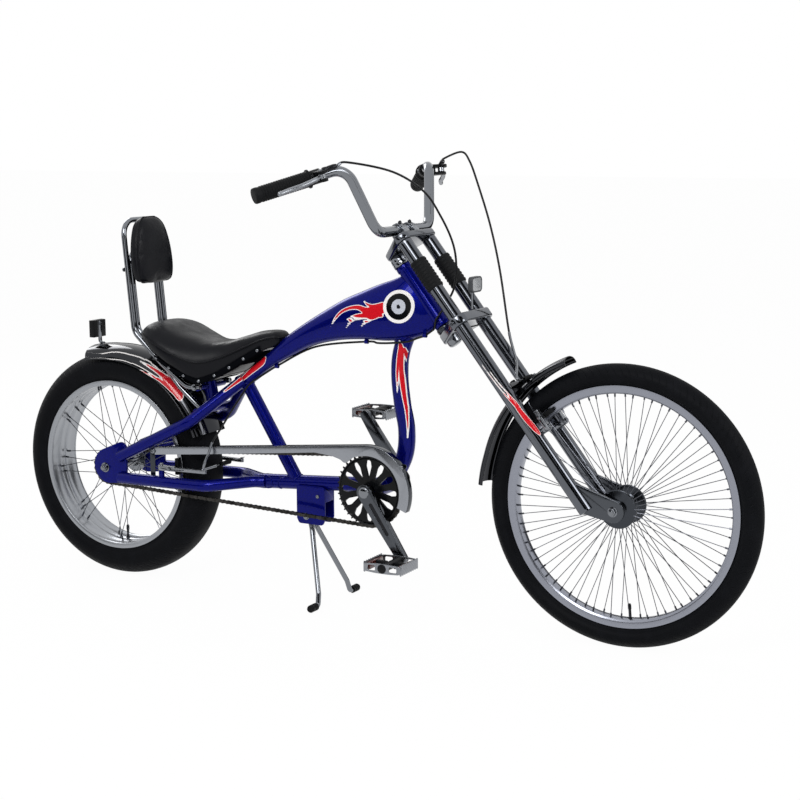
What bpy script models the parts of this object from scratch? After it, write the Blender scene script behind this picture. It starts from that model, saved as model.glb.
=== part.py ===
"""Chopper bicycle on its double kickstand, built as separate named pieces.

Lengths are millimetres until a mesh is made, where they become metres.
X points forward, Y to the rider's left and Z up.  The ground is Z = 0 and the
origin lies under the rear axle.
"""
import math

import bmesh
import bpy
import numpy as np
from mathutils import Vector

MM = 0.001
GAP = 0.3

# Wheels and steering geometry.
REAR_RADIUS = 277.0
REAR_HALF = 54.0
REAR_RIM = REAR_RADIUS - 68.0
REAR_RIM_HALF = 47.5
FRONT_RADIUS = 303.5
FRONT_HALF = 27.0
FRONT_RIM = FRONT_RADIUS - 44.0
FRONT_RIM_HALF = 16.2
WHEELBASE = 1312.0
WHEEL_SEGMENTS = 36
HEAD_ANGLE = math.radians(51.9)
TRAIL = 97.0
AXLE_RADIUS = 5.0
REAR_WIRES = 36
FRONT_WIRES = 36
VALVE_ANGLE = math.radians(5.0)

# Fork, measured along the steering axis from the ground.
LEG_AHEAD = 61.0
LEG_SIDE = 55.0
LEG_RADIUS = 16.0
LEG_BOTTOM = 330.0
CROWN_LOW = 806.0
CROWN_LOW_THICK = 22.0
CROWN_TOP = 1030.0
CROWN_TOP_THICK = 16.0
HEAD_LOW = 842.0
HEAD_HIGH = 1004.0
HEAD_RADIUS = 18.0
STEERER_RADIUS = 12.7

# Handlebar.
BAR_RADIUS = 11.5
GRIP_RADIUS = 17.0
GRIP_LENGTH = 128.0

# Frame.
STAY_RADIUS = 14.0
STAY_SIDE = 85.0
PLATE_THICK = 7.0
DROPOUT_SIDE = 72.5
BOTTOM_RADIUS = 17.0
DOWN_RADIUS = 19.5
STRUT_RADIUS = 15.0

# Drive.
PITCH = 12.7
RING_TEETH = 40
COG_TEETH = 20
CHAIN_LINE = -64.0
CHAIN_HALF = 4.4
BRACKET = (735.0, 291.0)
CRANK_LENGTH = 170.0
CRANK_ANGLE = math.radians(-56.0)
SPINDLE_RADIUS = 8.5
ARM_IN = 78.0
ARM_OUT = 92.0
SHELL_HALF = 36.5

REAR_AXLE = np.array([0.0, 0.0, REAR_RADIUS])
FRONT_AXLE = np.array([WHEELBASE, 0.0, FRONT_RADIUS])
CRANK_AXLE = np.array([BRACKET[0], 0.0, BRACKET[1]])
SIN_H = math.sin(HEAD_ANGLE)
COS_H = math.cos(HEAD_ANGLE)
STEER_UP = np.array([-COS_H, 0.0, SIN_H])
STEER_FORWARD = np.array([SIN_H, 0.0, COS_H])
STEER_GROUND = np.array([WHEELBASE + TRAIL, 0.0, 0.0])
SIDE = np.array([0.0, 1.0, 0.0])

COLOURS = {
    "blue_paint": ("#0B1470", 0.22, 0.1),
    "chrome": ("#C9CCD1", 0.12, 1.0),
    "dark_chrome": ("#5B6066", 0.18, 1.0),
    "alloy": ("#A9ADB3", 0.35, 1.0),
    "black_steel": ("#141519", 0.35, 0.6),
    "chain_steel": ("#3A3733", 0.4, 0.9),
    "rubber": ("#15161A", 0.85, 0.0),
    "black_plastic": ("#16171A", 0.5, 0.0),
    "leather": ("#14161B", 0.42, 0.0),
    "clear_lens": ("#9CA0A3", 0.15, 0.0),
    "cable_black": ("#0E0F11", 0.45, 0.0),
}


def linear(channel):
    """Turns one sRGB channel into a linear one."""
    if channel <= 0.04045:
        return channel / 12.92
    return ((channel + 0.055) / 1.055) ** 2.4


def material(name):
    """Makes or finds the Principled material of one finish."""
    found = bpy.data.materials.get(name)
    if found:
        return found
    code, rough, metal = COLOURS[name]
    made = bpy.data.materials.new(name)
    made.use_nodes = True
    shader = made.node_tree.nodes["Principled BSDF"]
    rgb = [linear(int(code[i:i + 2], 16) / 255.0) for i in (1, 3, 5)]
    shader.inputs["Base Color"].default_value = (*rgb, 1.0)
    shader.inputs["Roughness"].default_value = rough
    shader.inputs["Metallic"].default_value = metal
    made.diffuse_color = (*rgb, 1.0)
    return made


def steer(s, a, y=0.0):
    """Point at height s on the steering axis, a ahead of it and y to the left."""
    return STEER_GROUND + s * STEER_UP + a * STEER_FORWARD + y * SIDE


def unit(v):
    """Vector of length one."""
    return v / np.linalg.norm(v)


def loft(sections, closed=False):
    """Joins sections of equal point count into one closed shell."""
    count = len(sections[0])
    verts = np.vstack(sections)
    rows = len(sections)
    faces = []
    for i in range(rows if closed else rows - 1):
        j = (i + 1) % rows
        for k in range(count):
            m = (k + 1) % count
            faces.append((i * count + k, i * count + m, j * count + m, j * count + k))
    if not closed:
        faces.append(tuple(range(count)))
        faces.append(tuple((rows - 1) * count + k for k in reversed(range(count))))
    return verts, faces


def frames(points, closed=False):
    """Directions and two side vectors carried along a path without twist."""
    pts = np.asarray(points, float)
    n = len(pts)
    tangents = []
    for i in range(n):
        before = pts[i - 1] if (closed or i) else pts[0]
        after = pts[(i + 1) % n] if (closed or i < n - 1) else pts[-1]
        step = unit(after - pts[i]) if np.any(after != pts[i]) else 0.0
        back = unit(pts[i] - before) if np.any(before != pts[i]) else 0.0
        tangents.append(unit(step + back))
    guess = SIDE if abs(tangents[0] @ SIDE) < 0.9 else np.array([1.0, 0.0, 0.0])
    first = unit(guess - (guess @ tangents[0]) * tangents[0])
    sides = [first]
    for i in range(1, n):
        turned = sides[-1] - (sides[-1] @ tangents[i]) * tangents[i]
        sides.append(unit(turned))
    return [(t, u, np.cross(t, u)) for t, u in zip(tangents, sides)]


def tube(points, radius, sides=12, flat=1.0):
    """Solid rod along a path; radius may be one number or one per point."""
    pts = np.asarray(points, float)
    radii = np.broadcast_to(radius, (len(pts),))
    sections = []
    for p, r, (t, u, v) in zip(pts, radii, frames(pts)):
        turns = [2 * math.pi * (k + 0.5) / sides for k in range(sides)]
        sections.append([p + r * math.cos(w) * u + r * flat * math.sin(w) * v for w in turns])
    return loft(sections)


def longer(points, ends):
    """Path with both ends drawn out by a length."""
    pts = [np.asarray(p, float) for p in points]
    start = pts[0] + unit(pts[0] - pts[1]) * ends
    stop = pts[-1] + unit(pts[-1] - pts[-2]) * ends
    return [start] + pts[1:-1] + [stop]


def bent(points, radius, steps=4):
    """Path through the points with each corner turned by an arc."""
    pts = [np.asarray(p, float) for p in points]
    out = [pts[0]]
    for before, here, after in zip(pts, pts[1:], pts[2:]):
        a = unit(before - here)
        b = unit(after - here)
        turn = math.acos(max(-1.0, min(1.0, float(a @ b))))
        if turn > math.pi - 0.02:
            out.append(here)
            continue
        reach = radius / math.tan(turn / 2)
        room = 0.49 * min(np.linalg.norm(before - here), np.linalg.norm(after - here))
        reach = min(reach, room)
        fitted = reach * math.tan(turn / 2)
        middle = here + unit(a + b) * fitted / math.sin(turn / 2)
        start = here + a * reach - middle
        stop = here + b * reach - middle
        angle = math.pi - turn
        for k in range(steps + 1):
            f = k / steps
            p = (math.sin((1 - f) * angle) * start + math.sin(f * angle) * stop) / math.sin(angle)
            out.append(middle + p)
    out.append(pts[-1])
    return out


def curve(points, per=3):
    """Smooth path through the points."""
    pts = [np.asarray(p, float) for p in points]
    pts = [2 * pts[0] - pts[1]] + pts + [2 * pts[-1] - pts[-2]]
    out = []
    for a, b, c, d in zip(pts, pts[1:], pts[2:], pts[3:]):
        for k in range(per):
            t = k / per
            out.append(0.5 * (2 * b + (c - a) * t + (2 * a - 5 * b + 4 * c - d) * t ** 2
                              + (3 * b - a - 3 * c + d) * t ** 3))
    out.append(pts[-2])
    return out


def rod(start, stop, radius, sides=12):
    """Straight round rod."""
    return tube([start, stop], radius, sides)


def ring(profile, centre, axis, ahead, segments, phase=0.5):
    """Turns a closed profile of (radius, offset) points about an axis."""
    axis = unit(axis)
    ahead = unit(ahead)
    third = np.cross(axis, ahead)
    sections = []
    for i in range(segments):
        w = 2 * math.pi * (i + phase) / segments
        out = math.cos(w) * ahead + math.sin(w) * third
        sections.append([centre + r * out + d * axis for r, d in profile])
    return loft(sections, closed=True)


def capped(shape):
    """Closes a turned shape whose profile starts and ends on the axis."""
    verts, faces = shape
    mesh = to_mesh((verts, faces), "turned")
    work = bmesh.new()
    work.from_mesh(mesh)
    bmesh.ops.remove_doubles(work, verts=work.verts, dist=0.00001)
    flat = [f for f in work.faces if f.calc_area() < 1e-12]
    bmesh.ops.delete(work, geom=flat, context="FACES_ONLY")
    bmesh.ops.recalc_face_normals(work, faces=work.faces)
    work.to_mesh(mesh)
    work.free()
    points = np.array([v.co[:] for v in mesh.vertices]) / MM
    polygons = [tuple(p.vertices) for p in mesh.polygons]
    bpy.data.meshes.remove(mesh)
    return points, polygons


def sleeve(start, stop, outer, inner, segments=16):
    """Straight hollow cylinder."""
    axis = np.asarray(stop, float) - start
    length = np.linalg.norm(axis)
    ahead = np.cross(axis, SIDE) if abs(unit(axis) @ SIDE) < 0.9 else np.array([1.0, 0.0, 0.0])
    profile = [(inner, 0.0), (outer, 0.0), (outer, length), (inner, length)]
    return ring(profile, np.asarray(start, float), axis, ahead, segments)


def slab(outline, low, high, place):
    """Prism of a flat outline; place turns (u, v, w) into a point."""
    return loft([[place(u, v, w) for u, v in outline] for w in (low, high)])


def box(centre, size):
    """Block with sides along the world axes."""
    x, y, z = (0.5 * s for s in size)
    c = np.asarray(centre, float)
    corners = [(-x, -y), (x, -y), (x, y), (-x, y)]
    return slab(corners, -z, z, lambda u, v, w: c + np.array([u, v, w]))


def around(circles, steps=10):
    """Tight convex outline around circles given as (u, v, radius)."""
    pts = []
    for u, v, r in circles:
        for k in range(steps):
            w = 2 * math.pi * k / steps
            pts.append((round(u + r * math.cos(w), 4), round(v + r * math.sin(w), 4)))
    pts = sorted(set(pts))
    halves = []
    for order in (pts, pts[::-1]):
        chain = []
        for p in order:
            while len(chain) > 1:
                (ax, ay), (bx, by) = chain[-2], chain[-1]
                if (bx - ax) * (p[1] - ay) - (by - ay) * (p[0] - ax) > 1e-6:
                    break
                chain.pop()
            chain.append(p)
        halves.append(chain[:-1])
    return halves[0] + halves[1]


def to_mesh(shape, name):
    """Blender mesh in metres with its faces turned outward."""
    verts, faces = shape
    mesh = bpy.data.meshes.new(name)
    mesh.from_pydata([tuple(float(c) * MM for c in v) for v in verts], [], faces)
    work = bmesh.new()
    work.from_mesh(mesh)
    bmesh.ops.recalc_face_normals(work, faces=work.faces)
    work.to_mesh(mesh)
    work.free()
    return mesh


def combine(base, add=(), cut=()):
    """Adds and cuts solids and gives back one shape."""
    stock = bpy.data.objects.new("stock", to_mesh(base, "stock"))
    bpy.context.collection.objects.link(stock)
    tools = []
    for operation, shapes in (("UNION", add), ("DIFFERENCE", cut)):
        for shape in shapes:
            tool = bpy.data.objects.new("tool", to_mesh(shape, "tool"))
            tool.hide_render = True
            tool.display_type = "WIRE"
            bpy.context.collection.objects.link(tool)
            tools.append(tool)
            step = stock.modifiers.new("step", "BOOLEAN")
            step.operation = operation
            step.solver = "EXACT"
            step.object = tool
    bpy.context.view_layer.update()
    graph = bpy.context.evaluated_depsgraph_get()
    result = bpy.data.meshes.new_from_object(stock.evaluated_get(graph))
    verts = np.array([v.co[:] for v in result.vertices]) / MM
    faces = [tuple(p.vertices) for p in result.polygons]
    for item in tools + [stock]:
        data = item.data
        bpy.data.objects.remove(item)
        bpy.data.meshes.remove(data)
    bpy.data.meshes.remove(result)
    return verts, faces


def merge(shapes):
    """Several apart shapes as one operand."""
    verts = []
    faces = []
    for points, polygons in shapes:
        start = len(verts)
        verts.extend(np.asarray(points))
        faces.extend(tuple(start + i for i in polygon) for polygon in polygons)
    return np.array(verts), faces


def mirrored(shape):
    """The same shape on the other side of the bicycle."""
    verts, faces = shape
    return np.asarray(verts) * np.array([1.0, -1.0, 1.0]), [f[::-1] for f in faces]


def part(name, shape, finish, origin=(0.0, 0.0, 0.0), parent=None, smooth=True):
    """Makes the named object, its origin on its axis, and hangs it on its parent."""
    origin = np.asarray(origin, float)
    verts, faces = shape
    mesh = to_mesh((np.asarray(verts) - origin, faces), name)
    work = bmesh.new()
    work.from_mesh(mesh)
    bmesh.ops.remove_doubles(work, verts=work.verts, dist=0.00002)
    bmesh.ops.recalc_face_normals(work, faces=work.faces)
    work.to_mesh(mesh)
    work.free()
    mesh.materials.append(material(finish))
    item = bpy.data.objects.new(name, mesh)
    bpy.context.collection.objects.link(item)
    if parent is not None:
        item.parent = parent
        origin = origin - np.array(parent["place_mm"])
    item.location = Vector(tuple(origin * MM))
    if smooth:
        mesh.shade_smooth()
        mesh.set_sharp_from_angle(angle=math.radians(35))
    return item


def pivot(name, place, parent=None):
    """Empty on a joint axis that carries the pieces that turn there."""
    item = bpy.data.objects.new(name, None)
    bpy.context.collection.objects.link(item)
    item["place_mm"] = [float(c) for c in place]
    here = np.asarray(place, float)
    if parent is not None:
        item.parent = parent
        here = here - np.array(parent["place_mm"])
    item.location = Vector(tuple(here * MM))
    item.empty_display_size = 0.03
    return item


# Tank body: upper edge, lower edge and half width of each station.
TANK_STATIONS = [
    ((801, 776), (885, 669), 14.0),
    ((768, 761), (856, 647), 27.0),
    ((730, 748), (812, 630), 34.0),
    ((690, 732), (752, 622), 37.0),
    ((640, 711), (690, 622), 37.0),
    ((585, 681), (625, 616), 34.0),
    ((525, 645), (560, 601), 30.0),
    ((468, 606), (500, 574), 25.0),
    ((416, 562), (440, 542), 20.0),
    ((374, 533), (394, 508), 17.0),
    ((338, 513), (356, 485), 16.0),
]


def tank_shape(grow=0.0):
    """Long teardrop body from the head tube to the seat cluster."""
    sections = []
    for upper, lower, half in TANK_STATIONS:
        top = np.array([upper[0], 0.0, upper[1]], float)
        low = np.array([lower[0], 0.0, lower[1]], float)
        rise = 0.5 * (top - low)
        rise = rise * (1 + grow / np.linalg.norm(rise))
        loop = []
        for k in range(16):
            w = 2 * math.pi * (k + 0.5) / 16
            c, s = math.cos(w), math.sin(w)
            up = math.copysign(abs(c) ** 0.78, c)
            out = math.copysign(abs(s) ** 0.78, s)
            loop.append(0.5 * (top + low) + rise * up + (half + grow) * out * SIDE)
        sections.append(loop)
    if grow:
        sections[-1] = [p + grow * unit(np.array([-2.0, 0.0, -1.3])) for p in sections[-1]]
    return loft(sections)


def under_tank(x):
    """Height of the lower edge of the tank body at x."""
    lows = sorted(low for _, low, _ in TANK_STATIONS)
    return float(np.interp(x, [p[0] for p in lows], [p[1] for p in lows]))


def head_shape(grow=0.0, bore=True):
    """Head tube around the steering axis."""
    if bore:
        return sleeve(steer(HEAD_LOW, 0), steer(HEAD_HIGH, 0), HEAD_RADIUS, STEERER_RADIUS + 2.6, 16)
    return rod(steer(HEAD_LOW - 12, 0), steer(HEAD_HIGH + 12, 0), HEAD_RADIUS + grow, 16)


def down_path():
    """Bowed tube from the tank to the bottom bracket."""
    x, z = BRACKET
    return curve([(806, 0, 660), (783, 0, 600), (778, 0, 545), (785, 0, 480), (795, 0, 425),
                  (791, 0, 370), (767, 0, 322), (x, 0, z)], 1)


def bottom_path():
    """Tube from the bottom bracket back to the fork of the chain stays."""
    x, z = BRACKET
    return [(388.0, 0.0, 268.0), (x, 0.0, z)]


def lower_stay_path(side):
    """Chain stay from the dropout to the bottom tube."""
    y = side * STAY_SIDE
    return bent([(48, y, 257), (300, y, 261), (392, side * 17, 269), (420, side * 9, 270)], 60, 2)


def upper_stay_path(side):
    """Seat stay from the dropout up to the tail of the tank."""
    y = side * STAY_SIDE
    return bent([(50, y, 309), (258, y, 410), (332, side * 28, 480), (366, side * 12, 509)], 50, 2)


def drop_plate(side, grow=0.0):
    """Round plate that carries the rear axle."""
    spot = side * (DROPOUT_SIDE + PLATE_THICK / 2)
    outline = around([(10, REAR_RADIUS + 5, 43 + grow), (48, 258, 15 + grow), (48, 326, 17 + grow)], 12)
    half = PLATE_THICK / 2 + grow
    return slab(outline, spot - half, spot + half, lambda u, v, w: np.array([u, w, v]))


def shell_shape(grow=0.0):
    """Bottom bracket shell without its bore."""
    half = SHELL_HALF + grow
    return rod(CRANK_AXLE - half * SIDE, CRANK_AXLE + half * SIDE, 21.0 + grow, 16)


def build_frame(root):
    """Welded frame tubes."""
    tank_grown = tank_shape(GAP)
    shell_grown = shell_shape(GAP)
    clips = []
    bores = []
    for x in CLIP_SPOTS:
        route = cable_under_tank()
        back = route[::-1]
        spot = np.array([np.interp(x, [p[0] for p in back], [p[k] for p in back]) for k in range(3)])
        clips.append(box(spot + np.array([0.0, 0.0, 5.0]), (8.0, 9.0, 20.0)))
        bores.append(tube(route, CABLE_RADIUS + GAP, 8))
    tank = combine(tank_shape(), add=clips, cut=bores[:1] + [head_shape(GAP, bore=False)])
    part("tank_tube", tank, "blue_paint", parent=root)
    part("head_tube", head_shape(), "blue_paint", parent=root)
    down = combine(tube(down_path(), DOWN_RADIUS, 12), cut=[tank_grown, shell_grown])
    part("down_tube", down, "blue_paint", parent=root)
    bottom = combine(tube(bottom_path(), BOTTOM_RADIUS, 12), cut=[shell_grown])
    part("bottom_tube", bottom, "blue_paint", parent=root)
    bottom_grown = tube(longer(bottom_path(), GAP), BOTTOM_RADIUS + GAP, 12)
    part("strut", combine(strut_shape(), cut=[tank_grown, bottom_grown]), "blue_paint", parent=root)
    uppers = []
    for side, name in ((-1, "right"), (1, "left")):
        lower = combine(tube(lower_stay_path(side), STAY_RADIUS, 10), add=[drop_plate(side)],
                        cut=[bottom_grown, mid_cut(side)])
        boss = [rod((BRAKE_REAR_X, side * BRAKE_REAR_SIDE, 258), (BRAKE_REAR_X, side * BRAKE_REAR_SIDE,
                    REAR_ARM_LOW - GAP), 7.0, 12),
                rod((BRAKE_REAR_X, side * BRAKE_REAR_SIDE, 260), (BRAKE_REAR_X, side * BRAKE_REAR_SIDE,
                    REAR_ARM_LOW + 14), 4.0, 12)]
        axle_hole = rod((0, side * 60, REAR_RADIUS), (0, side * 100, REAR_RADIUS), AXLE_RADIUS + GAP, 12)
        lower = combine(lower, add=boss, cut=[axle_hole])
        part("lower_stay_" + name, lower, "blue_paint", parent=root)
        upper = combine(tube(upper_stay_path(side), STAY_RADIUS, 10),
                        cut=[tank_grown, drop_plate(side, GAP), mid_cut(side), strut_shape(GAP)])
        part("upper_stay_" + name, upper, "blue_paint", parent=root)
        uppers.append(tube(upper_stay_path(side), STAY_RADIUS + GAP, 10))
    bore = rod(CRANK_AXLE - 60 * SIDE, CRANK_AXLE + 60 * SIDE, SPINDLE_RADIUS + 0.4, 16)
    part("bb_shell", combine(shell_shape(), cut=[bore]), "blue_paint", parent=root)
    rail = rod((262, -55.0, 487), (262, 55.0, 487), 7.0, 10)
    seat = combine(seat_post(), add=[cross_bar(), rail], cut=uppers + [pan_shape(GAP, solid=True), saddle_shape(GAP)])
    part("seat_tube", seat, "blue_paint", parent=root)
    bracket = slab([(514, 196), (520, 184), (584, 184), (590, 198), (590, 275), (514, 275)],
                   -22.0, 22.0, lambda u, v, w: np.array([u, w, v]))
    slot = box((552, 0, 205), (100, 34, 62))
    pin = rod((STAND_PIVOT[0], -24, STAND_PIVOT[1]), (STAND_PIVOT[0], 24, STAND_PIVOT[1]), 4.0, 8)
    bracket = combine(bracket, cut=[slot, bottom_grown])
    part("stand_bracket", combine(bracket, add=[pin]), "blue_paint", parent=root)


def seat_post(grow=0.0):
    """Short post between the seat stays that carries the saddle."""
    return tube([(272 + grow / 4, 0, 434 - grow), (254, 0, 519)], 16.0 + grow, 12)


def cross_bar(grow=0.0):
    """Bar that joins the seat stays above the rear fender."""
    half = SEAT_CROSS + grow
    return rod((268, -half, 432), (268, half, 432), 9.0 + grow, 10)


def strut_shape(grow=0.0):
    """Straight tube between the tail of the tank and the bottom tube."""
    return tube([(360, 0, 512), (505, 0, 278)], STRUT_RADIUS + grow, 12)


def mid_cut(side):
    """Keeps one stay on its own side of the middle."""
    return box((300, -side * 150.15, 380), (700, 300, 500))


STAND_PIVOT = (540.0, 202.0)
SEAT_CROSS = 69.5
BRAKE_REAR_X = 172.0
BRAKE_REAR_SIDE = 82.0
REAR_ARM_LOW = 288.0
CABLE_RADIUS = 2.4
CLIP_SPOTS = (850.0, 700.0, 455.0)


def cable_under_tank():
    """Route of the rear brake cable under the tank body."""
    spots = [(872, -16), (850, -15), (832, -20), (812, -25), (770, -25), (735, -22), (700, -12),
             (560, -2), (460, -4), (428, -10), (392, -24)]
    sag = CABLE_RADIUS + 1.2
    return [np.array([x, y, under_tank(x) - sag]) for x, y in spots]


def build_headset(root):
    """Cups pressed in the two ends of the head tube."""
    inner = STEERER_RADIUS + 0.7
    start = CROWN_LOW + CROWN_LOW_THICK + GAP
    tall = HEAD_LOW - GAP - start
    low = [(inner, 0.0), (18.0, 0.0), (21.0, 4.0), (21.0, tall - 3), (18.5, tall), (inner, tall)]
    part("headset_lower", ring(low, steer(start, 0), STEER_UP, STEER_FORWARD, 14), "dark_chrome",
         parent=root)
    start = HEAD_HIGH + GAP
    tall = CROWN_TOP - GAP - start
    high = [(inner, 0.0), (18.5, 0.0), (21.0, 3.0), (21.0, 10.0), (19.0, tall), (inner, tall)]
    part("headset_upper", ring(high, steer(start, 0), STEER_UP, STEER_FORWARD, 14), "black_steel",
         parent=root)


# Saddle: x, top, half width and lower edge of each station.
SADDLE_STATIONS = [
    (114, 610, 52, 600),
    (121, 627, 78, 597),
    (140, 637, 99, 585),
    (175, 631, 112, 560),
    (225, 612, 109, 530),
    (280, 597, 91, 504),
    (330, 598, 67, 523),
    (380, 612, 51, 555),
    (430, 628, 41, 585),
    (462, 632, 34, 598),
    (474, 624, 24, 605),
]


def saddle_shape(grow=0.0):
    """Cushion with a raised rear, a dip, and drawn-in skirts."""
    half_section = [(0.0, 0.0), (0.42, 0.02), (0.76, 0.12), (0.95, 0.34), (1.0, 0.55), (0.95, 0.8),
                    (0.86, 1.0)]
    sections = []
    for x, top, half, low in SADDLE_STATIONS:
        high = top - low
        right = [np.array([x, -(half * f + grow), top + grow - (high + 2 * grow) * g])
                 for f, g in half_section[1:]]
        left = [p * np.array([1.0, -1.0, 1.0]) for p in right]
        sections.append([np.array([x, 0.0, top + grow])] + right + left[::-1])
    if grow:
        sections[0] = [p - np.array([grow, 0, 0]) for p in sections[0]]
        sections[-1] = [p + np.array([grow, 0, 0]) for p in sections[-1]]
    return loft(sections)


def skirt_half(half, high, up):
    """Half width of the skirt a height above its lower edge."""
    return half * (0.86 + 0.09 * min(1.0, up / (0.2 * high)))


PAN_RIM = 9.0
PAN_THICK = 3.0
PAN_WALL = 2.0
PAN_ROOM = 1.7


def pan_stations():
    """Stations of the saddle that the pan runs under."""
    return SADDLE_STATIONS[3:-2]


def pan_shape(grow=0.0, solid=False):
    """Plate under the saddle with a low wall around the lower edge of the skirt."""
    sections = []
    for x, top, half, low in pan_stations():
        rim = min(PAN_RIM, 0.2 * (top - low))
        foot = 0.86 * half + PAN_ROOM
        lip = (0.86 + 0.45 * rim / (top - low)) * half + PAN_ROOM
        wall = PAN_WALL + grow
        base = low - GAP - PAN_THICK - grow
        loop = [(-foot - wall, base), (foot + wall, base), (lip + wall, low + rim)]
        if not solid:
            loop += [(lip, low + rim), (foot, low - GAP), (-foot, low - GAP), (-lip, low + rim)]
        loop.append((-lip - wall, low + rim))
        sections.append([np.array([x, y, z]) for y, z in loop])
    return loft(sections)


def build_seat(root):
    """Saddle, its pan with rivets, back rest bars and pad."""
    tank_grown = tank_shape(GAP)
    saddle = combine(saddle_shape(), cut=[tank_grown])
    part("saddle", saddle, "leather", parent=root)
    rivets = []
    rows = pan_stations()
    for row in rows[:-1]:
        x = row[0] + 5.0
        top, half, low = (float(np.interp(x, [r[0] for r in rows], [r[k] for r in rows]))
                          for k in (1, 2, 3))
        out = (0.86 + 0.45 * 4.0 / (top - low)) * half + PAN_ROOM + PAN_WALL - 0.9
        for side in (-1, 1):
            rivets.append(tube([(x, side * out, low + 4.0), (x, side * (out + 2.9), low + 4.0)],
                               [3.4, 2.0], 5))
    pan = combine(pan_shape(), cut=[tank_grown])
    part("saddle_pan", combine(pan, add=[merge(rivets)]), "black_steel", parent=root)

    outer = bent([(277, -61, 492), (238, -61, 489), (170, -61, 538), (87, -61, 612),
                  (hoop_x(876), -61, 876), (hoop_x(876), 61, 876), (87, 61, 612), (170, 61, 538),
                  (238, 61, 489), (277, 61, 492)], 38, 2)
    part("sissy_outer", tube(outer, 6.5, 6), "chrome", parent=root)
    inner = bent([(262, -45, 438.5), (205, -45, 486), (86, -45, 618), (hoop_x(806), -45, 806),
                  (hoop_x(806), 45, 806), (86, 45, 618), (205, 45, 486), (262, 45, 438.5)], 34, 2)
    part("sissy_inner", combine(tube(inner, 6.5, 6), cut=[cross_bar(GAP)]), "chrome", parent=root)

    sections = []
    for z, half, thick in PAD_STATIONS:
        x = hoop_x(z) + 6.5 + GAP + PAD_STATIONS[3][2]
        loop = []
        for k in range(16):
            w = 2 * math.pi * k / 16
            c, s = math.cos(w), math.sin(w)
            bulge = thick * math.copysign(abs(c) ** 0.7, c)
            loop.append(np.array([x + bulge, half * math.copysign(abs(s) ** 0.55, s), z]))
        sections.append(loop)
    part("sissy_pad", loft(sections), "leather", parent=root)


def hoop_x(z):
    """Forward position of the leaning back rest bars at height z."""
    return 83.0 - 0.0854 * (z - 622.0)


PAD_STATIONS = [(729, 46, 11), (734, 59, 17), (748, 66, 20), (775, 69, 21), (810, 66, 21), (842, 58, 20),
                (864, 48, 18), (877, 35, 13), (883, 21, 7)]


def fender_shape(centre, top, edge, half, thick, angles, lift):
    """Curved shell around a tyre; lift gives the extra radius at each angle."""
    sections = []
    for angle in angles:
        w = math.radians(angle)
        out = np.array([math.cos(w), 0.0, math.sin(w)])
        extra = lift(angle)
        loop = []
        for depth in (0.0, thick):
            row = []
            for k in range(8):
                f = math.pi * k / 7
                y = -(half - depth) * math.cos(f)
                rise = math.sin(f) ** 0.8 if 0 < k < 7 else 0.0
                row.append(centre + (edge + extra + (top - depth - edge) * rise) * out + y * SIDE)
            loop.extend(row if depth == 0.0 else row[::-1])
        sections.append(loop)
    return loft(sections)


FENDER_REAR_TOP = REAR_RADIUS + 19.0
FENDER_REAR_EDGE = REAR_RADIUS - 15.0
REAR_ANGLES = [20.0 + 8.5 * k for k in range(11)]
FENDER_FRONT_TOP = FRONT_RADIUS + 25.5
FENDER_FRONT_EDGE = FRONT_RADIUS + 8.5
FENDER_FRONT_RISE = 8.0


def rear_flare(angle):
    """Extra radius of the rear fender near its two ends."""
    return 0.28 * max(0.0, angle - 93) + 0.2 * max(0.0, 30 - angle)


def build_fenders(root, fork):
    """Rear fender on the frame and front fender between the fork legs."""
    rear = fender_shape(REAR_AXLE, FENDER_REAR_TOP, FENDER_REAR_EDGE, REAR_HALF + 3.0, 1.8, REAR_ANGLES,
                        rear_flare)
    away = np.array([268.0, 0.0, 432.0]) - REAR_AXLE
    block = rod(REAR_AXLE + unit(away) * (FENDER_REAR_TOP - 3),
                REAR_AXLE + unit(away) * (np.linalg.norm(away)), 7.0, 8)
    rear = combine(rear, add=[block], cut=[seat_post(GAP), cross_bar(GAP)])
    part("rear_fender", rear, "dark_chrome", parent=root)

    centre = FRONT_AXLE + np.array([0.0, 0.0, FENDER_FRONT_RISE])
    angles = [113 + 65 * k / 9 for k in range(10)]
    front = fender_shape(centre, FENDER_FRONT_TOP, FENDER_FRONT_EDGE, 29.5, 1.6, angles,
                         lambda a: 0.3 * max(0.0, a - 166))
    cross = slab([(634, 50), (634, 72), (648, 72), (648, 50)], -(LEG_SIDE - LEG_RADIUS) + GAP,
                 LEG_SIDE - LEG_RADIUS - GAP, lambda u, v, w: steer(u, v, w))
    foot = slab([(600, 54), (600, 90), (641, 90), (641, 54)], -10.0, 10.0, lambda u, v, w: steer(u, v, w))
    inside = ring([(200.0, -60.0), (FENDER_FRONT_TOP - 1.2, -60.0), (FENDER_FRONT_TOP - 1.2, 60.0),
                   (200.0, 60.0)], centre, SIDE, np.array([1.0, 0.0, 0.0]), 48)
    front = combine(front, add=[cross, combine(foot, cut=[inside])])
    part("front_fender", front, "dark_chrome", origin=STEER_ORIGIN, parent=fork)


STEER_ORIGIN = steer(HEAD_LOW, 0)


def cog_outline(teeth, radius):
    """Outline of a toothed wheel, a tooth centred on the forward direction."""
    pts = []
    for k in range(teeth):
        w = 2 * math.pi * k / teeth
        for r, off in ((radius - 4.7, -2.15), (radius + 3.2, 0.0), (radius - 4.7, 2.15)):
            a = w + off / radius
            pts.append((r * math.cos(a), r * math.sin(a)))
    return pts


def pitch_radius(teeth):
    """Radius of the pin circle of a toothed wheel."""
    return PITCH / (2 * math.sin(math.pi / teeth))


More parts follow.
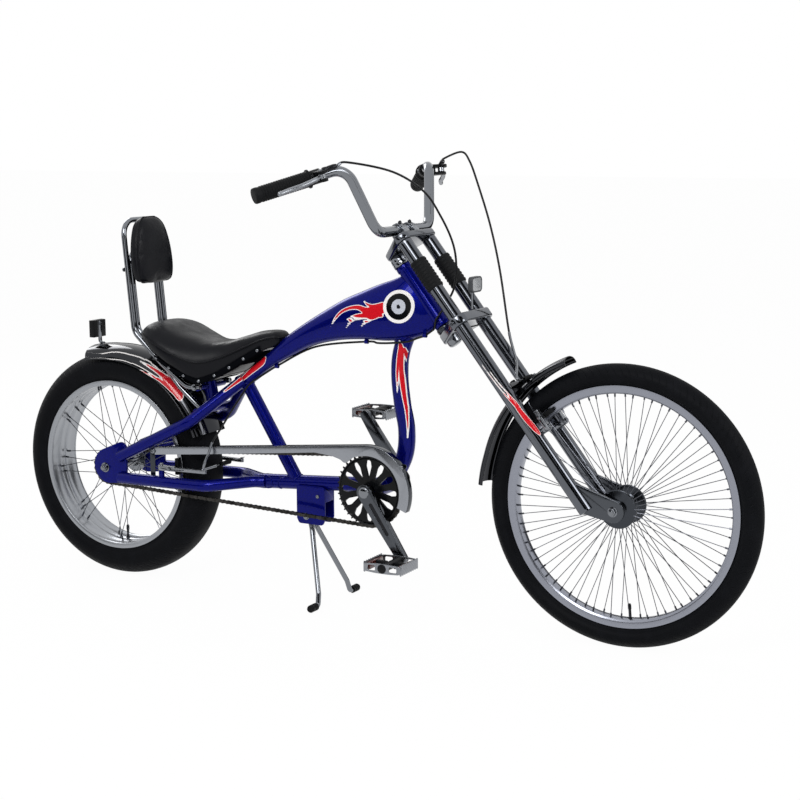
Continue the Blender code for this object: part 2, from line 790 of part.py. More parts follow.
def chain_route():
    """Pin and mid points around both toothed wheels, with outward directions."""
    small, large = pitch_radius(COG_TEETH), pitch_radius(RING_TEETH)
    back = np.array([0.0, REAR_RADIUS])
    front = np.array(BRACKET)
    span = np.linalg.norm(front - back)
    slope = math.atan2(front[1] - back[1], front[0] - back[0])
    lean = math.asin((large - small) / span)
    run = span * math.cos(lean)
    ring_arc = math.pi + 2 * lean
    cog_arc = math.pi - 2 * lean
    length = 2 * run + large * ring_arc + small * cog_arc
    links = 2 * round(length / PITCH / 2)
    step = length / links / 2
    start = large * ring_arc / 2
    points = []
    for k in range(2 * links):
        d = (k + 1) * step + start
        d = d % length
        if d < large * ring_arc:
            w = slope - ring_arc / 2 + d / large
            out = np.array([math.cos(w), math.sin(w)])
            points.append((front + large * out, out, "ring"))
            continue
        d -= large * ring_arc
        w = slope + ring_arc / 2
        out = np.array([math.cos(w), math.sin(w)])
        if d < run:
            points.append((front + large * out + (back - front + (small - large) * out) * d / run, out, ""))
            continue
        d -= run
        if d < small * cog_arc:
            w = slope + ring_arc / 2 + d / small
            out = np.array([math.cos(w), math.sin(w)])
            points.append((back + small * out, out, "cog"))
            continue
        d -= small * cog_arc
        w = slope - ring_arc / 2
        out = np.array([math.cos(w), math.sin(w)])
        points.append((back + small * out + (front - back + (large - small) * out) * d / run, out, ""))
    return points, links


def build_drive(root, crank):
    """Chain, cogs, crank set, guard and pedals."""
    points, links = chain_route()
    sections = []
    windows = []
    count = len(points)
    for k, (place, out, where) in enumerate(points):
        pin = k % 2 == 0
        near = [points[(k + d) % count][2] for d in (0, -7, 7, -4, 4)]
        where = "ring" if "ring" in near else "cog" if "cog" in (near[0], near[3], near[4]) else ""
        if not where:
            continue
        half = 4.2 if pin else 3.1
        here = np.array([place[0], CHAIN_LINE, place[1]])
        up = np.array([out[0], 0.0, out[1]])
        sections.append([here + half * up + CHAIN_HALF * SIDE, here + half * up - CHAIN_HALF * SIDE,
                         here - half * up - CHAIN_HALF * SIDE, here - half * up + CHAIN_HALF * SIDE])
        if not pin:
            along = np.cross(up, SIDE)
            windows.append(slab([(-2.6, -1.6), (2.6, -1.6), (2.6, 1.6), (-2.6, 1.6)], -8.0, 8.0,
                                lambda u, v, w, c=here, t=along, n=up: c + u * t + v * SIDE + w * n))
    chain = combine(loft(sections, closed=True), cut=[merge(windows)])
    part("chain", chain, "chain_steel", parent=root)

    phase = math.atan2(BRACKET[1] - REAR_RADIUS, BRACKET[0])
    turn = np.array([[math.cos(phase), -math.sin(phase)], [math.sin(phase), math.cos(phase)]])

    def upright(centre, outline, low, high):
        return slab([tuple(turn @ np.array(p)) for p in outline], low, high,
                    lambda u, v, w: centre + np.array([u, w, v]))

    radius = pitch_radius(RING_TEETH)
    plate = upright(CRANK_AXLE, cog_outline(RING_TEETH, radius), CHAIN_LINE - 1.1, CHAIN_LINE + 1.1)
    disc = rod(CRANK_AXLE + (CHAIN_LINE - 4.5) * SIDE, CRANK_AXLE + (CHAIN_LINE - 1.0) * SIDE,
               radius - 7.5, 24)
    slots = []
    for k in range(12):
        w = 2 * math.pi * k / 12
        leaf = [(33, -1.5), (58, -7), (70, -4), (70, 4), (58, 7), (33, 1.5)]
        turned = [(u * math.cos(w) - v * math.sin(w), u * math.sin(w) + v * math.cos(w)) for u, v in leaf]
        slots.append(slab(turned, CHAIN_LINE - 9, CHAIN_LINE + 9,
                          lambda u, v, d: CRANK_AXLE + np.array([u, d, v])))
    hole = rod(CRANK_AXLE - 90 * SIDE, CRANK_AXLE - 40 * SIDE, 15.0 + GAP, 14)
    wheel = combine(plate, add=[disc], cut=[merge(slots), hole])
    part("chainring", wheel, "black_steel", origin=CRANK_AXLE, parent=crank)

    radius = pitch_radius(COG_TEETH)
    cog = upright(REAR_AXLE, cog_outline(COG_TEETH, radius), CHAIN_LINE - 1.1, CHAIN_LINE + 1.1)
    body = rod(REAR_AXLE - 72.0 * SIDE, REAR_AXLE - 46.0 * SIDE, 25.0, 16)
    hole = rod(REAR_AXLE - 90 * SIDE, REAR_AXLE - 40 * SIDE, AXLE_RADIUS + 0.8, 12)
    part("rear_sprocket", combine(cog, add=[body], cut=[hole]), "black_steel", origin=REAR_AXLE,
         parent=root)

    solids = []
    for side in (-1, 1):
        reach = -side * CRANK_LENGTH
        end = (reach * math.cos(CRANK_ANGLE), reach * math.sin(CRANK_ANGLE))
        outline = around([(0, 0, 18), (end[0], end[1], 13.5)], 12)
        low, high = sorted((side * ARM_IN, side * ARM_OUT))
        solids.append(slab(outline, low, high, lambda u, v, w: CRANK_AXLE + np.array([u, w, v])))
        tip = CRANK_AXLE + np.array([end[0], 0.0, end[1]])
        solids.append(rod(tip + side * (ARM_IN + 4) * SIDE, tip + side * PEDAL_END * SIDE, 5.0, 10))
    spindle = rod(CRANK_AXLE - (ARM_OUT - 2) * SIDE, CRANK_AXLE + (ARM_OUT - 2) * SIDE, SPINDLE_RADIUS, 16)
    right_boss = rod(CRANK_AXLE - (ARM_IN + 2) * SIDE, CRANK_AXLE - (SHELL_HALF + 3) * SIDE, 15.0, 14)
    left_boss = rod(CRANK_AXLE + (SHELL_HALF + 3) * SIDE, CRANK_AXLE + (ARM_IN + 2) * SIDE, 13.0, 14)
    part("crankset", combine(spindle, add=[right_boss, left_boss] + solids), "alloy",
         origin=CRANK_AXLE, parent=crank)
    for side, name in ((-1, "right"), (1, "left")):
        reach = -side * CRANK_LENGTH
        tip = CRANK_AXLE + np.array([reach * math.cos(CRANK_ANGLE), 0.0, reach * math.sin(CRANK_ANGLE)])
        part("pedal_" + name, pedal_shape(tip, side), "alloy", origin=tip, parent=crank)
    part("chain_guard", guard_shape(), "chrome", parent=root)


PEDAL_IN = 96.0
PEDAL_OUT = 182.0
PEDAL_END = 174.0
PEDAL_HALF = 46.0


def pedal_shape(tip, side):
    """Cage pedal around its axle."""
    middle = tip + side * 0.5 * (PEDAL_IN + PEDAL_OUT) * SIDE
    wide = PEDAL_OUT - PEDAL_IN - 3.0
    outline = [(-PEDAL_HALF, -7), (-PEDAL_HALF + 7, -12), (PEDAL_HALF - 7, -12), (PEDAL_HALF, -7),
               (PEDAL_HALF, 7), (PEDAL_HALF - 7, 12), (-PEDAL_HALF + 7, 12), (-PEDAL_HALF, 7)]
    block = slab(outline, -0.5 * wide, 0.5 * wide, lambda u, v, w: middle + np.array([u, w, v]))
    windows = [box(middle + np.array([s * 22.0, 0.0, 0.0]), (30.0, wide - 16.0, 60.0)) for s in (-1, 1)]
    barrel = rod(tip + side * PEDAL_IN * SIDE, tip + side * PEDAL_OUT * SIDE, 11.0, 10)
    bore = rod(tip + side * (PEDAL_IN - 5) * SIDE, tip + side * (PEDAL_END + GAP) * SIDE,
               AXLE_RADIUS + 0.4, 10)
    cage = combine(block, cut=windows)
    return combine(cage, add=[barrel], cut=[bore])


GUARD_OUT = -74.0
GUARD_THICK = 1.6
GUARD_REACH = 104.0
GUARD_LIP = 18.0


def guard_shape():
    """Long plate over the chain that wraps the chainring, with a lip on top."""
    x, z = BRACKET
    start, stop = math.radians(96), math.radians(-22)
    arc = [start + (stop - start) * k / 10 for k in range(11)]
    crown = [(x + GUARD_REACH * math.cos(w), z + GUARD_REACH * math.sin(w)) for w in arc]
    inner = [(x + (GUARD_REACH - 24) * math.cos(w), z + (GUARD_REACH - 24) * math.sin(w))
             for w in reversed(arc[1:])]
    top = [(108, 331), (116, 336)] + crown
    low = inner + [(x - 20, z + 83), (x - 66, z + 58), (x - 82, z + 50), (x - 110, z + 66), (560, 357),
                   (280, 338), (116, 321), (108, 324)]
    plate = slab(top + low, GUARD_OUT, GUARD_OUT + GUARD_THICK, lambda u, v, w: np.array([u, w, v]))
    path = top[1:]
    under = []
    for k, p in enumerate(path):
        a = np.array(path[max(0, k - 1)])
        b = np.array(path[min(len(path) - 1, k + 1)])
        t = unit(b - a)
        n = np.array([t[1], -t[0]])
        under.append(tuple(np.array(p) + n * GUARD_THICK))
    lip = slab(path + under[::-1], GUARD_OUT + 0.5, GUARD_OUT + GUARD_LIP,
               lambda u, v, w: np.array([u, w, v]))
    tab = box((140, GUARD_OUT + 0.8, 296), (14, GUARD_THICK, 72))
    arm = slab(around([(x + 86, z + 62, 5), (x + 46, z + 62, 5)], 8), GUARD_OUT + GUARD_LIP - 3,
               GUARD_OUT + GUARD_LIP - 0.5, lambda u, v, w: np.array([u, w, v]))
    post = rod((x + 46, GUARD_OUT + GUARD_LIP - 2, z + 62), (x + 46, -6, z + 62), 4.0, 8)
    frame = [tube(down_path(), DOWN_RADIUS + GAP, 12), tube(lower_stay_path(-1), STAY_RADIUS + GAP, 10),
             tube(upper_stay_path(-1), STAY_RADIUS + GAP, 10)]
    solid = combine(plate, add=[lip, tab, arm, post], cut=frame)
    return solid


def wheel_ring(profile, centre):
    """Rim or tyre with a flat facet centred at the bottom."""
    scale = 1.0 / math.cos(math.pi / WHEEL_SEGMENTS)
    grown = [(r * scale, d) for r, d in profile]
    return ring(grown, centre, SIDE, np.array([0.0, 0.0, -1.0]), WHEEL_SEGMENTS)


def both(points):
    """Profile mirrored about the wheel's middle plane."""
    return points + [(r, -d) for r, d in reversed(points)]


def spokes(centre, count, hub_r, hub_y, rim_r, rim_y, twist, spread):
    """Thin rods from the hub flanges to the rim."""
    out = []
    for side in (-1, 1):
        for k in range(count // 2):
            lean = 1 if k % 2 else -1
            w = 2 * math.pi * (k + (0.0 if side > 0 else 0.5)) / (count // 2)
            inner_y = side * (hub_y + lean * spread[0])
            outer_y = side * (rim_y + lean * spread[1])
            v = w + lean * twist
            start = centre + np.array([hub_r * math.sin(w), inner_y, -hub_r * math.cos(w)])
            stop = centre + np.array([rim_r * math.sin(v), outer_y, -rim_r * math.cos(v)])
            out.append(rod(start, stop, 1.15, 3))
    return out


def build_wheels(root, front):
    """Tyres, rims, spoked hubs and axles."""
    r, w = REAR_RADIUS, REAR_HALF
    rim_r, rim_w = REAR_RIM, REAR_RIM_HALF
    tyre = both([(rim_r - 7.1, rim_w - 3.4), (rim_r + 3, rim_w - 3.4), (rim_r + 22, w),
                 (r - 20, w - 7), (r, w - 36)])
    part("rear_tyre", wheel_ring(tyre, REAR_AXLE), "rubber", origin=REAR_AXLE, parent=root)
    rim = both([(rim_r - 7.5, rim_w - 3), (rim_r, rim_w - 3), (rim_r, rim_w), (rim_r - 12.5, rim_w)])
    valve = rod(REAR_AXLE - np.array([0, 0, rim_r - 10.5]), REAR_AXLE - np.array([0, 0, rim_r - 48]), 3.4, 6)
    part("rear_rim", combine(wheel_ring(rim, REAR_AXLE), add=[valve]), "alloy", origin=REAR_AXLE,
         parent=root)
    bore = AXLE_RADIUS + 0.5
    hub = [(bore, -45.7), (14, -45.7), (14, -41), (31, -40), (31, -36), (15, -35), (15, 35), (31, 36),
           (31, 40), (14, 41), (11, DROPOUT_SIDE - GAP), (bore, DROPOUT_SIDE - GAP)]
    wires = spokes(REAR_AXLE, REAR_WIRES, 26.0, 38.0, rim_r - 13.1, 10.0, math.radians(48), (1.1, 4.0))
    barrel = ring(hub, REAR_AXLE, SIDE, np.array([1.0, 0.0, 0.0]), 16)
    hub = combine(barrel, add=[merge(wires)])
    part("rear_hub", hub, "chrome", origin=REAR_AXLE, parent=root)
    axle = rod((0, -92, r), (0, 92, r), AXLE_RADIUS, 8)
    nuts = [rod((0, s * (DROPOUT_SIDE + PLATE_THICK + GAP), r), (0, s * 87.5, r), 9.0, 6) for s in (-1, 1)]
    part("rear_axle", combine(axle, add=nuts), "chrome", parent=root)

    r, w = FRONT_RADIUS, FRONT_HALF
    rim_r, rim_w = FRONT_RIM, FRONT_RIM_HALF
    tyre = both([(rim_r - 7.1, rim_w - 3.4), (rim_r + 3, rim_w - 3.4), (rim_r + 18, w),
                 (r - 9, w - 7), (r, w - 20)])
    part("front_tyre", wheel_ring(tyre, FRONT_AXLE), "rubber", origin=FRONT_AXLE, parent=front)
    rim = both([(rim_r - 7.5, rim_w - 3), (rim_r, rim_w - 3), (rim_r, rim_w), (rim_r - 19.0, rim_w - 3)])
    down = np.array([math.sin(VALVE_ANGLE), 0.0, -math.cos(VALVE_ANGLE)])
    valve = rod(FRONT_AXLE + (rim_r - 14) * down, FRONT_AXLE + (rim_r - 56) * down, 3.4, 6)
    part("front_rim", combine(wheel_ring(rim, FRONT_AXLE), add=[valve]), "alloy", origin=FRONT_AXLE,
         parent=front)
    hub = both([(bore, 49.7), (12, 49.7), (13, 34), (47, 31), (47, 27), (19, 24)])
    wires = spokes(FRONT_AXLE, FRONT_WIRES, 41.3, 29.2, rim_r - 19.3, 4.0, 0.0, (0.0, 0.0))
    barrel = ring(hub, FRONT_AXLE, SIDE, np.array([1.0, 0.0, 0.0]), 16)
    hub = combine(barrel, add=[merge(wires)])
    part("front_hub", hub, "chrome", origin=FRONT_AXLE, parent=front)


FRONT_ARM_LOW = 84.0
FRONT_ARM_THICK = 11.0
FRONT_PIVOT = (522.0, 43.0)


def leg_shape(side):
    """Fork leg with its dropout plate and the pin of its brake arm."""
    y = side * LEG_SIDE
    tube_part = rod(steer(LEG_BOTTOM, LEG_AHEAD, y), steer(CROWN_TOP - GAP, LEG_AHEAD, y), LEG_RADIUS, 16)
    away = FRONT_AXLE - STEER_GROUND
    s, a = float(away @ STEER_UP), float(away @ STEER_FORWARD)
    outline = around([(s, a, 24), (LEG_BOTTOM + 14, LEG_AHEAD, 15.5), (LEG_BOTTOM + 60, LEG_AHEAD + 8, 7)], 12)
    low, high = sorted((side * 50.3, side * 58.0))
    plate = slab(outline, low, high, steer)
    ps, py = FRONT_PIVOT
    boss = rod(steer(ps, LEG_AHEAD, side * py), steer(ps, FRONT_ARM_LOW - GAP, side * py), 7.0, 12)
    pin = rod(steer(ps, LEG_AHEAD, side * py), steer(ps, FRONT_ARM_LOW + FRONT_ARM_THICK + 3, side * py),
              4.0, 12)
    hole = rod(FRONT_AXLE + side * 40 * SIDE, FRONT_AXLE + side * 70 * SIDE, AXLE_RADIUS + GAP, 12)
    return combine(tube_part, add=[plate, boss, pin], cut=[hole])


def build_fork(fork):
    """Fork legs, crowns, sleeves, axle and front reflector."""
    for side, name in ((-1, "right"), (1, "left")):
        y = side * LEG_SIDE
        part("fork_leg_" + name, leg_shape(side), "chrome", origin=STEER_ORIGIN, parent=fork)
        rubber = sleeve(steer(905, LEG_AHEAD, y), steer(978, LEG_AHEAD, y), 19.5, LEG_RADIUS + 0.4, 16)
        part("fork_sleeve_" + name, rubber, "rubber", origin=STEER_ORIGIN, parent=fork)
    high = CROWN_LOW + CROWN_LOW_THICK
    outline = around([(0, 0, 22), (LEG_AHEAD, LEG_SIDE, 23), (LEG_AHEAD, -LEG_SIDE, 23)], 14)
    lower = slab(outline, CROWN_LOW, high, lambda u, v, w: steer(w, u, v))
    legs = [rod(steer(CROWN_LOW - 20, LEG_AHEAD, s * LEG_SIDE), steer(high + 20, LEG_AHEAD, s * LEG_SIDE),
                LEG_RADIUS + 0.4, 16) for s in (-1, 1)]
    steerer = rod(steer(CROWN_LOW + 4, 0), steer(CROWN_TOP + CROWN_TOP_THICK + 5, 0), STEERER_RADIUS, 14)
    plug = rod(steer(CROWN_LOW - 14, 0), steer(CROWN_LOW + 4, 0), 16.0, 12)
    lower = combine(lower, add=[steerer, plug], cut=legs)
    part("lower_crown", lower, "chrome", origin=STEER_ORIGIN, parent=fork)
    outline = around([(0, 0, 22), (LEG_AHEAD, LEG_SIDE, 20), (LEG_AHEAD, -LEG_SIDE, 20)], 14)
    upper = slab(outline, CROWN_TOP, CROWN_TOP + CROWN_TOP_THICK, lambda u, v, w: steer(w, u, v))
    hole = rod(steer(CROWN_TOP - 9, 0), steer(CROWN_TOP + 40, 0), STEERER_RADIUS + 0.4, 14)
    part("top_crown", combine(upper, cut=[hole]), "chrome", origin=STEER_ORIGIN, parent=fork)
    axle = rod(FRONT_AXLE - 68 * SIDE, FRONT_AXLE + 68 * SIDE, AXLE_RADIUS, 8)
    nuts = [rod(FRONT_AXLE + s * 58.3 * SIDE, FRONT_AXLE + s * 65.5 * SIDE, 8.5, 6) for s in (-1, 1)]
    part("front_axle", combine(axle, add=nuts), "chrome", origin=STEER_ORIGIN, parent=fork)
    rear = steer(high + GAP, LEG_AHEAD - 4)
    front = steer(high + GAP, LEG_AHEAD + 17)
    knee = (front[0] - rear[0], front[2] - rear[2])
    strap = slab([(0, 0), knee, (knee[0] + 1, knee[1] + 3), (knee[0] + 1, knee[1] + 70),
                  (knee[0] - 2, knee[1] + 70), (knee[0] - 2, knee[1] + 3), (-1.5, 2)], -8, 8,
                 lambda u, v, w: rear + np.array([u, w, v]))
    face = box(front + np.array([5.5, 0.0, 57.0]), (11, 48, 34))
    part("front_reflector", combine(face, add=[strap]), "clear_lens", origin=STEER_ORIGIN, parent=fork)


BAR_LOW = (1066.0, 49.0)
BAR_CORNER = np.array([754.0, 186.0, 1010.0])
GRIP_END = np.array([636.0, 348.0, 955.0])


def bar_path():
    """Handlebar from the right grip end to the left one."""
    low = steer(BAR_LOW[0], BAR_LOW[1])
    left = [low + 118 * SIDE, BAR_CORNER, GRIP_END]
    flip = np.array([1.0, -1.0, 1.0])
    right = [p * flip for p in left]
    return bent(right[::-1] + left, 45, 3)


def hand_axes(side):
    """Inner end of the grip and its outward, forward and upward directions."""
    flip = np.array([1.0, side, 1.0])
    end = GRIP_END * flip
    out = unit((GRIP_END - BAR_CORNER) * flip)
    start = end - out * (GRIP_LENGTH - 6)
    ahead = np.array([1.0, 0.0, 0.2])
    ahead = unit(ahead - (ahead @ out) * out)
    return start, out, ahead, side * np.cross(ahead, out)


LEVER_REACH = 38.0


def lever_pivot(side):
    """Point and direction of the hinge of a brake lever, which closes as it turns."""
    start, out, ahead, up = hand_axes(side)
    return start - out * 15 + ahead * LEVER_REACH, side * up


def build_bar(fork):
    """Handlebar, clamps, grips, lever perches and levers."""
    path = bar_path()
    part("handlebar", tube(path, BAR_RADIUS, 10), "chrome", origin=STEER_ORIGIN, parent=fork)
    s, a = BAR_LOW
    base_s = CROWN_TOP + CROWN_TOP_THICK + GAP
    base = slab([(a - 22, -34), (a + 20, -34), (a + 20, 34), (a - 22, 34)], base_s, base_s + 5,
                lambda u, v, w: steer(w, u, v))
    towers = []
    for y in (-22, 22):
        outline = [(base_s + 2, a - 18), (base_s + 2, a + 18), (s + 3, a + 17), (s + 14, a + 10),
                   (s + 16.5, a), (s + 14, a - 10), (s + 3, a - 17)]
        towers.append(slab(outline, y - 10, y + 10, steer))
        for da in (-13.5, 13.5):
            towers.append(rod(steer(s, a + da, y), steer(s + 17, a + da, y), 3.6, 5))
    steerer = rod(steer(base_s - 5, 0), steer(base_s + 30, 0), STEERER_RADIUS + 0.4, 14)
    bore = rod(steer(s, a, -60), steer(s, a, 60), BAR_RADIUS + GAP, 20)
    part("bar_clamp", combine(base, add=towers, cut=[bore, steerer]), "alloy", origin=STEER_ORIGIN,
         parent=fork)
    for side, name in ((-1, "right"), (1, "left")):
        start, out, ahead, up = hand_axes(side)
        tip = start + out * GRIP_LENGTH
        shape = ring([(0.0, 0), (GRIP_RADIUS + 3, 0), (GRIP_RADIUS + 3, 4), (GRIP_RADIUS, 6),
                      (GRIP_RADIUS, GRIP_LENGTH), (0.0, GRIP_LENGTH)], start, out, ahead, 12)
        grip = combine(capped(shape), cut=[tube(longer(path, GAP), BAR_RADIUS + 0.5, 12)])
        part("grip_" + name, grip, "rubber", origin=STEER_ORIGIN, parent=fork)
        pin, _ = lever_pivot(side)
        centre = start - out * 15

        def plane(u, v, w, c=centre, t=out, n=ahead, h=up):
            return c + u * t + v * n + w * h

        collar = rod(plane(-11, 0, 0), plane(11, 0, 0), 15.5, 12)
        cheek = slab(around([(0, 10, 9), (-2, LEVER_REACH + 6, 8)], 10), 5.5, 12.0, plane)
        shaft = rod(plane(0, LEVER_REACH, 8), plane(0, LEVER_REACH, -6.5), 3.0, 8)
        barrel = rod(plane(-4, LEVER_REACH, 12.0), plane(-36, LEVER_REACH, 12.0), 5.0, 8)
        perch = combine(collar, add=[cheek, shaft, barrel], cut=[tube(longer(path, GAP), BAR_RADIUS + 0.5, 12)])
        part("perch_" + name, perch, "black_plastic", origin=STEER_ORIGIN, parent=fork)
        eye = rod(plane(0, LEVER_REACH, -5), plane(0, LEVER_REACH, 5), 7.5, 12)
        blade = [plane(2, LEVER_REACH, 0), plane(22, 46, -2), plane(50, 49, -5), plane(82, 49, -6),
                 plane(108, 53, -7)]
        blade = tube(curve(blade, 2), [4.4, 4.6, 5.0, 5.2, 5.4, 5.4, 5.4, 5.2, 4.8], 6)
        hole = rod(plane(0, LEVER_REACH, -9), plane(0, LEVER_REACH, 9), 3.4, 8)
        lever = combine(eye, add=[blade], cut=[hole])
        part("lever_" + name, lever, "alloy", origin=pin, parent=fork)


def arm_shape(place, side_in, outline, thick, bore_at, pad_at, pad_size):
    """Brake arm with its pad; place maps (along, across, depth) to a point."""
    low, high = thick
    arm = slab(outline, low, high, place)
    u, v, face = pad_at
    mid = 0.5 * (low + high)
    post = rod(place(u, v, mid), place(u, face + side_in * 5, mid), 4.0, 10)
    du, dw = pad_size
    flat = [(u - du, face), (u + du, face), (u + du, face + side_in * 9.5), (u - du, face + side_in * 9.5)]
    pad = slab(flat, mid - dw, mid + dw, place)
    hole = rod(place(*bore_at, low - 5), place(*bore_at, high + 5), 4.0 + GAP, 12)
    return combine(arm, add=[post, pad], cut=[hole])


def build_brakes(root, fork):
    """Linear pull brake arms at both rims."""
    ps, py = FRONT_PIVOT
    for side, name in ((-1, "right"), (1, "left")):
        outline = around([(ps, side * py, 8), (ps + 40, side * (py + 1), 5.5), (ps + 118, side * (py - 1), 5)], 8)
        shape = arm_shape(lambda u, v, w: steer(u, w, v), side, outline,
                          (FRONT_ARM_LOW, FRONT_ARM_LOW + FRONT_ARM_THICK), (ps, side * py),
                          (ps + 27, side * py, side * (FRONT_RIM_HALF + 2.3)), (5.0, 24.0))
        origin = steer(ps, FRONT_ARM_LOW, side * py)
        part("front_brake_" + name, shape, "alloy", origin=origin, parent=fork)
        x, y = BRAKE_REAR_X, BRAKE_REAR_SIDE
        outline = around([(x, side * y, 8), (x + 36, side * (y - 1), 5.5), (x + 122, side * (y - 4), 5)], 8)
        shape = arm_shape(lambda u, v, w: np.array([u, v, w]), side, outline,
                          (REAR_ARM_LOW, REAR_ARM_LOW + 11), (x, side * y),
                          (x + 27, side * y, side * (REAR_RIM_HALF + 2.3)), (5.0, 20.0))
        part("rear_brake_" + name, shape, "alloy", origin=(x, side * y, REAR_ARM_LOW), parent=root)


def build_cables(root, fork):
    """Brake cables along their routes."""
    for side, name in ((-1, "rear_cable_loop"), (1, "front_cable")):
        start, out, ahead, up = hand_axes(side)
        centre = start - out * 15 + ahead * LEVER_REACH + up * 12.0
        leave = [centre - out * 36.9, centre - out * 62]
        if side < 0:
            rest = [(847, -150, 1000), (891, -95, 958), (912, -58, 904), (924, -28, 849), (922, -6, 800),
                    (912, 4, 748), (899, -10, 712), (882, -25, 678)]
            route = curve(leave + rest, 2) + [cable_under_tank()[0] + np.array([0.9, -0.8, 2.0])]
            where, origin, holder = root, STEER_ORIGIN, fork
        else:
            rest = [(812, 236, 1035), (840, 222, 1014), (875, 195, 962), (925, 155, 875), (968, 116, 779),
                    steer(762, 90, 74), steer(716, 86, 44), steer(682, 93, 6), steer(662, 97.5, -26),
                    steer(650, 97.7, -44), steer(641, 97.7, -50), steer(638, 97.7, -40),
                    steer(638, 97.7, 46)]
            route = curve(leave + rest, 2)
            origin, holder = STEER_ORIGIN, fork
        part(name, tube(route, CABLE_RADIUS, 5), "cable_black", origin=origin, parent=holder)
    tail = [(372, -30, 476), (354, -45, 441), (334, -62, 400), (320, -77, 370), (312, -84, 342),
            (306, -93, 318), (301, -90, 303.5), (300, -74, 301.8), (300, 80, 301.8)]
    route = cable_under_tank()[:-1] + curve([cable_under_tank()[-1]] + tail, 2)
    part("rear_cable", tube(route, CABLE_RADIUS, 5), "cable_black", parent=root)


def build_trim(root, stand):
    """Rear reflector and the double kickstand."""
    w = math.radians(102.5)
    foot = REAR_AXLE + (FENDER_REAR_TOP + 2.6 + GAP) * np.array([math.cos(w), 0.0, math.sin(w)])
    strap = slab([(-6, 0), (12, -1.5), (12, 2), (-1, 4), (-1, 56), (-4, 56), (-6, 20)], -7, 7,
                 lambda u, v, t: foot + np.array([u, t, v]))
    face = box(foot + np.array([-10.0, 0.0, 37.0]), (15, 46, 42))
    cutter = fender_shape(REAR_AXLE, FENDER_REAR_TOP + GAP, FENDER_REAR_EDGE, REAR_HALF + 3.0 + GAP, 30.0,
                          REAR_ANGLES, rear_flare)
    part("rear_reflector", combine(face, add=[strap], cut=[cutter]), "black_plastic", parent=root)

    x, z = STAND_PIVOT
    hub = rod((x, -16.6, z), (x, 16.6, z), 10.0, 12)
    solids = []
    for side in (-1, 1):
        leg = bent([(x, side * 9, z), (x + 8, side * 10.3, z - 30), (STAND_FOOT_X - 3, side * 64, 34),
                    (STAND_FOOT_X, side * 72, STAND_FOOT_RADIUS), (STAND_FOOT_X, side * 84, STAND_FOOT_RADIUS)],
                   9, 2)
        solids.append(tube(leg, 6.0, 6))
        ends = ((STAND_FOOT_X, side * 80, STAND_FOOT_RADIUS), (STAND_FOOT_X, side * 108, STAND_FOOT_RADIUS))
        scale = 1.0 / math.cos(math.pi / 12)
        solids.append(tube(ends, STAND_FOOT_RADIUS * scale, 12))
    hole = rod((x, -30, z), (x, 30, z), 4.4, 8)
    legs = combine(hub, add=solids[:2] + solids[2:], cut=[hole])
    part("stand_legs", legs, "chrome", origin=(x, 0, z), parent=stand)


STAND_FOOT_X = 600.0
STAND_FOOT_RADIUS = 9.0


def main():
    """Builds the whole bicycle."""
    for item in list(bpy.data.objects):
        bpy.data.objects.remove(item, do_unlink=True)
    root = pivot("bicycle", (0.0, 0.0, 0.0))
    fork = pivot("steering_axis", STEER_ORIGIN, root)
    front = pivot("front_wheel_axis", FRONT_AXLE, fork)
    crank = pivot("crank_axis", CRANK_AXLE, root)
    stand = pivot("stand_axis", (STAND_PIVOT[0], 0.0, STAND_PIVOT[1]), root)
    build_frame(root)
    build_headset(root)
    build_seat(root)
    build_fenders(root, fork)
    build_drive(root, crank)
    build_wheels(root, front)
    build_fork(fork)
    build_bar(fork)
    build_brakes(root, fork)
    build_cables(root, fork)
    build_trim(root, stand)


main()
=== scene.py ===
"""Chopper bicycle on its double kickstand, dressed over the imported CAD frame.

Sizes are millimetres until a mesh is made, where they become metres.  X points
forward, Y to the rider's left and Z up; the ground is Z = 0 and the origin lies
under the rear axle.
"""
from __future__ import annotations

import logging
import math
from dataclasses import dataclass, field
from enum import Enum
from typing import Any, Callable, Iterable, Sequence

import bmesh
import bpy
import numpy as np
from mathutils import Matrix, Vector
from mathutils.bvhtree import BVHTree


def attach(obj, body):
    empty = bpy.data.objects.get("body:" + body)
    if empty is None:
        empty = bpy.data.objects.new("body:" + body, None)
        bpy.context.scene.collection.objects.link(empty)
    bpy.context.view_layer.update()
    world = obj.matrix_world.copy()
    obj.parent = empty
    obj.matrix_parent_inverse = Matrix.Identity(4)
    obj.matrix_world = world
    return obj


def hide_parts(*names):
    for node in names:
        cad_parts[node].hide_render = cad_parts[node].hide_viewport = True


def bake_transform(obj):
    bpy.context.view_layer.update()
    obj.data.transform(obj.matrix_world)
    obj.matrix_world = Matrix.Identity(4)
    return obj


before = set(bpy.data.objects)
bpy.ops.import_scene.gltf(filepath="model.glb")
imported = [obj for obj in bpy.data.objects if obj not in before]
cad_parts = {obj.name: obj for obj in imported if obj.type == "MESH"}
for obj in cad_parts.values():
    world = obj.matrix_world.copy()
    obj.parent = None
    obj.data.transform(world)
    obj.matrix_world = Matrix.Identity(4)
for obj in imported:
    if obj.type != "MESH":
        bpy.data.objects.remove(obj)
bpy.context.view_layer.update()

MM = 0.001
SIDE = np.array([0.0, 1.0, 0.0])
UP = np.array([0.0, 0.0, 1.0])
MIRROR = np.array([1.0, -1.0, 1.0])
AHEAD = np.array([1.0, 0.0, 0.0])
SIDES = ((-1, "right"), (1, "left"))
LOG = logging.getLogger("chopper")
Points = Sequence[Any]
Paint = Callable[[np.ndarray], dict]
Tree = bpy.types.NodeTree
Socket = bpy.types.NodeSocket
Item = bpy.types.Object


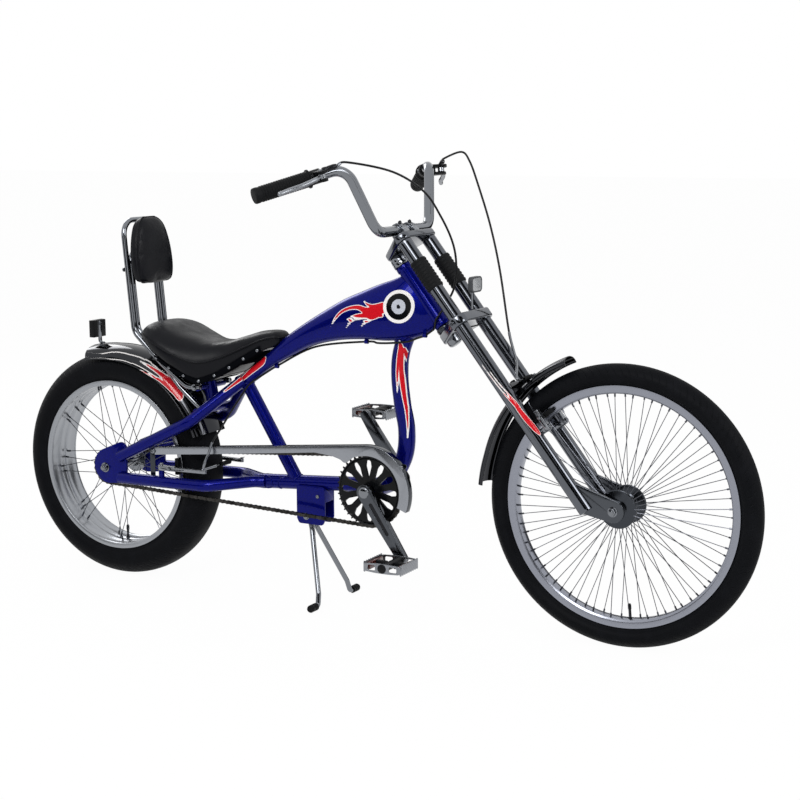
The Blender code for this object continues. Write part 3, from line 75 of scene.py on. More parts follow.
class Body(str, Enum):
    """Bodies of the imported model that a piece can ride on."""

    FRAME = "frame"
    FORK = "fork"
    FRONT_WHEEL = "front_wheel"
    REAR_WHEEL = "rear_wheel"
    CRANK = "crank"
    FREEWHEEL = "freewheel"
    STAND = "stand"


@dataclass
class Shape:
    """Points in millimetres and faces of a mesh that is being made."""

    points: np.ndarray
    faces: list[tuple[int, ...]]

    def __add__(self, other: Shape) -> Shape:
        """Both shapes in one mesh."""
        start = len(self.points)
        faces = self.faces + [tuple(start + i for i in face) for face in other.faces]
        return Shape(np.vstack([self.points, other.points]), faces)

    def placed(self, place: Callable[[np.ndarray], np.ndarray]) -> Shape:
        """The shape with each point sent through a function."""
        return Shape(np.array([place(p) for p in self.points]), self.faces)


def together(shapes: Iterable[Shape]) -> Shape:
    """Several shapes in one mesh.

    Args:
        shapes: The shapes, at least one.

    Returns:
        One shape with all their points and faces.
    """
    items = list(shapes)
    total = items[0]
    for item in items[1:]:
        total = total + item
    return total


def unit(v: np.ndarray) -> np.ndarray:
    """Vector of length one."""
    return v / np.linalg.norm(v)


def grid(rows: Points, around: bool = True, along: bool = False, caps: bool = True) -> Shape:
    """Joins rows of equal point count with four-sided faces.

    Args:
        rows: The rows of points.
        around: Whether each row closes on itself.
        along: Whether the last row joins the first.
        caps: Whether closed rows get a face at both ends.

    Returns:
        The joined shape.
    """
    count = len(rows[0])
    total = len(rows)
    faces: list[tuple[int, ...]] = []
    for i in range(total if along else total - 1):
        j = (i + 1) % total
        for k in range(count if around else count - 1):
            m = (k + 1) % count
            faces.append((i * count + k, i * count + m, j * count + m, j * count + k))
    if caps and around and not along:
        faces.append(tuple(range(count)))
        faces.append(tuple((total - 1) * count + k for k in reversed(range(count))))
    return Shape(np.vstack([np.asarray(row, float) for row in rows]), faces)


def frames(points: Points, closed: bool = False) -> list[tuple[np.ndarray, np.ndarray, np.ndarray]]:
    """Direction and two side vectors at each point of a path, without twist.

    Args:
        points: The path.
        closed: Whether the path is a loop.

    Returns:
        One triple of unit vectors for each point.
    """
    path = np.asarray(points, float)
    steps = np.roll(path, -1, 0) - path
    if not closed:
        steps[-1] = steps[-2]
    back = np.roll(steps, 1, 0)
    if not closed:
        back[0] = steps[0]
    tangents = [unit(unit(a) + unit(b)) for a, b in zip(steps, back)]
    guess = SIDE if abs(tangents[0] @ SIDE) < 0.9 else AHEAD
    carried = unit(guess - (guess @ tangents[0]) * tangents[0])
    out = []
    for t in tangents:
        carried = unit(carried - (carried @ t) * t)
        out.append((t, carried, np.cross(t, carried)))
    return out


def tube(points: Points, radius: float | Sequence[float], sides: int = 24, flat: float = 1.0,
         chamfer: float = 0.0, closed: bool = False) -> Shape:
    """Round bar along a path.

    Args:
        points: The path.
        radius: One radius, or one for each point.
        sides: Points around the bar.
        flat: Thickness in the second direction against the first.
        chamfer: Size of the rounding of both ends.
        closed: Whether the path is a loop.

    Returns:
        The closed shape.
    """
    path = [np.asarray(p, float) for p in points]
    radii = list(np.broadcast_to(radius, (len(path),)).astype(float))
    axes = frames(path, closed)
    turns = np.linspace(0.0, 2 * math.pi, sides, endpoint=False)
    rows = [[p + r * math.cos(w) * u + r * flat * math.sin(w) * v for w in turns]
            for p, r, (_, u, v) in zip(path, radii, axes)]
    if chamfer and not closed:
        for end, way in ((0, 1.0), (-1, -1.0)):
            p, r, t = path[end], radii[end], axes[end][0]
            ring = np.array(rows[end])
            small = p + (ring - p) * (r - chamfer) / r
            middle = p + (ring - p) * (r - 0.3 * chamfer) / r + way * 0.3 * chamfer * t
            outer = ring + way * chamfer * t
            if end == 0:
                rows[0:1] = [small, middle, outer]
            else:
                rows[-1:] = [outer, middle, small]
    return grid(rows, along=closed)


def rod(start: Any, stop: Any, radius: float, sides: int = 24, chamfer: float = 0.5) -> Shape:
    """Straight round bar with softened ends."""
    return tube([start, stop], radius, sides, chamfer=chamfer)


def crossbar(centre: Any, half: float, radius: float, sides: int = 24, chamfer: float = 0.5) -> Shape:
    """Straight bar through a centre, as far to the left as to the right."""
    middle = np.asarray(centre, float)
    return rod(middle - half * SIDE, middle + half * SIDE, radius, sides, chamfer)


def ribs(count: int, first: float, pitch: float, radii: tuple[float, float],
         widths: tuple[float, float]) -> list[tuple[float, float]]:
    """Profile of even moulded ribs.

    Args:
        count: Number of ribs.
        first: Offset of the first rib's middle.
        pitch: Distance from rib to rib.
        radii: Radius between the ribs and on them.
        widths: Half width of a rib at its foot and at its top.

    Returns:
        Points as radius and offset.
    """
    (low, high), (foot, top) = radii, widths
    return [(r, first + pitch * k + d) for k in range(count)
            for r, d in ((low, -foot), (high, -top), (high, top), (low, foot))]


def bent(points: Points, radius: float, steps: int = 9) -> list[np.ndarray]:
    """Turns each corner of a path by an arc.

    Args:
        points: The path.
        radius: Radius of the arcs, less where a leg is short.
        steps: Parts of each arc.

    Returns:
        The points of the path with its arcs.
    """
    path = [np.asarray(p, float) for p in points]
    out = [path[0]]
    for before, here, after in zip(path, path[1:], path[2:]):
        a, b = unit(before - here), unit(after - here)
        turn = math.acos(max(-1.0, min(1.0, float(a @ b))))
        if turn > math.pi - 0.02:
            out.append(here)
            continue
        room = 0.49 * min(np.linalg.norm(before - here), np.linalg.norm(after - here))
        reach = min(radius / math.tan(turn / 2), room)
        middle = here + unit(a + b) * reach * math.tan(turn / 2) / math.sin(turn / 2)
        start, stop = here + a * reach - middle, here + b * reach - middle
        angle = math.pi - turn
        for k in range(steps + 1):
            f = k / steps
            part = math.sin((1 - f) * angle) * start + math.sin(f * angle) * stop
            out.append(middle + part / math.sin(angle))
    out.append(path[-1])
    return out


def curve(points: Points, per: int = 8, closed: bool = False) -> list[np.ndarray]:
    """Smooth path through the points.

    Args:
        points: Points that the path goes through.
        per: Parts between two points.
        closed: Whether the path is a loop.

    Returns:
        The points of the smooth path.
    """
    path = [np.asarray(p, float) for p in points]
    if closed:
        path = [path[-1]] + path + path[:2]
    else:
        path = [2 * path[0] - path[1]] + path + [2 * path[-1] - path[-2]]
    out = []
    for a, b, c, d in zip(path, path[1:], path[2:], path[3:]):
        for k in range(per):
            t = k / per
            out.append(0.5 * (2 * b + (c - a) * t + (2 * a - 5 * b + 4 * c - d) * t ** 2
                              + (3 * b - a - 3 * c + d) * t ** 3))
    if not closed:
        out.append(path[-2])
    return out


def turned(profile: Points, centre: Any, axis: np.ndarray, segments: int = 64,
           hollow: bool = True) -> Shape:
    """Turns a profile about an axis.

    Args:
        profile: Points as radius and offset along the axis.
        centre: Point where the offset is zero.
        axis: Direction of the axis.
        segments: Parts of the full turn.
        hollow: Whether the profile is a closed outline; else it runs from axis to axis.

    Returns:
        The closed shape.
    """
    axis = unit(np.asarray(axis, float))
    guess = AHEAD if abs(axis @ AHEAD) < 0.9 else UP
    first = unit(guess - (guess @ axis) * axis)
    second = np.cross(axis, first)
    rows = []
    for i in range(segments):
        w = 2 * math.pi * i / segments
        out = math.cos(w) * first + math.sin(w) * second
        rows.append([np.asarray(centre, float) + r * out + d * axis for r, d in profile])
    return grid(rows, around=hollow, along=True)


def dome(centre: Any, axis: np.ndarray, radius: float, height: float, segments: int = 24) -> Shape:
    """Low round head with its flat side at the centre.

    Args:
        centre: Middle of the flat side.
        axis: Direction to the top.
        radius: Radius of the flat side.
        height: Height over it.
        segments: Faces around.

    Returns:
        The closed head.
    """
    steps = 6
    profile = [(0.0, -0.4), (radius, -0.4)]
    profile += [(radius * math.cos(0.5 * math.pi * k / steps), height * math.sin(0.5 * math.pi * k / steps))
                for k in range(steps + 1)]
    return turned(profile, centre, axis, segments, hollow=False)


def bolt(centre: Any, axis: np.ndarray, radius: float, height: float, socket: bool = True) -> Shape:
    """Cap screw head with a hexagonal recess, or a six-sided nut on its washer.

    Args:
        centre: Point where the head rests.
        axis: Direction that the head looks in.
        radius: Radius of the head.
        height: Height of the head.
        socket: Whether it is a cap screw; else it is a nut.

    Returns:
        The closed shape.
    """
    axis = unit(np.asarray(axis, float))
    if socket:
        hole = 0.5 * radius
        profile = [(0.0, -0.5), (radius, -0.5), (radius, 0.75 * height), (0.82 * radius, height),
                   (hole, height), (0.92 * hole, 0.35 * height), (0.0, 0.3 * height)]
        return turned(profile, centre, axis, 24, hollow=False)
    washer = turned([(0.0, -0.3), (1.25 * radius, -0.3), (1.25 * radius, 0.9), (0.0, 0.9)], centre, axis,
                    24, hollow=False)
    base = np.asarray(centre, float)
    return washer + tube([base + 0.7 * axis, base + height * axis], radius, 6, chamfer=0.12 * height)


def slab(outline: Points, low: float, high: float, place: Callable[..., np.ndarray]) -> Shape:
    """Prism of a flat outline; place turns (u, v, w) into a point."""
    return grid([[place(u, v, w) for u, v in outline] for w in (low, high)])


def beside(centre: Any) -> Callable[[float, float, float], np.ndarray]:
    """Puts an outline in the plane of the wheels around a centre, with its depth to the side."""
    return lambda u, v, w: np.asarray(centre, float) + np.array([u, w, v])


flat_place = beside((0.0, 0.0, 0.0))


def plate(outline: Points, side: int, near: float, far: float,
          place: Callable[[float, float, float], np.ndarray] = flat_place) -> Shape:
    """Prism on one side of the middle plane, between two distances from it."""
    return slab(outline, *sorted((side * near, side * far)), place)


def squared(value: float, power: float) -> float:
    """Power that keeps the sign, which turns a round section into a squarer one."""
    return math.copysign(abs(value) ** power, value)


def mirrored(half: Points) -> list[np.ndarray]:
    """Path on one side of the bicycle, followed by its image on the other side run backwards."""
    path = [np.asarray(p, float) for p in half]
    return path + [p * MIRROR for p in reversed(path)]


def block(centre: Any, size: Sequence[float]) -> Shape:
    """Solid with its sides along the world's axes; its edges get a bevel later."""
    x, y, z = (0.5 * s for s in size)
    corners = [(-x, -y), (x, -y), (x, y), (-x, y)]
    return slab(corners, -z, z, lambda u, v, w: np.asarray(centre, float) + np.array([u, v, w]))


def around(circles: Sequence[tuple[float, float, float]], steps: int = 40) -> list[tuple[float, float]]:
    """Tight convex outline around circles given as (u, v, radius).

    Args:
        circles: Centre and radius of each circle.
        steps: Points on each circle.

    Returns:
        The outline's points in order.
    """
    pts = sorted({(round(u + r * math.cos(2 * math.pi * k / steps), 4),
                   round(v + r * math.sin(2 * math.pi * k / steps), 4))
                  for u, v, r in circles for k in range(steps)})
    halves = []
    for order in (pts, pts[::-1]):
        hull: list[tuple[float, float]] = []
        for p in order:
            while len(hull) > 1:
                (ax, ay), (bx, by) = hull[-2], hull[-1]
                if (bx - ax) * (p[1] - ay) - (by - ay) * (p[0] - ax) > 1e-6:
                    break
                hull.pop()
            hull.append(p)
        halves.append(hull[:-1])
    return halves[0] + halves[1]


def block_between(low: np.ndarray, high: np.ndarray, u: np.ndarray, v: np.ndarray) -> Shape:
    """Block between two opposite corners, its sides along u, v and their cross product.

    Args:
        low: One corner.
        high: The opposite corner.
        u: Direction of one side.
        v: Direction of another side.

    Returns:
        The block.
    """
    turn = np.stack([unit(u), unit(v), unit(np.cross(u, v))])
    a, b = turn @ low, turn @ high
    corners = [(a[0], a[1]), (b[0], a[1]), (b[0], b[1]), (a[0], b[1])]
    return slab(corners, a[2], b[2], lambda x, y, z: turn.T @ np.array([x, y, z]))


def softened(outline: Points, radius: float, steps: int = 5) -> list[tuple[float, float]]:
    """Closed flat outline with its corners turned by arcs."""
    flat = [np.array([u, v, 0.0]) for u, v in outline]
    loop = [0.5 * (flat[-1] + flat[0])] + flat + [0.5 * (flat[-1] + flat[0])]
    return [(p[0], p[1]) for p in bent(loop, radius, steps)[:-1]]


def to_mesh(shape: Shape, name: str) -> bpy.types.Mesh:
    """Blender mesh in metres, its doubles merged and its faces turned outward.

    Args:
        shape: The shape in millimetres.
        name: Name of the mesh.

    Returns:
        The mesh.
    """
    mesh = bpy.data.meshes.new(name)
    mesh.from_pydata([tuple(p) for p in np.asarray(shape.points) * MM], [], shape.faces)
    work = bmesh.new()
    work.from_mesh(mesh)
    bmesh.ops.remove_doubles(work, verts=work.verts, dist=0.000004)
    bmesh.ops.dissolve_degenerate(work, dist=0.000002, edges=work.edges)
    bmesh.ops.recalc_face_normals(work, faces=work.faces)
    work.to_mesh(mesh)
    work.free()
    return mesh


def linked(name: str, data: Any) -> Item:
    """New object of a mesh, lamp or camera, linked to the scene."""
    item = bpy.data.objects.new(name, data)
    bpy.context.collection.objects.link(item)
    return item


def loose_object(shape: Shape, name: str) -> Item:
    """Linked object of a shape, for modifiers."""
    return linked(name, to_mesh(shape, name))


def drop(item: Item) -> None:
    """Removes an object and its mesh."""
    data = item.data
    bpy.data.objects.remove(item)
    bpy.data.meshes.remove(data)


def bake(item: Item) -> None:
    """Turns an object's live modifiers into its plain mesh.

    Args:
        item: The object, whose modifiers are then gone.
    """
    bpy.context.view_layer.update()
    graph = bpy.context.evaluated_depsgraph_get()
    mesh = bpy.data.meshes.new_from_object(item.evaluated_get(graph))
    old = item.data
    item.modifiers.clear()
    item.data = mesh
    bpy.data.meshes.remove(old)


def carved(base: Shape, add: Sequence[Shape] = (), cut: Sequence[Shape] = ()) -> Shape:
    """Adds solids to a solid and cuts others from it.

    Args:
        base: The solid to start from.
        add: Solids that join it.
        cut: Solids that are taken from it.

    Returns:
        The resulting shape.
    """
    stock = loose_object(base, "stock")
    tools = []
    for operation, shapes in (("UNION", add), ("DIFFERENCE", cut)):
        for shape in shapes:
            tool = loose_object(shape, "tool")
            tools.append(tool)
            step = stock.modifiers.new("step", "BOOLEAN")
            step.operation = operation
            step.solver = "EXACT"
            step.object = tool
    bake(stock)
    points = np.array([v.co[:] for v in stock.data.vertices]) / MM
    faces = [tuple(p.vertices) for p in stock.data.polygons]
    for item in tools + [stock]:
        drop(item)
    return Shape(points, faces)


def piece(name: str, shape: Shape, finish: Finish, body: str, replaces: Sequence[str] = (),
          bevel: float = 0.0, levels: int = 0, sharp: float = 40.0, paint: Paint | None = None,
          bevel_angle: float = 40.0) -> Item:
    """Makes one finished piece that rides on its body.

    Args:
        name: Name of the piece.
        shape: Its shape in millimetres.
        finish: The finish of its surface.
        body: Body that carries it.
        replaces: CAD nodes that it stands for.
        bevel: Width of the rounding of its edges.
        levels: Subdivisions of its surface.
        sharp: Angle in degrees from which an edge stays sharp.
        paint: Gives float attributes from the points in millimetres.
        bevel_angle: Angle in degrees from which an edge is rounded.

    Returns:
        The object.
    """
    item = loose_object(shape, name)
    if bevel:
        soft = item.modifiers.new("edges", "BEVEL")
        soft.width = bevel * MM
        soft.segments = 3
        soft.limit_method = "ANGLE"
        soft.angle_limit = math.radians(bevel_angle)
        soft.use_clamp_overlap = True
        bake(item)
    if levels:
        smooth = item.modifiers.new("smooth", "SUBSURF")
        smooth.levels = smooth.render_levels = levels
        bake(item)
    return settle(item, finish, body, replaces, sharp, paint)


def settle(item: Item, finish: Finish, body: str, replaces: Sequence[str] = (),
           sharp: float = 40.0, paint: Paint | None = None) -> Item:
    """Gives a made object its finish, shading, attributes and body.

    Args:
        item: The object.
        finish: The finish of its surface.
        body: Body that carries it, or nothing where it rides on no body.
        replaces: CAD nodes that it stands for.
        sharp: Angle in degrees from which an edge stays sharp.
        paint: Gives float attributes from the points in millimetres.

    Returns:
        The same object.
    """
    mesh = item.data
    mesh.materials.clear()
    mesh.materials.append(finish.material())
    mesh.shade_smooth()
    mesh.set_sharp_from_angle(angle=math.radians(sharp))
    if paint:
        points = np.array([v.co[:] for v in mesh.vertices]) / MM
        for key, values in paint(points).items():
            mesh.attributes.new(key, "FLOAT", "POINT").data.foreach_set("value", values)
    if body:
        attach(item, str(getattr(body, "value", body)))
    if replaces:
        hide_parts(*replaces)
    return item


def feed(tree: Tree, node: bpy.types.Node, values: dict[Any, Any]) -> None:
    """Gives a node's inputs their values and links.

    Args:
        tree: The node tree.
        node: The node.
        values: Values, sockets, or nodes whose first output is meant, by input name or index.
    """
    for key, value in values.items():
        if isinstance(value, bpy.types.Node):
            value = value.outputs[0]
        if isinstance(value, Socket):
            tree.links.new(value, node.inputs[key])
        else:
            node.inputs[key].default_value = value


def add(tree: Tree, kind: str, values: dict[Any, Any] | None = None,
        **settings: Any) -> bpy.types.Node:
    """Adds a node with its settings, values and links.

    Args:
        tree: The node tree.
        kind: Blender's name of the node type.
        values: What its inputs get, as feed takes it.
        settings: Properties of the node.

    Returns:
        The new node.
    """
    node = tree.nodes.new(kind)
    for key, value in settings.items():
        setattr(node, key, value)
    feed(tree, node, values or {})
    return node


def per(size: float) -> float:
    """Scale of a pattern whose cells are this many millimetres wide."""
    return 1.0 / (size * MM)


def linear(code: str) -> tuple[float, float, float, float]:
    """Linear colour of an sRGB hex value.

    Args:
        code: Colour such as #A0B0C0.

    Returns:
        Red, green, blue and an alpha of one.
    """
    out = []
    for i in (1, 3, 5):
        c = int(code[i:i + 2], 16) / 255.0
        out.append(c / 12.92 if c <= 0.04045 else ((c + 0.055) / 1.055) ** 2.4)
    return out[0], out[1], out[2], 1.0


def new_material(title: str) -> tuple[bpy.types.Material, Tree, bpy.types.Node]:
    """Fresh material with its node tree and its Principled shader."""
    made = bpy.data.materials.new(title)
    made.use_nodes = True
    return made, made.node_tree, made.node_tree.nodes["Principled BSDF"]


@dataclass(frozen=True)
class Finish:
    """Finish of a surface, from the real material and how it was worked."""

    title: str
    slot: str
    colour: str
    roughness: float
    metallic: float = 0.0
    gloss: float = 0.5

    def material(self) -> bpy.types.Material:
        """Makes the material, or finds the one made before.

        Returns:
            The material of this finish.
        """
        found = bpy.data.materials.get(self.title)
        if found:
            return found
        made, tree, shader = new_material(self.title)
        made.diffuse_color = linear(self.colour)
        feed(tree, shader, {"Base Color": linear(self.colour), "Roughness": self.roughness,
                            "Metallic": self.metallic, "Specular IOR Level": self.gloss})
        feed(tree, shader, self.surface(tree, add(tree, "ShaderNodeTexCoord").outputs["Object"]))
        return made

    def surface(self, tree: Tree, place: Socket) -> dict[str, Any]:
        """Adds the nodes of what varies over the surface; none where the finish is plain.

        Args:
            tree: The material's node tree.
            place: The point in object coordinates.

        Returns:
            What the shader's inputs get, as feed takes it.
        """
        return {}


@dataclass(frozen=True)
class Decorated(Finish):
    """Painted or plated metal that can carry masked flames, a disc and pinstripes.

    The artwork's attributes hold 100 less the distance to its edge in millimetres, so a
    mesh without them, where they read as nought, stays plain.
    """

    fill: str = "#C21420"
    border: str = "#E9E6E4"
    border_width: float = 3.2
    flake: float = 0.0
    glint: str = "#1C2CB8"
    disc: tuple[float, float, float, float] = (36.5, 29.0, 16.5, 5.0)
    blur: float = 0.25

    def ground(self, tree: Tree, place: Socket) -> Socket:
        """Colour under the artwork, with the fine flake of a candy paint or the haze of chrome.

        Args:
            tree: The material's node tree.
            place: The point in object coordinates.

        Returns:
            The colour.
        """
        if self.flake:
            cells = add(tree, "ShaderNodeTexVoronoi", {"Vector": place, "Scale": per(self.flake)})
            amount = add(tree, "ShaderNodeMapRange", {
                "Value": cells.outputs["Color"], "From Min": 0.45, "From Max": 1.0, "To Max": 0.3})
        else:
            haze = add(tree, "ShaderNodeTexNoise", {"Vector": place, "Scale": per(60), "Detail": 3.0})
            amount = add(tree, "ShaderNodeMapRange", {"Value": haze, "To Max": 0.35})
        return add(tree, "ShaderNodeMix", {0: amount, 6: linear(self.colour), 7: linear(self.glint)},
                   data_type="RGBA").outputs[2]

    def surface(self, tree: Tree, place: Socket) -> dict[str, Any]:
        """Lays the artwork over the ground and gives the surface its gloss.

        Args:
            tree: The material's node tree.
            place: The point in object coordinates.

        Returns:
            What the shader's inputs get, as feed takes it.
        """
        shade = self.ground(tree, place)
        flame, badge, stripe = (add(tree, "ShaderNodeAttribute", attribute_name=name).outputs["Fac"]
                                for name in ("licks", "badge", "stripe"))
        past = add(tree, "ShaderNodeMath", {0: stripe, 1: 100.0}, operation="SUBTRACT")
        away = add(tree, "ShaderNodeMath", {0: past}, operation="ABSOLUTE")
        line = add(tree, "ShaderNodeMath", {0: 100.0, 1: away}, operation="SUBTRACT")
        outer, dark, heart, boss = self.disc
        layers = [(flame, self.border_width, self.border), (flame, 0.0, self.fill), (line, 1.0, self.border),
                  (badge, outer, self.border), (badge, dark, "#08090C"), (badge, heart, "#B4B8C2"),
                  (badge, boss, "#15161A")]
        cover = None
        for value, beyond, code in layers:
            mask = add(tree, "ShaderNodeMapRange", {
                "Value": value, "From Min": 100 - beyond - self.blur, "From Max": 100 - beyond + self.blur})
            shade = add(tree, "ShaderNodeMix", {0: mask, 6: shade, 7: linear(code)}, data_type="RGBA").outputs[2]
            if code == self.border:
                cover = mask if cover is None else add(
                    tree, "ShaderNodeMath", {0: cover, 1: mask}, operation="MAXIMUM")
        metal = add(tree, "ShaderNodeMapRange", {"Value": cover, "To Min": self.metallic, "To Max": 0.0})
        peel = add(tree, "ShaderNodeTexNoise", {"Vector": place, "Scale": per(9), "Detail": 2.0})
        rough = add(tree, "ShaderNodeMapRange", {
            "Value": peel, "To Min": 0.7 * self.roughness, "To Max": 1.3 * self.roughness})
        found = {"Base Color": shade, "Metallic": metal, "Roughness": rough}
        if self.flake:
            bump = add(tree, "ShaderNodeBump", {"Height": peel, "Strength": 0.05, "Distance": 1.0 * MM})
            found.update({"Coat Weight": 0.18, "Coat Roughness": 0.03, "Coat Normal": bump})
        return found


@dataclass(frozen=True)
class Metal(Finish):
    """Plated, cast or polished metal whose grain shows in its roughness and relief."""

    grain: float = 0.8
    relief: float = 0.02
    spread: float = 0.35
    grime: str = ""

    def surface(self, tree: Tree, place: Socket) -> dict[str, Any]:
        """Adds the grain, the uneven polish and the grime of use.

        Args:
            tree: The material's node tree.
            place: The point in object coordinates.

        Returns:
            What the shader's inputs get, as feed takes it.
        """
        cloud = add(tree, "ShaderNodeTexNoise", {"Vector": place, "Scale": per(25), "Detail": 4.0})
        found: dict[str, Any] = {"Roughness": add(tree, "ShaderNodeMapRange", {
            "Value": cloud, "From Min": 0.3, "From Max": 0.7, "To Min": self.roughness * (1 - self.spread),
            "To Max": self.roughness * (1 + self.spread)})}
        if self.grime:
            worn = add(tree, "ShaderNodeMapRange", {"Value": cloud, "From Min": 0.45, "From Max": 0.75})
            found["Base Color"] = add(tree, "ShaderNodeMix", {
                0: worn, 6: linear(self.colour), 7: linear(self.grime)}, data_type="RGBA").outputs[2]
        grain = add(tree, "ShaderNodeTexNoise", {"Vector": place, "Scale": per(self.grain), "Detail": 2.0})
        found["Normal"] = add(tree, "ShaderNodeBump", {
            "Height": grain, "Strength": self.relief, "Distance": 0.5 * MM})
        return found


@dataclass(frozen=True)
class Wheeled(Finish):
    """Finish whose pattern runs round a wheel's axle."""

    axle: tuple[float, float] = (0.0, 0.277)

    def about_axle(self, tree: Tree,
                   place: Socket) -> tuple[Sequence[Socket], Socket]:
        """The three parts of a place as seen from the axle, and its distance from the axle.

        Args:
            tree: The material's node tree.
            place: The point in object coordinates.

        Returns:
            The parts along X, Y and Z, and the distance.
        """
        moved = add(tree, "ShaderNodeVectorMath", {0: place, 1: (self.axle[0], 0.0, self.axle[1])},
                    operation="SUBTRACT")
        parts = add(tree, "ShaderNodeSeparateXYZ", {0: moved}).outputs
        flat = add(tree, "ShaderNodeCombineXYZ", {0: parts[0], 2: parts[2]})
        return parts, add(tree, "ShaderNodeVectorMath", {0: flat}, operation="LENGTH").outputs["Value"]


@dataclass(frozen=True)
class Spun(Wheeled):
    """Aluminium turned on a lathe or rolled as a hoop, with its fine lines round the axle."""

    pitch: float = 1.2

    def surface(self, tree: Tree, place: Socket) -> dict[str, Any]:
        """Draws the turning lines, which follow the distance from the axle.

        Args:
            tree: The material's node tree.
            place: The point in object coordinates.

        Returns:
            What the shader's inputs get, as feed takes it.
        """
        parts, reach = self.about_axle(tree, place)
        rings = add(tree, "ShaderNodeCombineXYZ", {0: reach, 1: parts[1]})
        lines = add(tree, "ShaderNodeTexNoise", {"Vector": rings, "Scale": per(self.pitch), "Detail": 2.0})
        rough = add(tree, "ShaderNodeMapRange", {
            "Value": lines, "To Min": 0.75 * self.roughness, "To Max": 1.3 * self.roughness})
        bump = add(tree, "ShaderNodeBump", {"Height": lines, "Strength": 0.08, "Distance": 0.5 * MM})
        return {"Roughness": rough, "Normal": bump}


@dataclass(frozen=True)
class Tyre(Wheeled):
    """Vulcanised rubber: a fine skin, moulded shoulder blocks and road dust."""

    grooves: int = 90
    shoulder: tuple[float, float] = (0.022, 0.050)
    least: float = 0.25
    skew: float = 16.0

    def surface(self, tree: Tree, place: Socket) -> dict[str, Any]:
        """Cuts slanted grooves in both shoulders by relief, and lays the rubber's skin.

        Args:
            tree: The material's node tree.
            place: The point in object coordinates.

        Returns:
            What the shader's inputs get, as feed takes it.
        """
        parts, reach = self.about_axle(tree, place)
        angle = add(tree, "ShaderNodeMath", {0: parts[2], 1: parts[0]}, operation="ARCTAN2")
        across = add(tree, "ShaderNodeMath", {0: parts[1]}, operation="ABSOLUTE")
        turns = add(tree, "ShaderNodeMath", {0: angle, 1: self.grooves / (2 * math.pi)}, operation="MULTIPLY")
        slant = add(tree, "ShaderNodeMath", {0: across, 1: self.skew / 0.3, 2: turns}, operation="MULTIPLY_ADD")
        saw = add(tree, "ShaderNodeMath", {0: slant, 1: 0.5}, operation="PINGPONG")
        cut = add(tree, "ShaderNodeMapRange", {"Value": saw, "From Min": 0.05, "From Max": 0.12})
        low, high = self.shoulder
        inside = add(tree, "ShaderNodeMapRange", {"Value": across, "From Min": low, "From Max": low + 1.0 * MM})
        beyond = add(tree, "ShaderNodeMapRange", {
            "Value": across, "From Min": high, "From Max": high + 1.0 * MM, "To Min": 1.0, "To Max": 0.0})
        band = add(tree, "ShaderNodeMath", {0: inside, 1: beyond}, operation="MULTIPLY")
        tread = add(tree, "ShaderNodeMath", {0: reach, 1: self.least}, operation="GREATER_THAN")
        mask = add(tree, "ShaderNodeMath", {0: band, 1: tread}, operation="MULTIPLY")
        height = add(tree, "ShaderNodeMix", {0: mask, 2: 1.0, 3: cut}, data_type="FLOAT")
        skin = add(tree, "ShaderNodeTexNoise", {"Vector": place, "Scale": per(1.2), "Detail": 3.0})
        fine = add(tree, "ShaderNodeBump", {"Height": skin, "Strength": 0.12, "Distance": 0.4 * MM})
        deep = add(tree, "ShaderNodeBump", {
            "Height": height, "Strength": 0.7, "Distance": 1.6 * MM, "Normal": fine})
        dust = add(tree, "ShaderNodeTexNoise", {"Vector": place, "Scale": per(30), "Detail": 5.0})
        amount = add(tree, "ShaderNodeMapRange", {
            "Value": dust, "From Min": 0.45, "From Max": 0.8, "To Max": 0.5})
        mix = add(tree, "ShaderNodeMix", {0: amount, 6: linear(self.colour), 7: linear("#15161A")},
                  data_type="RGBA")
        rough = add(tree, "ShaderNodeMapRange", {
            "Value": dust, "To Min": self.roughness - 0.1, "To Max": self.roughness + 0.2})
        return {"Normal": deep, "Base Color": mix.outputs[2], "Roughness": rough}


@dataclass(frozen=True)
class Moulded(Finish):
    """Moulded rubber or plastic with the fine grain of its mould."""

    grain: float = 0.7
    relief: float = 0.15

    def surface(self, tree: Tree, place: Socket) -> dict[str, Any]:
        """Adds the mould's grain and an uneven sheen from handling.

        Args:
            tree: The material's node tree.
            place: The point in object coordinates.

        Returns:
            What the shader's inputs get, as feed takes it.
        """
        grain = add(tree, "ShaderNodeTexNoise", {"Vector": place, "Scale": per(self.grain), "Detail": 2.0})
        bump = add(tree, "ShaderNodeBump", {"Height": grain, "Strength": self.relief, "Distance": 0.4 * MM})
        worn = add(tree, "ShaderNodeTexNoise", {"Vector": place, "Scale": per(20), "Detail": 3.0})
        rough = add(tree, "ShaderNodeMapRange", {
            "Value": worn, "To Min": 0.8 * self.roughness, "To Max": 1.2 * self.roughness})
        return {"Normal": bump, "Roughness": rough}


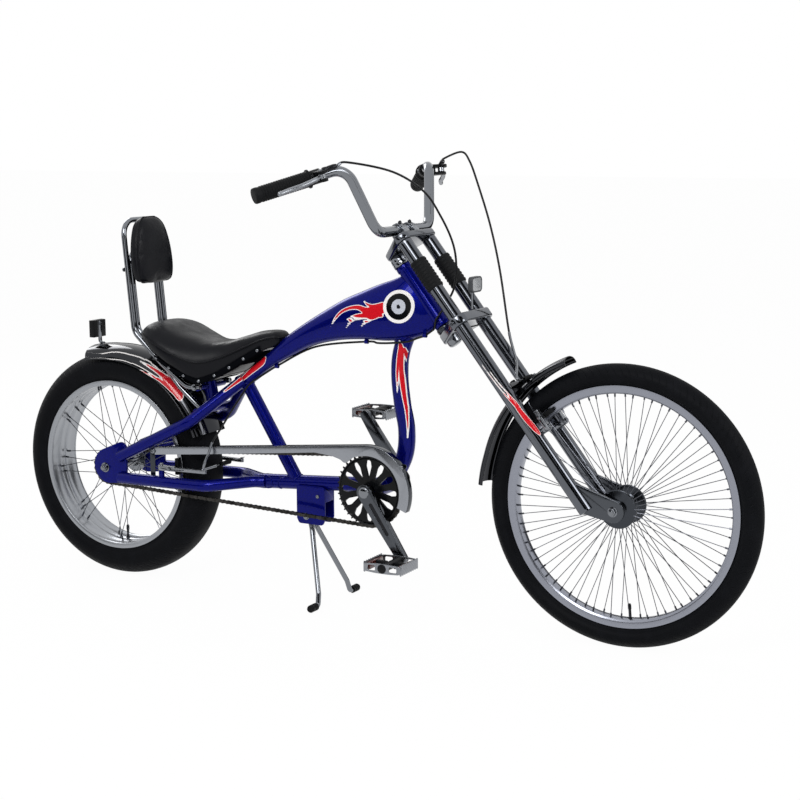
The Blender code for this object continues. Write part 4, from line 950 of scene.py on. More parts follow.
@dataclass(frozen=True)
class Leather(Finish):
    """Pigmented cowhide: shallow cells of grain under a soft top coat."""

    cell: float = 1.6

    def surface(self, tree: Tree, place: Socket) -> dict[str, Any]:
        """Presses the grain's cells, drawn at 1.6 mm so that they show, and wide soft creases.

        Args:
            tree: The material's node tree.
            place: The point in object coordinates.

        Returns:
            What the shader's inputs get, as feed takes it.
        """
        cells = add(tree, "ShaderNodeTexVoronoi", {"Vector": place, "Scale": per(self.cell)})
        fold = add(tree, "ShaderNodeTexNoise", {
            "Vector": place, "Scale": per(35), "Detail": 4.0, "Distortion": 0.6})
        wide = add(tree, "ShaderNodeBump", {"Height": fold, "Strength": 0.18, "Distance": 3.0 * MM})
        fine = add(tree, "ShaderNodeBump", {
            "Height": cells, "Strength": 0.22, "Distance": 0.5 * MM, "Normal": wide}, invert=True)
        shine = add(tree, "ShaderNodeMapRange", {
            "Value": fold, "From Min": 0.3, "From Max": 0.7, "To Min": self.roughness - 0.08,
            "To Max": self.roughness + 0.12})
        return {"Normal": fine, "Roughness": shine}


@dataclass(frozen=True)
class Prism(Finish):
    """Reflector lens pressed in clear or coloured acrylic over small cube corners."""

    cell: float = 2.4

    def surface(self, tree: Tree, place: Socket) -> dict[str, Any]:
        """Presses the even cells of the cube corners and darkens their edges as painted shade in the creases
        between facets.

        Args:
            tree: The material's node tree.
            place: The point in object coordinates.

        Returns:
            What the shader's inputs get, as feed takes it.
        """
        cells = add(tree, "ShaderNodeTexVoronoi", {
            "Vector": place, "Scale": per(self.cell), "Randomness": 0.0})
        bump = add(tree, "ShaderNodeBump", {"Height": cells, "Strength": 0.6, "Distance": 0.8 * MM})
        # Painted shade: the cells' edges, the creases between facets, take a darker copy of the lens colour.
        dark = add(tree, "ShaderNodeHueSaturation", {"Value": 0.35, "Color": linear(self.colour)})
        edge = add(tree, "ShaderNodeMapRange", {"Value": cells, "From Min": 0.3, "From Max": 0.7})
        mix = add(tree, "ShaderNodeMix", {0: edge, 6: linear(self.colour), 7: dark}, data_type="RGBA")
        return {"Normal": bump, "Base Color": mix.outputs[2], "Coat Weight": 0.8}


# Axles in metres, as the patterns that run round them need them.
REAR_AXLE_M = (0.0, 0.277)
FRONT_AXLE_M = (1.312, 0.3035)

# Candy blue lacquer sprayed over a flaked ground: deep colour, small glints, hard clear gloss.
BLUE = Decorated("candy_blue_lacquer", "blue_paint", "#03085E", 0.25, 0.5, gloss=0.03, flake=1.1,
                 glint="#1120A6", border_width=1.4)
# Chromium plate on polished steel: near mirror, its body a middle grey, hazed by handling.
CHROME = Metal("chromium_plate", "chrome", "#7B7E83", 0.09, 1.0, grain=3.0, relief=0.01)
# The same plate on the fork and its crowns, where the masked flames are painted; its base colour is darker than
# CHROME's as painted shade.
FORK_CHROME = Decorated("chromium_plate_flamed_shaded", "chrome", "#5C5F65", 0.1, 1.0, glint="#74777D",
                        border_width=0.8)
# Chromium plate of the fenders with painted flames; its base colour is darkened far below chromium as painted dark
# reflection of the surroundings.
FENDER_CHROME = Decorated("fender_chromium_painted_dark", "dark_chrome", "#343538", 0.1, 1.0, glint="#454649",
                          border_width=1.3)
# Chromium of the chain guard, its base colour lighter than CHROME's as painted highlight; its higher roughness lets
# the wide flat pressing spread its reflections.
GUARD_CHROME = Metal("guard_chromium_painted_highlight", "chrome", "#93969C", 0.24, 1.0, grain=3.0, relief=0.0,
                     spread=0.15)
# Chromium of the lower headset cup, the front hub and the guard's lip, its base colour darkened as painted shade: a
# darker copy of the same plate.
SHADED_CHROME = Metal("chromium_painted_shade", "dark_chrome", "#3F4247", 0.14, 1.0, relief=0.015)
# Cast and tumbled aluminium of pedal cages, bar clamp, brake arms and levers: satin, with the
# casting's fine skin.
ALLOY = Metal("tumbled_aluminium", "alloy", "#8B8E93", 0.3, 1.0, grain=0.9, relief=0.06)
# Forged aluminium of crank arms and fork dropouts, polished; its base colour is darkened all over, far below
# ALLOY's, as painted dark reflection.
FORGED = Metal("polished_forging_painted_dark", "alloy", "#505358", 0.16, 1.0, grain=2.0, relief=0.03)
# Rolled aluminium hoops, polished along the hoop.
REAR_HOOP = Spun("rolled_aluminium_rear", "alloy", "#9C9FA4", 0.3, 1.0, axle=REAR_AXLE_M)
FRONT_HOOP = Spun("rolled_aluminium_front", "alloy", "#90939D", 0.24, 1.0, axle=FRONT_AXLE_M)
# Drawn stainless wire of spokes, brake wires and springs.
WIRE = Metal("stainless_wire", "chrome", "#4E5056", 0.2, 1.0, relief=0.0)
# Stoved black enamel on the pressed steel of the chainring: glossy, with a little orange peel.
ENAMEL = Metal("black_enamel", "black_steel", "#07080A", 0.26, 0.0, gloss=0.15, grain=4.0, relief=0.04)
# Phosphated steel of sprocket, cable adjusters and clamp bolts, a dull black.
DARK_STEEL = Metal("phosphated_steel", "black_steel", "#1B1C20", 0.34, 0.7, relief=0.03)
# Case-hardened chain steel under a film of dirty oil.
CHAIN_STEEL = Metal("oiled_chain_steel", "chain_steel", "#3E3C3A", 0.34, 0.95, grime="#151413")
# Tyre compound with carbon black.
REAR_TYRE = Tyre("rear_tyre_rubber", "tyre", "#0B0C0F", 0.5, gloss=0.05, axle=REAR_AXLE_M, grooves=84,
                 shoulder=(0.0245, 0.0505), least=0.2405, skew=14.0)
FRONT_TYRE = Tyre("front_tyre_rubber", "tyre", "#0B0C0F", 0.48, gloss=0.05, axle=FRONT_AXLE_M, grooves=110,
                  shoulder=(0.0125, 0.0265), least=0.283, skew=20.0)
# Soft moulded rubber of grips, sleeves, boots, brake pads and feet, matt and slightly dusty.
RUBBER = Moulded("moulded_rubber", "rubber", "#0B0C0E", 0.6, gloss=0.14, grain=0.9, relief=0.22)
# Glass filled nylon of perches, pedal barrels, valve caps and the rear reflector's case.
PLASTIC = Moulded("filled_nylon", "black_plastic", "#0C0D0F", 0.42, gloss=0.15)
# The same nylon in grey, for the front reflector.
GREY_PLASTIC = Moulded("filled_nylon_grey", "black_plastic", "#3E4043", 0.4, gloss=0.25)
# Black upholstery leather of the saddle and the back rest.
HIDE = Leather("upholstery_leather", "leather", "#0B0C11", 0.34, gloss=0.14)
# Flocked black backing of the saddle pan: no gloss at all, even at a grazing look.
FLOCK = Leather("flocked_backing", "leather", "#0A0B0E", 0.9, gloss=0.0)
# Pressed acrylic of the reflectors and of the pedals' end markers.
LENS_CLEAR = Prism("clear_acrylic_lens", "clear_lens", "#A3A6A9", 0.12)
LENS_RED = Prism("red_acrylic_lens", "clear_lens", "#6E0F12", 0.15)
LENS_AMBER = Prism("amber_acrylic_lens", "clear_lens", "#52190A", 0.15, cell=2.0)
# Extruded vinyl sheath of the brake cables.
SHEATH = Moulded("vinyl_sheath", "cable_black", "#0C0D0F", 0.34, gloss=0.2, grain=1.5, relief=0.05)


@dataclass(frozen=True)
class Layout:
    """Main points and sizes of the bicycle, the same as the CAD's."""

    gap: float = 0.3
    rear_radius: float = 277.0
    rear_half: float = 54.0
    rear_rim_half: float = 47.5
    front_radius: float = 303.5
    front_half: float = 27.0
    front_rim_half: float = 16.2
    wheelbase: float = 1312.0
    head_angle: float = math.radians(51.9)
    trail: float = 97.0
    axle_radius: float = 5.0
    bracket: tuple[float, float] = (735.0, 291.0)
    chain_line: float = -64.0
    seat_cross: tuple[float, float, float] = (268.0, 0.0, 432.0)
    pitch: float = 12.7
    ring_teeth: int = 40
    cog_teeth: int = 20

    @property
    def rear_axle(self) -> np.ndarray:
        """Middle of the rear axle."""
        return np.array([0.0, 0.0, self.rear_radius])

    @property
    def front_axle(self) -> np.ndarray:
        """Middle of the front axle."""
        return np.array([self.wheelbase, 0.0, self.front_radius])

    @property
    def crank_axle(self) -> np.ndarray:
        """Middle of the bottom bracket."""
        return np.array([self.bracket[0], 0.0, self.bracket[1]])

    @property
    def steer_up(self) -> np.ndarray:
        """Upward direction of the steering axis."""
        return np.array([-math.cos(self.head_angle), 0.0, math.sin(self.head_angle)])

    @property
    def steer_forward(self) -> np.ndarray:
        """Direction ahead of the steering axis and square to it."""
        return np.array([math.sin(self.head_angle), 0.0, math.cos(self.head_angle)])

    def steer(self, s: float, a: float, y: float = 0.0) -> np.ndarray:
        """Point at height s on the steering axis, a ahead of it and y to the left."""
        ground = np.array([self.wheelbase + self.trail, 0.0, 0.0])
        return ground + s * self.steer_up + a * self.steer_forward + y * SIDE

    def crown_place(self, u: float, v: float, w: float) -> np.ndarray:
        """Puts an outline seen along the steering axis, with its depth up that axis."""
        return self.steer(w, u, v)

    def pitch_radius(self, teeth: int) -> float:
        """Radius of the pin circle of a toothed wheel."""
        return self.pitch / (2 * math.sin(math.pi / teeth))


LAY = Layout()


def tongues_distance(points: np.ndarray, tongues: Sequence[Sequence[tuple[float, float, float]]]) -> np.ndarray:
    """Distance of flat points to the edge of a flame, negative inside it.

    Args:
        points: Two coordinates for each point.
        tongues: Each a spine of (u, v, half width) that ends in a tip of no width.

    Returns:
        One distance for each point.
    """
    best = np.full(len(points), 1e3)
    for tongue in tongues:
        for u, v, half in curve(tongue, 14):
            best = np.minimum(best, np.hypot(points[:, 0] - u, points[:, 1] - v) - max(half, 0.0))
    return best


def line_distance(points: np.ndarray, line: Sequence[tuple[float, float]]) -> np.ndarray:
    """Distance of flat points to a smooth line.

    Args:
        points: Flat points.
        line: Points that the line runs through.

    Returns:
        The distance of each point.
    """
    path = curve(line, 20)
    best = np.full(len(points), 1e3)
    for a, b in zip(path, path[1:]):
        t = np.clip(((points - a) @ (b - a)) / max((b - a) @ (b - a), 1e-9), 0.0, 1.0)
        best = np.minimum(best, np.hypot(*(points - a - t[:, None] * (b - a)).T))
    return best


def weld(onto: Shape, start: Any, toward: np.ndarray, radius: float, bead: float = 2.3,
         farthest: float = 160.0, ripples: int = 24) -> Shape | None:
    """Bead of weld where a tube meets another shape.

    Args:
        onto: The shape that the tube meets.
        start: Point on the tube's axis, outside that shape.
        toward: Direction of the tube to the joint.
        radius: Radius of the tube.
        bead: Radius of the bead.
        farthest: Longest way from the start to the joint.
        ripples: Waves around the bead.

    Returns:
        The rippled bead, or nothing where the tube misses.
    """
    tree = BVHTree.FromPolygons([tuple(p) for p in onto.points], onto.faces)
    axis = unit(np.asarray(toward, float))
    guess = SIDE if abs(axis @ SIDE) < 0.9 else UP
    first = unit(guess - (guess @ axis) * axis)
    second = np.cross(axis, first)
    ring, sizes = [], []
    for w in np.linspace(0.0, 2 * math.pi, 4 * ripples, endpoint=False):
        spot = np.asarray(start, float) + radius * (math.cos(w) * first + math.sin(w) * second)
        hit = tree.ray_cast(Vector(spot), Vector(axis), farthest)
        if hit[0] is None:
            return None
        ring.append(np.array(hit[0]))
        sizes.append(bead * (1.0 + 0.12 * math.sin(ripples * w)))
    return tube(ring, sizes, 8, closed=True)


@dataclass
class FrameTubes:
    """Welded frame: the tank body with the tubes, stays and brackets around it."""

    stay_radius: float = 14.0
    stay_side: float = 85.0
    plate_thick: float = 7.0
    dropout_side: float = 72.5
    bottom_radius: float = 17.0
    down_radius: float = 19.5
    strut_radius: float = 15.0
    strut_ends: tuple = ((360.0, 0.0, 512.0), (505.0, 0.0, 278.0))
    bottom_start: tuple[float, float, float] = (388.0, 0.0, 268.0)
    head_low: float = 842.0
    head_length: float = 162.0
    head_radius: float = 18.0
    steerer_radius: float = 12.7
    brake_spot: tuple[float, float] = (172.0, 82.0)
    brake_low: float = 288.0
    tank_seat: tuple[float, float, float] = (420.0, 0.0, 415.0)
    tube_seat: tuple[float, float, float] = (445.0, 0.0, 375.0)
    stand_pivot: tuple[float, float] = (540.0, 202.0)
    cheek_in: float = 17.0
    cheek_out: float = 22.0
    clip_spots: tuple[float, ...] = (850.0, 700.0, 455.0)
    cable_radius: float = 2.4
    tank_stations: tuple = (
        ((801, 776), (885, 669), 14.0), ((768, 761), (856, 647), 27.0), ((730, 748), (812, 630), 34.0),
        ((690, 732), (752, 622), 37.0), ((640, 711), (690, 622), 37.0), ((585, 681), (625, 616), 34.0),
        ((525, 645), (560, 601), 30.0), ((468, 606), (500, 574), 25.0), ((416, 562), (440, 542), 20.0),
        ((374, 533), (394, 508), 17.0), ((338, 513), (356, 485), 16.0))

    @property
    def tail_tongues(self) -> list[list[tuple[float, float, float]]]:
        """Slim flame that runs from the tank's tail on to the seat stays."""
        return [[(430, 564, 4), (422, 557, 8.5), (406, 545, 8.5), (390, 532, 6.5), (372, 517, 4.6),
                 (352, 500, 2.8), (330, 482, 1.5), (298, 457, 0)],
                [(422, 566, 3), (402, 552, 3), (380, 537, 2), (358, 520, 1), (338, 503, 0)]]

    def tank(self) -> Shape:
        """Long drop from the head tube to the meeting of the stays.

        Returns:
            The closed body of the tank.
        """
        flat = [np.array([*upper, *lower, half], float) for upper, lower, half in self.tank_stations]
        rows = []
        for station in curve(flat, 22):
            top = np.array([station[0], 0.0, station[1]])
            low = np.array([station[2], 0.0, station[3]])
            rise = 0.5 * (top - low)
            row = []
            for k in range(96):
                w = 2 * math.pi * (k + 0.5) / 96
                row.append(0.5 * (top + low) + rise * squared(math.cos(w), 0.8)
                           + station[4] * squared(math.sin(w), 0.8) * SIDE)
            rows.append(row)
        return grid(rows)

    def under_tank(self, x: float) -> float:
        """Height of the tank's lower edge at x."""
        lows = sorted(low for _, low, _ in self.tank_stations)
        return float(np.interp(x, [p[0] for p in lows], [p[1] for p in lows]))

    def down_path(self) -> list[np.ndarray]:
        """Bowed tube from the tank to the bottom bracket."""
        x, z = LAY.bracket
        return curve([(806, 0, 660), (783, 0, 600), (778, 0, 545), (785, 0, 480), (795, 0, 425),
                      (791, 0, 370), (767, 0, 322), (x, 0, z)], 14)

    def bottom_path(self) -> list[tuple[float, float, float]]:
        """Tube from the bottom bracket back to the chain stays."""
        x, z = LAY.bracket
        return [self.bottom_start, (x, 0.0, z)]

    def lower_stay(self, side: int) -> list[np.ndarray]:
        """Chain stay from the dropout to the bottom tube."""
        y = side * self.stay_side
        return bent([(48, y, 257), (300, y, 261), (392, side * 17, 269), (420, side * 9, 270)], 60, 12)

    def upper_stay(self, side: int) -> list[np.ndarray]:
        """Seat stay from the dropout up to the tail of the tank."""
        y = side * self.stay_side
        return bent([(50, y, 309), (258, y, 410), (332, side * 28, 480), (366, side * 12, 509)], 50, 12)

    def drop_plate(self, side: int) -> Shape:
        """Round plate that carries the rear axle.

        Args:
            side: -1 for the right side, 1 for the left.

        Returns:
            The plate with its hole.
        """
        outline = around([(10, LAY.rear_radius + 5, 43), (48, 258, 15), (48, 326, 17)], 60)
        hole = rod((0, side * 60, LAY.rear_radius), (0, side * 100, LAY.rear_radius), LAY.axle_radius + 0.3)
        sheet = plate(outline, side, self.dropout_side, self.dropout_side + self.plate_thick)
        return carved(sheet, cut=[hole])

    def tank_art(self, points: np.ndarray) -> dict[str, np.ndarray]:
        """Plain disc ahead and the flames behind it, on both sides of the tank.

        Args:
            points: The mesh's points in millimetres.

        Returns:
            The attributes "licks" and "badge".
        """
        flat = points[:, [0, 2]]
        tongues = [[(756, 697, 9), (744, 695, 9), (730, 691, 9), (712, 691, 7), (694, 697, 4.5), (672, 695, 3.2),
                    (650, 686, 2.8), (634, 671, 2), (621, 652, 0)],
                   [(752, 684, 5), (736, 682, 5), (716, 678, 4), (698, 674, 3), (678, 668, 2), (661, 650, 0)],
                   [(726, 685, 2.5), (706, 682.5, 2.0), (688, 679.5, 1.6), (672, 673, 1.1), (659, 664, 0)],
                   [(740, 680, 4), (724, 672, 2.6), (710, 664, 1.6), (700, 655, 0)],
                   [(754, 708, 3), (742, 704, 3.5), (728, 702, 3), (716, 705, 2), (706, 711, 0)],
                   *self.tail_tongues]
        out_of_top = np.abs(points[:, 1]) < 6.0
        flame = 100 - tongues_distance(flat, tongues)
        flame[out_of_top] = 0.0
        badge = 100 - np.hypot(flat[:, 0] - 792, flat[:, 1] - 703)
        badge[out_of_top] = 0.0
        return {"licks": flame, "badge": badge}

    def tube_art(self, points: np.ndarray) -> dict[str, np.ndarray]:
        """Three flame tongues that run down the down tube.

        Args:
            points: The mesh's points in millimetres.

        Returns:
            The attribute "licks".
        """
        tongues = [[(788, 627, 0), (791, 612, 5.2), (791, 590, 4.2), (790, 566, 3.8), (791, 541, 4.2),
                    (796, 503, 3.2), (802, 469, 2.2), (806, 437, 1.4), (806, 409, 0)],
                   [(787, 606, 2.5), (784, 580, 3), (782, 550, 2.6), (782, 509, 0)],
                   [(798, 608, 3), (802, 575, 2.5), (801, 545, 1.8), (801, 509, 0)]]
        flame = 100 - tongues_distance(points[:, [0, 2]], tongues)
        flame[np.abs(points[:, 1]) < 4.0] = 0.0
        return {"licks": flame}

    def build(self) -> None:
        """Makes the tank, tubes, stays, bottom bracket shell, welds and stand bracket."""
        tank = self.tank()
        piece("tank_shell", tank + self.tank_clips(), BLUE, Body.FRAME, ["tank_tube"], paint=self.tank_art)
        bore, lip = self.steerer_radius + 2.6, self.head_radius + 1.8
        end = [(bore, 0), (17.2, 0), (lip, 1), (lip, 9), (self.head_radius, 11)]
        head = end + [(r, self.head_length - d) for r, d in reversed(end)]
        tall = turned(head, LAY.steer(self.head_low, 0), LAY.steer_up, 72)
        piece("head_tube_shell", tall, BLUE, Body.FRAME, ["head_tube"], bevel=0.4)
        down = tube(self.down_path(), self.down_radius, 48)
        piece("down_tube_bow", down, BLUE, Body.FRAME, ["down_tube"], paint=self.tube_art)
        bottom = tube(self.bottom_path(), self.bottom_radius, 40)
        piece("bottom_tube_run", bottom, BLUE, Body.FRAME, ["bottom_tube"])
        strut = tube(self.strut_ends, self.strut_radius, 40)
        piece("strut_tube", strut, BLUE, Body.FRAME, ["strut"])
        shell = turned([(8.9, -36.5), (20, -36.5), (21, -35.5), (21, 35.5), (20, 36.5), (8.9, 36.5)],
                       LAY.crank_axle, SIDE, 64)
        piece("bottom_bracket_shell", shell, BLUE, Body.FRAME, ["bb_shell"])
        for side, name in SIDES:
            lower = tube(self.lower_stay(side), self.stay_radius, 32) + self.drop_plate(side)
            bx, by = self.brake_spot
            boss = rod((bx, side * by, 258), (bx, side * by, self.brake_low - LAY.gap), 7.0)
            pin = rod((bx, side * by, 260), (bx, side * by, self.brake_low + 13), 3.9)
            piece("chain_stay_" + name, lower + boss + pin, BLUE, Body.FRAME, ["lower_stay_" + name],
                  bevel=0.8, bevel_angle=60)
            upper = tube(self.upper_stay(side), self.stay_radius, 32)
            piece("seat_stay_" + name, upper, BLUE, Body.FRAME, ["upper_stay_" + name],
                  paint=self.stay_art)
        self.build_welds(tank, bottom, shell)
        self.build_stand_bracket()

    def stay_art(self, points: np.ndarray) -> dict[str, np.ndarray]:
        """Tip of the tank's rear flame where it runs out along each seat stay."""
        return {"licks": 100 - tongues_distance(points[:, [0, 2]], self.tail_tongues)}

    def tank_clips(self) -> Shape:
        """Small eyes under the tank that carry the rear brake cable.

        Returns:
            All eyes as one shape.
        """
        route = CABLES.under_tank(self)
        back = route[::-1]
        eyes = []
        for x in self.clip_spots:
            spot = np.array([np.interp(x, [p[0] for p in back], [p[k] for p in back]) for k in range(3)])
            bore = self.cable_radius + 0.4
            eyes.append(turned([(bore, -4), (5.0, -4), (5.0, 4), (bore, 4)], spot, AHEAD, 24))
            eyes.append(block(spot + 8.5 * UP, (8.0, 4.0, 12.0)))
        return together(eyes)

    def build_welds(self, tank: Shape, bottom: Shape, shell: Shape) -> None:
        """Lays a bead at each joint of the frame.

        Args:
            tank: The tank body.
            bottom: The bottom tube.
            shell: The bottom bracket shell.
        """
        run = unit(np.subtract(self.strut_ends[1], self.strut_ends[0]))
        along = unit(LAY.crank_axle - np.array(self.bottom_start))
        down = self.down_path()
        beads = [weld(tank, down[18], down[12] - down[18], self.down_radius),
                 weld(shell, down[-12], down[-1] - down[-12], self.down_radius),
                 weld(shell, LAY.crank_axle - 60 * along, along, self.bottom_radius),
                 weld(tank, self.tank_seat, -run, self.strut_radius),
                 weld(bottom, self.tube_seat, run, self.strut_radius)]
        for side, _ in SIDES:
            for onto, stay in ((tank, self.upper_stay(side)), (bottom, self.lower_stay(side))):
                beads.append(weld(onto, stay[-3], stay[-1] - stay[-3], self.stay_radius, 2.0))
        found = [bead for bead in beads if bead is not None]
        LOG.info("weld beads: %d of %d", len(found), len(beads))
        piece("weld_beads", together(found), BLUE, Body.FRAME, sharp=60)

    def build_stand_bracket(self) -> None:
        """Bent bracket under the bottom tube, with the nuts of the stand's pin and two screws."""
        outline = softened([(514, 196), (520, 184), (584, 184), (590, 198), (590, 275), (514, 275)], 8)
        cheeks = together([plate(outline, s, self.cheek_in, self.cheek_out) for s in (-1, 1)])
        bridge = block((552, 0, 255), (76, 40, 34))
        px, pz = self.stand_pivot
        hollow = tube(self.bottom_path(), self.bottom_radius + LAY.gap, 40)
        piece("stand_bracket_plates", carved(bridge, cut=[hollow]) + cheeks, BLUE, Body.FRAME,
              ["stand_bracket"], bevel=1.2)
        pins = [bolt((px, s * self.cheek_out, pz), s * SIDE, 6.5, 4.6, socket=False) for s in (-1, 1)]
        pins += [bolt((572, s * self.cheek_out, 252), s * SIDE, 4.2, 3.0) for s in (-1, 1)]
        piece("stand_bracket_bolts", together(pins), CHROME, Body.FRAME)


@dataclass
class Headset:
    """Cups and races at both ends of the head tube."""

    inner: float = 13.4
    low: tuple[float, float] = (828.3, 841.7)
    high: tuple[float, float] = (1004.3, 1029.7)

    def build(self) -> None:
        """Turns both cups with their seal grooves."""
        tall = self.low[1] - self.low[0]
        lower = [(self.inner, 0), (18, 0), (20.4, 2.5), (21, 4), (20.2, 5), (20.2, 5.8), (21, 6.8),
                 (21, tall - 3), (18.6, tall), (self.inner, tall)]
        # The lower cup takes the darker copy of the chromium as painted shade; the upper cup is plain chromium.
        piece("headset_cup_low", turned(lower, LAY.steer(self.low[0], 0), LAY.steer_up), SHADED_CHROME,
              Body.FRAME, ["headset_lower"], bevel=0.3)
        tall = self.high[1] - self.high[0]
        upper = [(self.inner, 0), (18.5, 0), (21, 2.5), (21, 9.5), (20, 10.6), (20, 11.6), (20.8, 12.6),
                 (20.4, 18), (19, tall - 1), (18, tall), (self.inner, tall)]
        piece("headset_cup_high", turned(upper, LAY.steer(self.high[0], 0), LAY.steer_up), CHROME,
              Body.FRAME, ["headset_upper"], bevel=0.3)


@dataclass
class Seat:
    """Saddle on its riveted pan, the two back rest bars and their pad."""

    saddle_stations: tuple = ((114, 610, 52, 600), (121, 627, 78, 597), (140, 637, 99, 585),
                              (175, 631, 112, 560), (225, 612, 109, 530), (280, 597, 91, 504),
                              (330, 598, 67, 523), (380, 612, 51, 555), (430, 628, 41, 585),
                              (462, 632, 34, 598), (474, 624, 24, 605))
    pad_stations: tuple = ((729, 46, 11), (734, 59, 17), (748, 66, 20), (775, 69, 21), (810, 66, 21),
                           (842, 58, 20), (864, 48, 18), (877, 35, 13), (883, 21, 7))
    half_section: tuple = ((0.0, 0.0), (0.42, 0.02), (0.76, 0.12), (0.95, 0.34), (1.0, 0.55), (0.95, 0.8),
                           (0.86, 1.0))
    foot_share: float = 0.86
    rim_share: float = 0.45
    bar_radius: float = 6.5
    outer_side: float = 61.0
    inner_side: float = 45.0
    cross_half: float = 69.5
    rail_half: float = 55.0
    pan_thick: float = 3.0
    pan_room: float = 1.7

    def hoop_x(self, z: float) -> float:
        """Forward position of the leaning back rest bars at height z."""
        return 83.0 - 0.0854 * (z - 622.0)

    def pad_x(self, z: float) -> float:
        """Forward position of the pad's middle at height z, just clear of the bars."""
        return self.hoop_x(z) + self.bar_radius + LAY.gap + self.pad_stations[3][2]

    def station(self, x: float) -> tuple[float, float, float]:
        """Top, half width and lower edge of the saddle at x."""
        xs = [s[0] for s in self.saddle_stations]
        return tuple(float(np.interp(x, xs, [s[k] for s in self.saddle_stations])) for k in (1, 2, 3))

    def saddle(self) -> Shape:
        """Cushion with a raised rear, a dip and drawn-in skirts.

        Returns:
            The closed cushion.
        """
        section = curve(self.half_section, 5)
        rows = []
        for x, top, half, low in curve(self.saddle_stations, 8):
            right = [np.array([x, -half * f, top - (top - low) * g]) for f, g in section[1:]]
            under = [np.array([x, -half * self.foot_share * f, low + 0.4]) for f in (0.75, 0.4)]
            left = [p * MIRROR for p in right + under]
            rows.append([np.array([x, 0.0, top])] + right + under + [np.array([x, 0.0, low + 0.4])] + left[::-1])
        first, last = np.array(rows[0]), np.array(rows[-1])
        nose, tail = last.mean(0), first.mean(0)
        shrink = [(0.55, 3.0), (0.88, 1.6)]
        back = [tail + (first - tail) * f - np.array([2.2 * (1 - f), 0, 0]) for f, _ in shrink]
        front = [nose + (last - nose) * f + np.array([2.2 * (1 - f), 0, 0]) for f, _ in reversed(shrink)]
        return grid(back + rows + front)

    def pad(self) -> Shape:
        """Upright cushion of the back rest.

        Returns:
            The closed cushion.
        """
        turns = [2 * math.pi * k / 72 for k in range(72)]
        return grid([[np.array([self.pad_x(z) + thick * squared(math.cos(w), 0.7),
                                half * squared(math.sin(w), 0.62), z]) for w in turns]
                     for z, half, thick in curve(self.pad_stations, 6)])

    def build(self) -> None:
        """Makes the upholstery, the pan, the bars and the seat post."""
        for name, shape, node, voxel, pressure in (("saddle_cushion", self.saddle(), "saddle", 4.5, 3.0),
                                                   ("back_pad_cushion", self.pad(), "sissy_pad", 4.0, 4.0)):
            soft = cushion(name, shape, voxel, cap=3.0, pressure=pressure)
            settle(soft, HIDE, Body.FRAME, [node], sharp=180)
        self.build_piping()
        self.build_pan()
        self.build_bars()
        self.build_post()

    def build_piping(self) -> None:
        """Sewn cord around the saddle's top edge and around the face of the pad."""
        rim = curve([(x, -0.985 * half, top - 0.46 * (top - low)) for x, top, half, low in self.saddle_stations], 8)
        edge = [(self.pad_x(z) + 0.45 * thick, -0.985 * half, z)
                for z, half, thick in curve(self.pad_stations, 6)]
        shapes = [tube(curve(mirrored(path), 2, closed=True), 1.7, 10, closed=True) for path in (rim, edge)]
        piece("upholstery_piping", together(shapes), HIDE, Body.FRAME, sharp=180)

    def build_pan(self) -> None:
        """Pressed pan under the saddle, its wall held by domed rivets."""
        rows, rivets = [], []
        low_x, high_x = self.saddle_stations[3][0], self.saddle_stations[-3][0]
        for x in np.linspace(low_x, high_x, 60):
            top, half, low = self.station(x)
            rim = min(9.0, 0.2 * (top - low))
            foot = self.foot_share * half + self.pan_room
            lip = (self.foot_share + self.rim_share * rim / (top - low)) * half + self.pan_room
            base = low - LAY.gap - self.pan_thick
            loop = [(-foot - 2, base), (foot + 2, base), (lip + 2, low + rim), (lip, low + rim),
                    (foot, low - LAY.gap), (-foot, low - LAY.gap), (-lip, low + rim), (-lip - 2, low + rim)]
            rows.append([np.array([x, y, z]) for y, z in loop])
        piece("saddle_pan_plate", grid(rows), FLOCK, Body.FRAME, ["saddle_pan"], bevel=0.5)
        for x in np.linspace(low_x + 6, high_x - 6, 8):
            top, half, low = self.station(x)
            out = (self.foot_share + self.rim_share * 4.0 / (top - low)) * half + self.pan_room + 1.6
            for side, _ in SIDES:
                rivets.append(((x, side * out, low + 4.0), (0.0, side, 0.12)))
        copies("saddle_rivets", dome((0, 0, 0), UP, 4.2, 2.4), rivets, CHROME, Body.FRAME)

    def build_bars(self) -> None:
        """Two bent hoops, one within the other, with the bolts that hold them and the pad."""
        r, y, z = self.bar_radius, -self.outer_side, -self.inner_side
        outer = [(277, y, 492), (238, y, 489), (170, y, 538), (87, y, 612), (self.hoop_x(876), y, 876)]
        inner = [(262, z, 438.5), (205, z, 486), (86, z, 618), (self.hoop_x(806), z, 806)]
        for name, half, turn in (("outer", outer, 38), ("inner", inner, 34)):
            piece("sissy_hoop_" + name, tube(bent(mirrored(half), turn, 12), r, 24, chamfer=1.0), CHROME,
                  Body.FRAME, ["sissy_" + name])
        bolts = []
        for side, _ in SIDES:
            bolts += [bolt((262, side * (self.outer_side + r - 0.6), 490.5), side * SIDE, 6.0, 4.0, socket=False),
                      bolt((self.hoop_x(800) - r + 0.5, side * self.inner_side, 790), -AHEAD, 5.0, 3.0),
                      bolt((self.hoop_x(790) - r + 0.5, side * self.outer_side, 760), -AHEAD, 5.0, 3.0)]
        piece("sissy_bolts", together(bolts), CHROME, Body.FRAME)

    def build_post(self) -> None:
        """Short post, its cross bar and the rail under the pan."""
        post = tube([(272, 0, 434), (254, 0, 519)], 16.0, 40)
        cross = crossbar(LAY.seat_cross, self.cross_half, 9.0, 32)
        rail = crossbar((262, 0, 487), self.rail_half, 7.0, 32)
        piece("seat_post_set", post + cross + rail, BLUE, Body.FRAME, ["seat_tube"])
        collar = turned([(16.2, 0), (19.5, 0), (19.5, 12), (16.2, 12)], (258, 0, 497),
                        np.array([-18.0, 0, 85.0]), 48)
        piece("seat_post_collar", collar, CHROME, Body.FRAME, bevel=1.0)


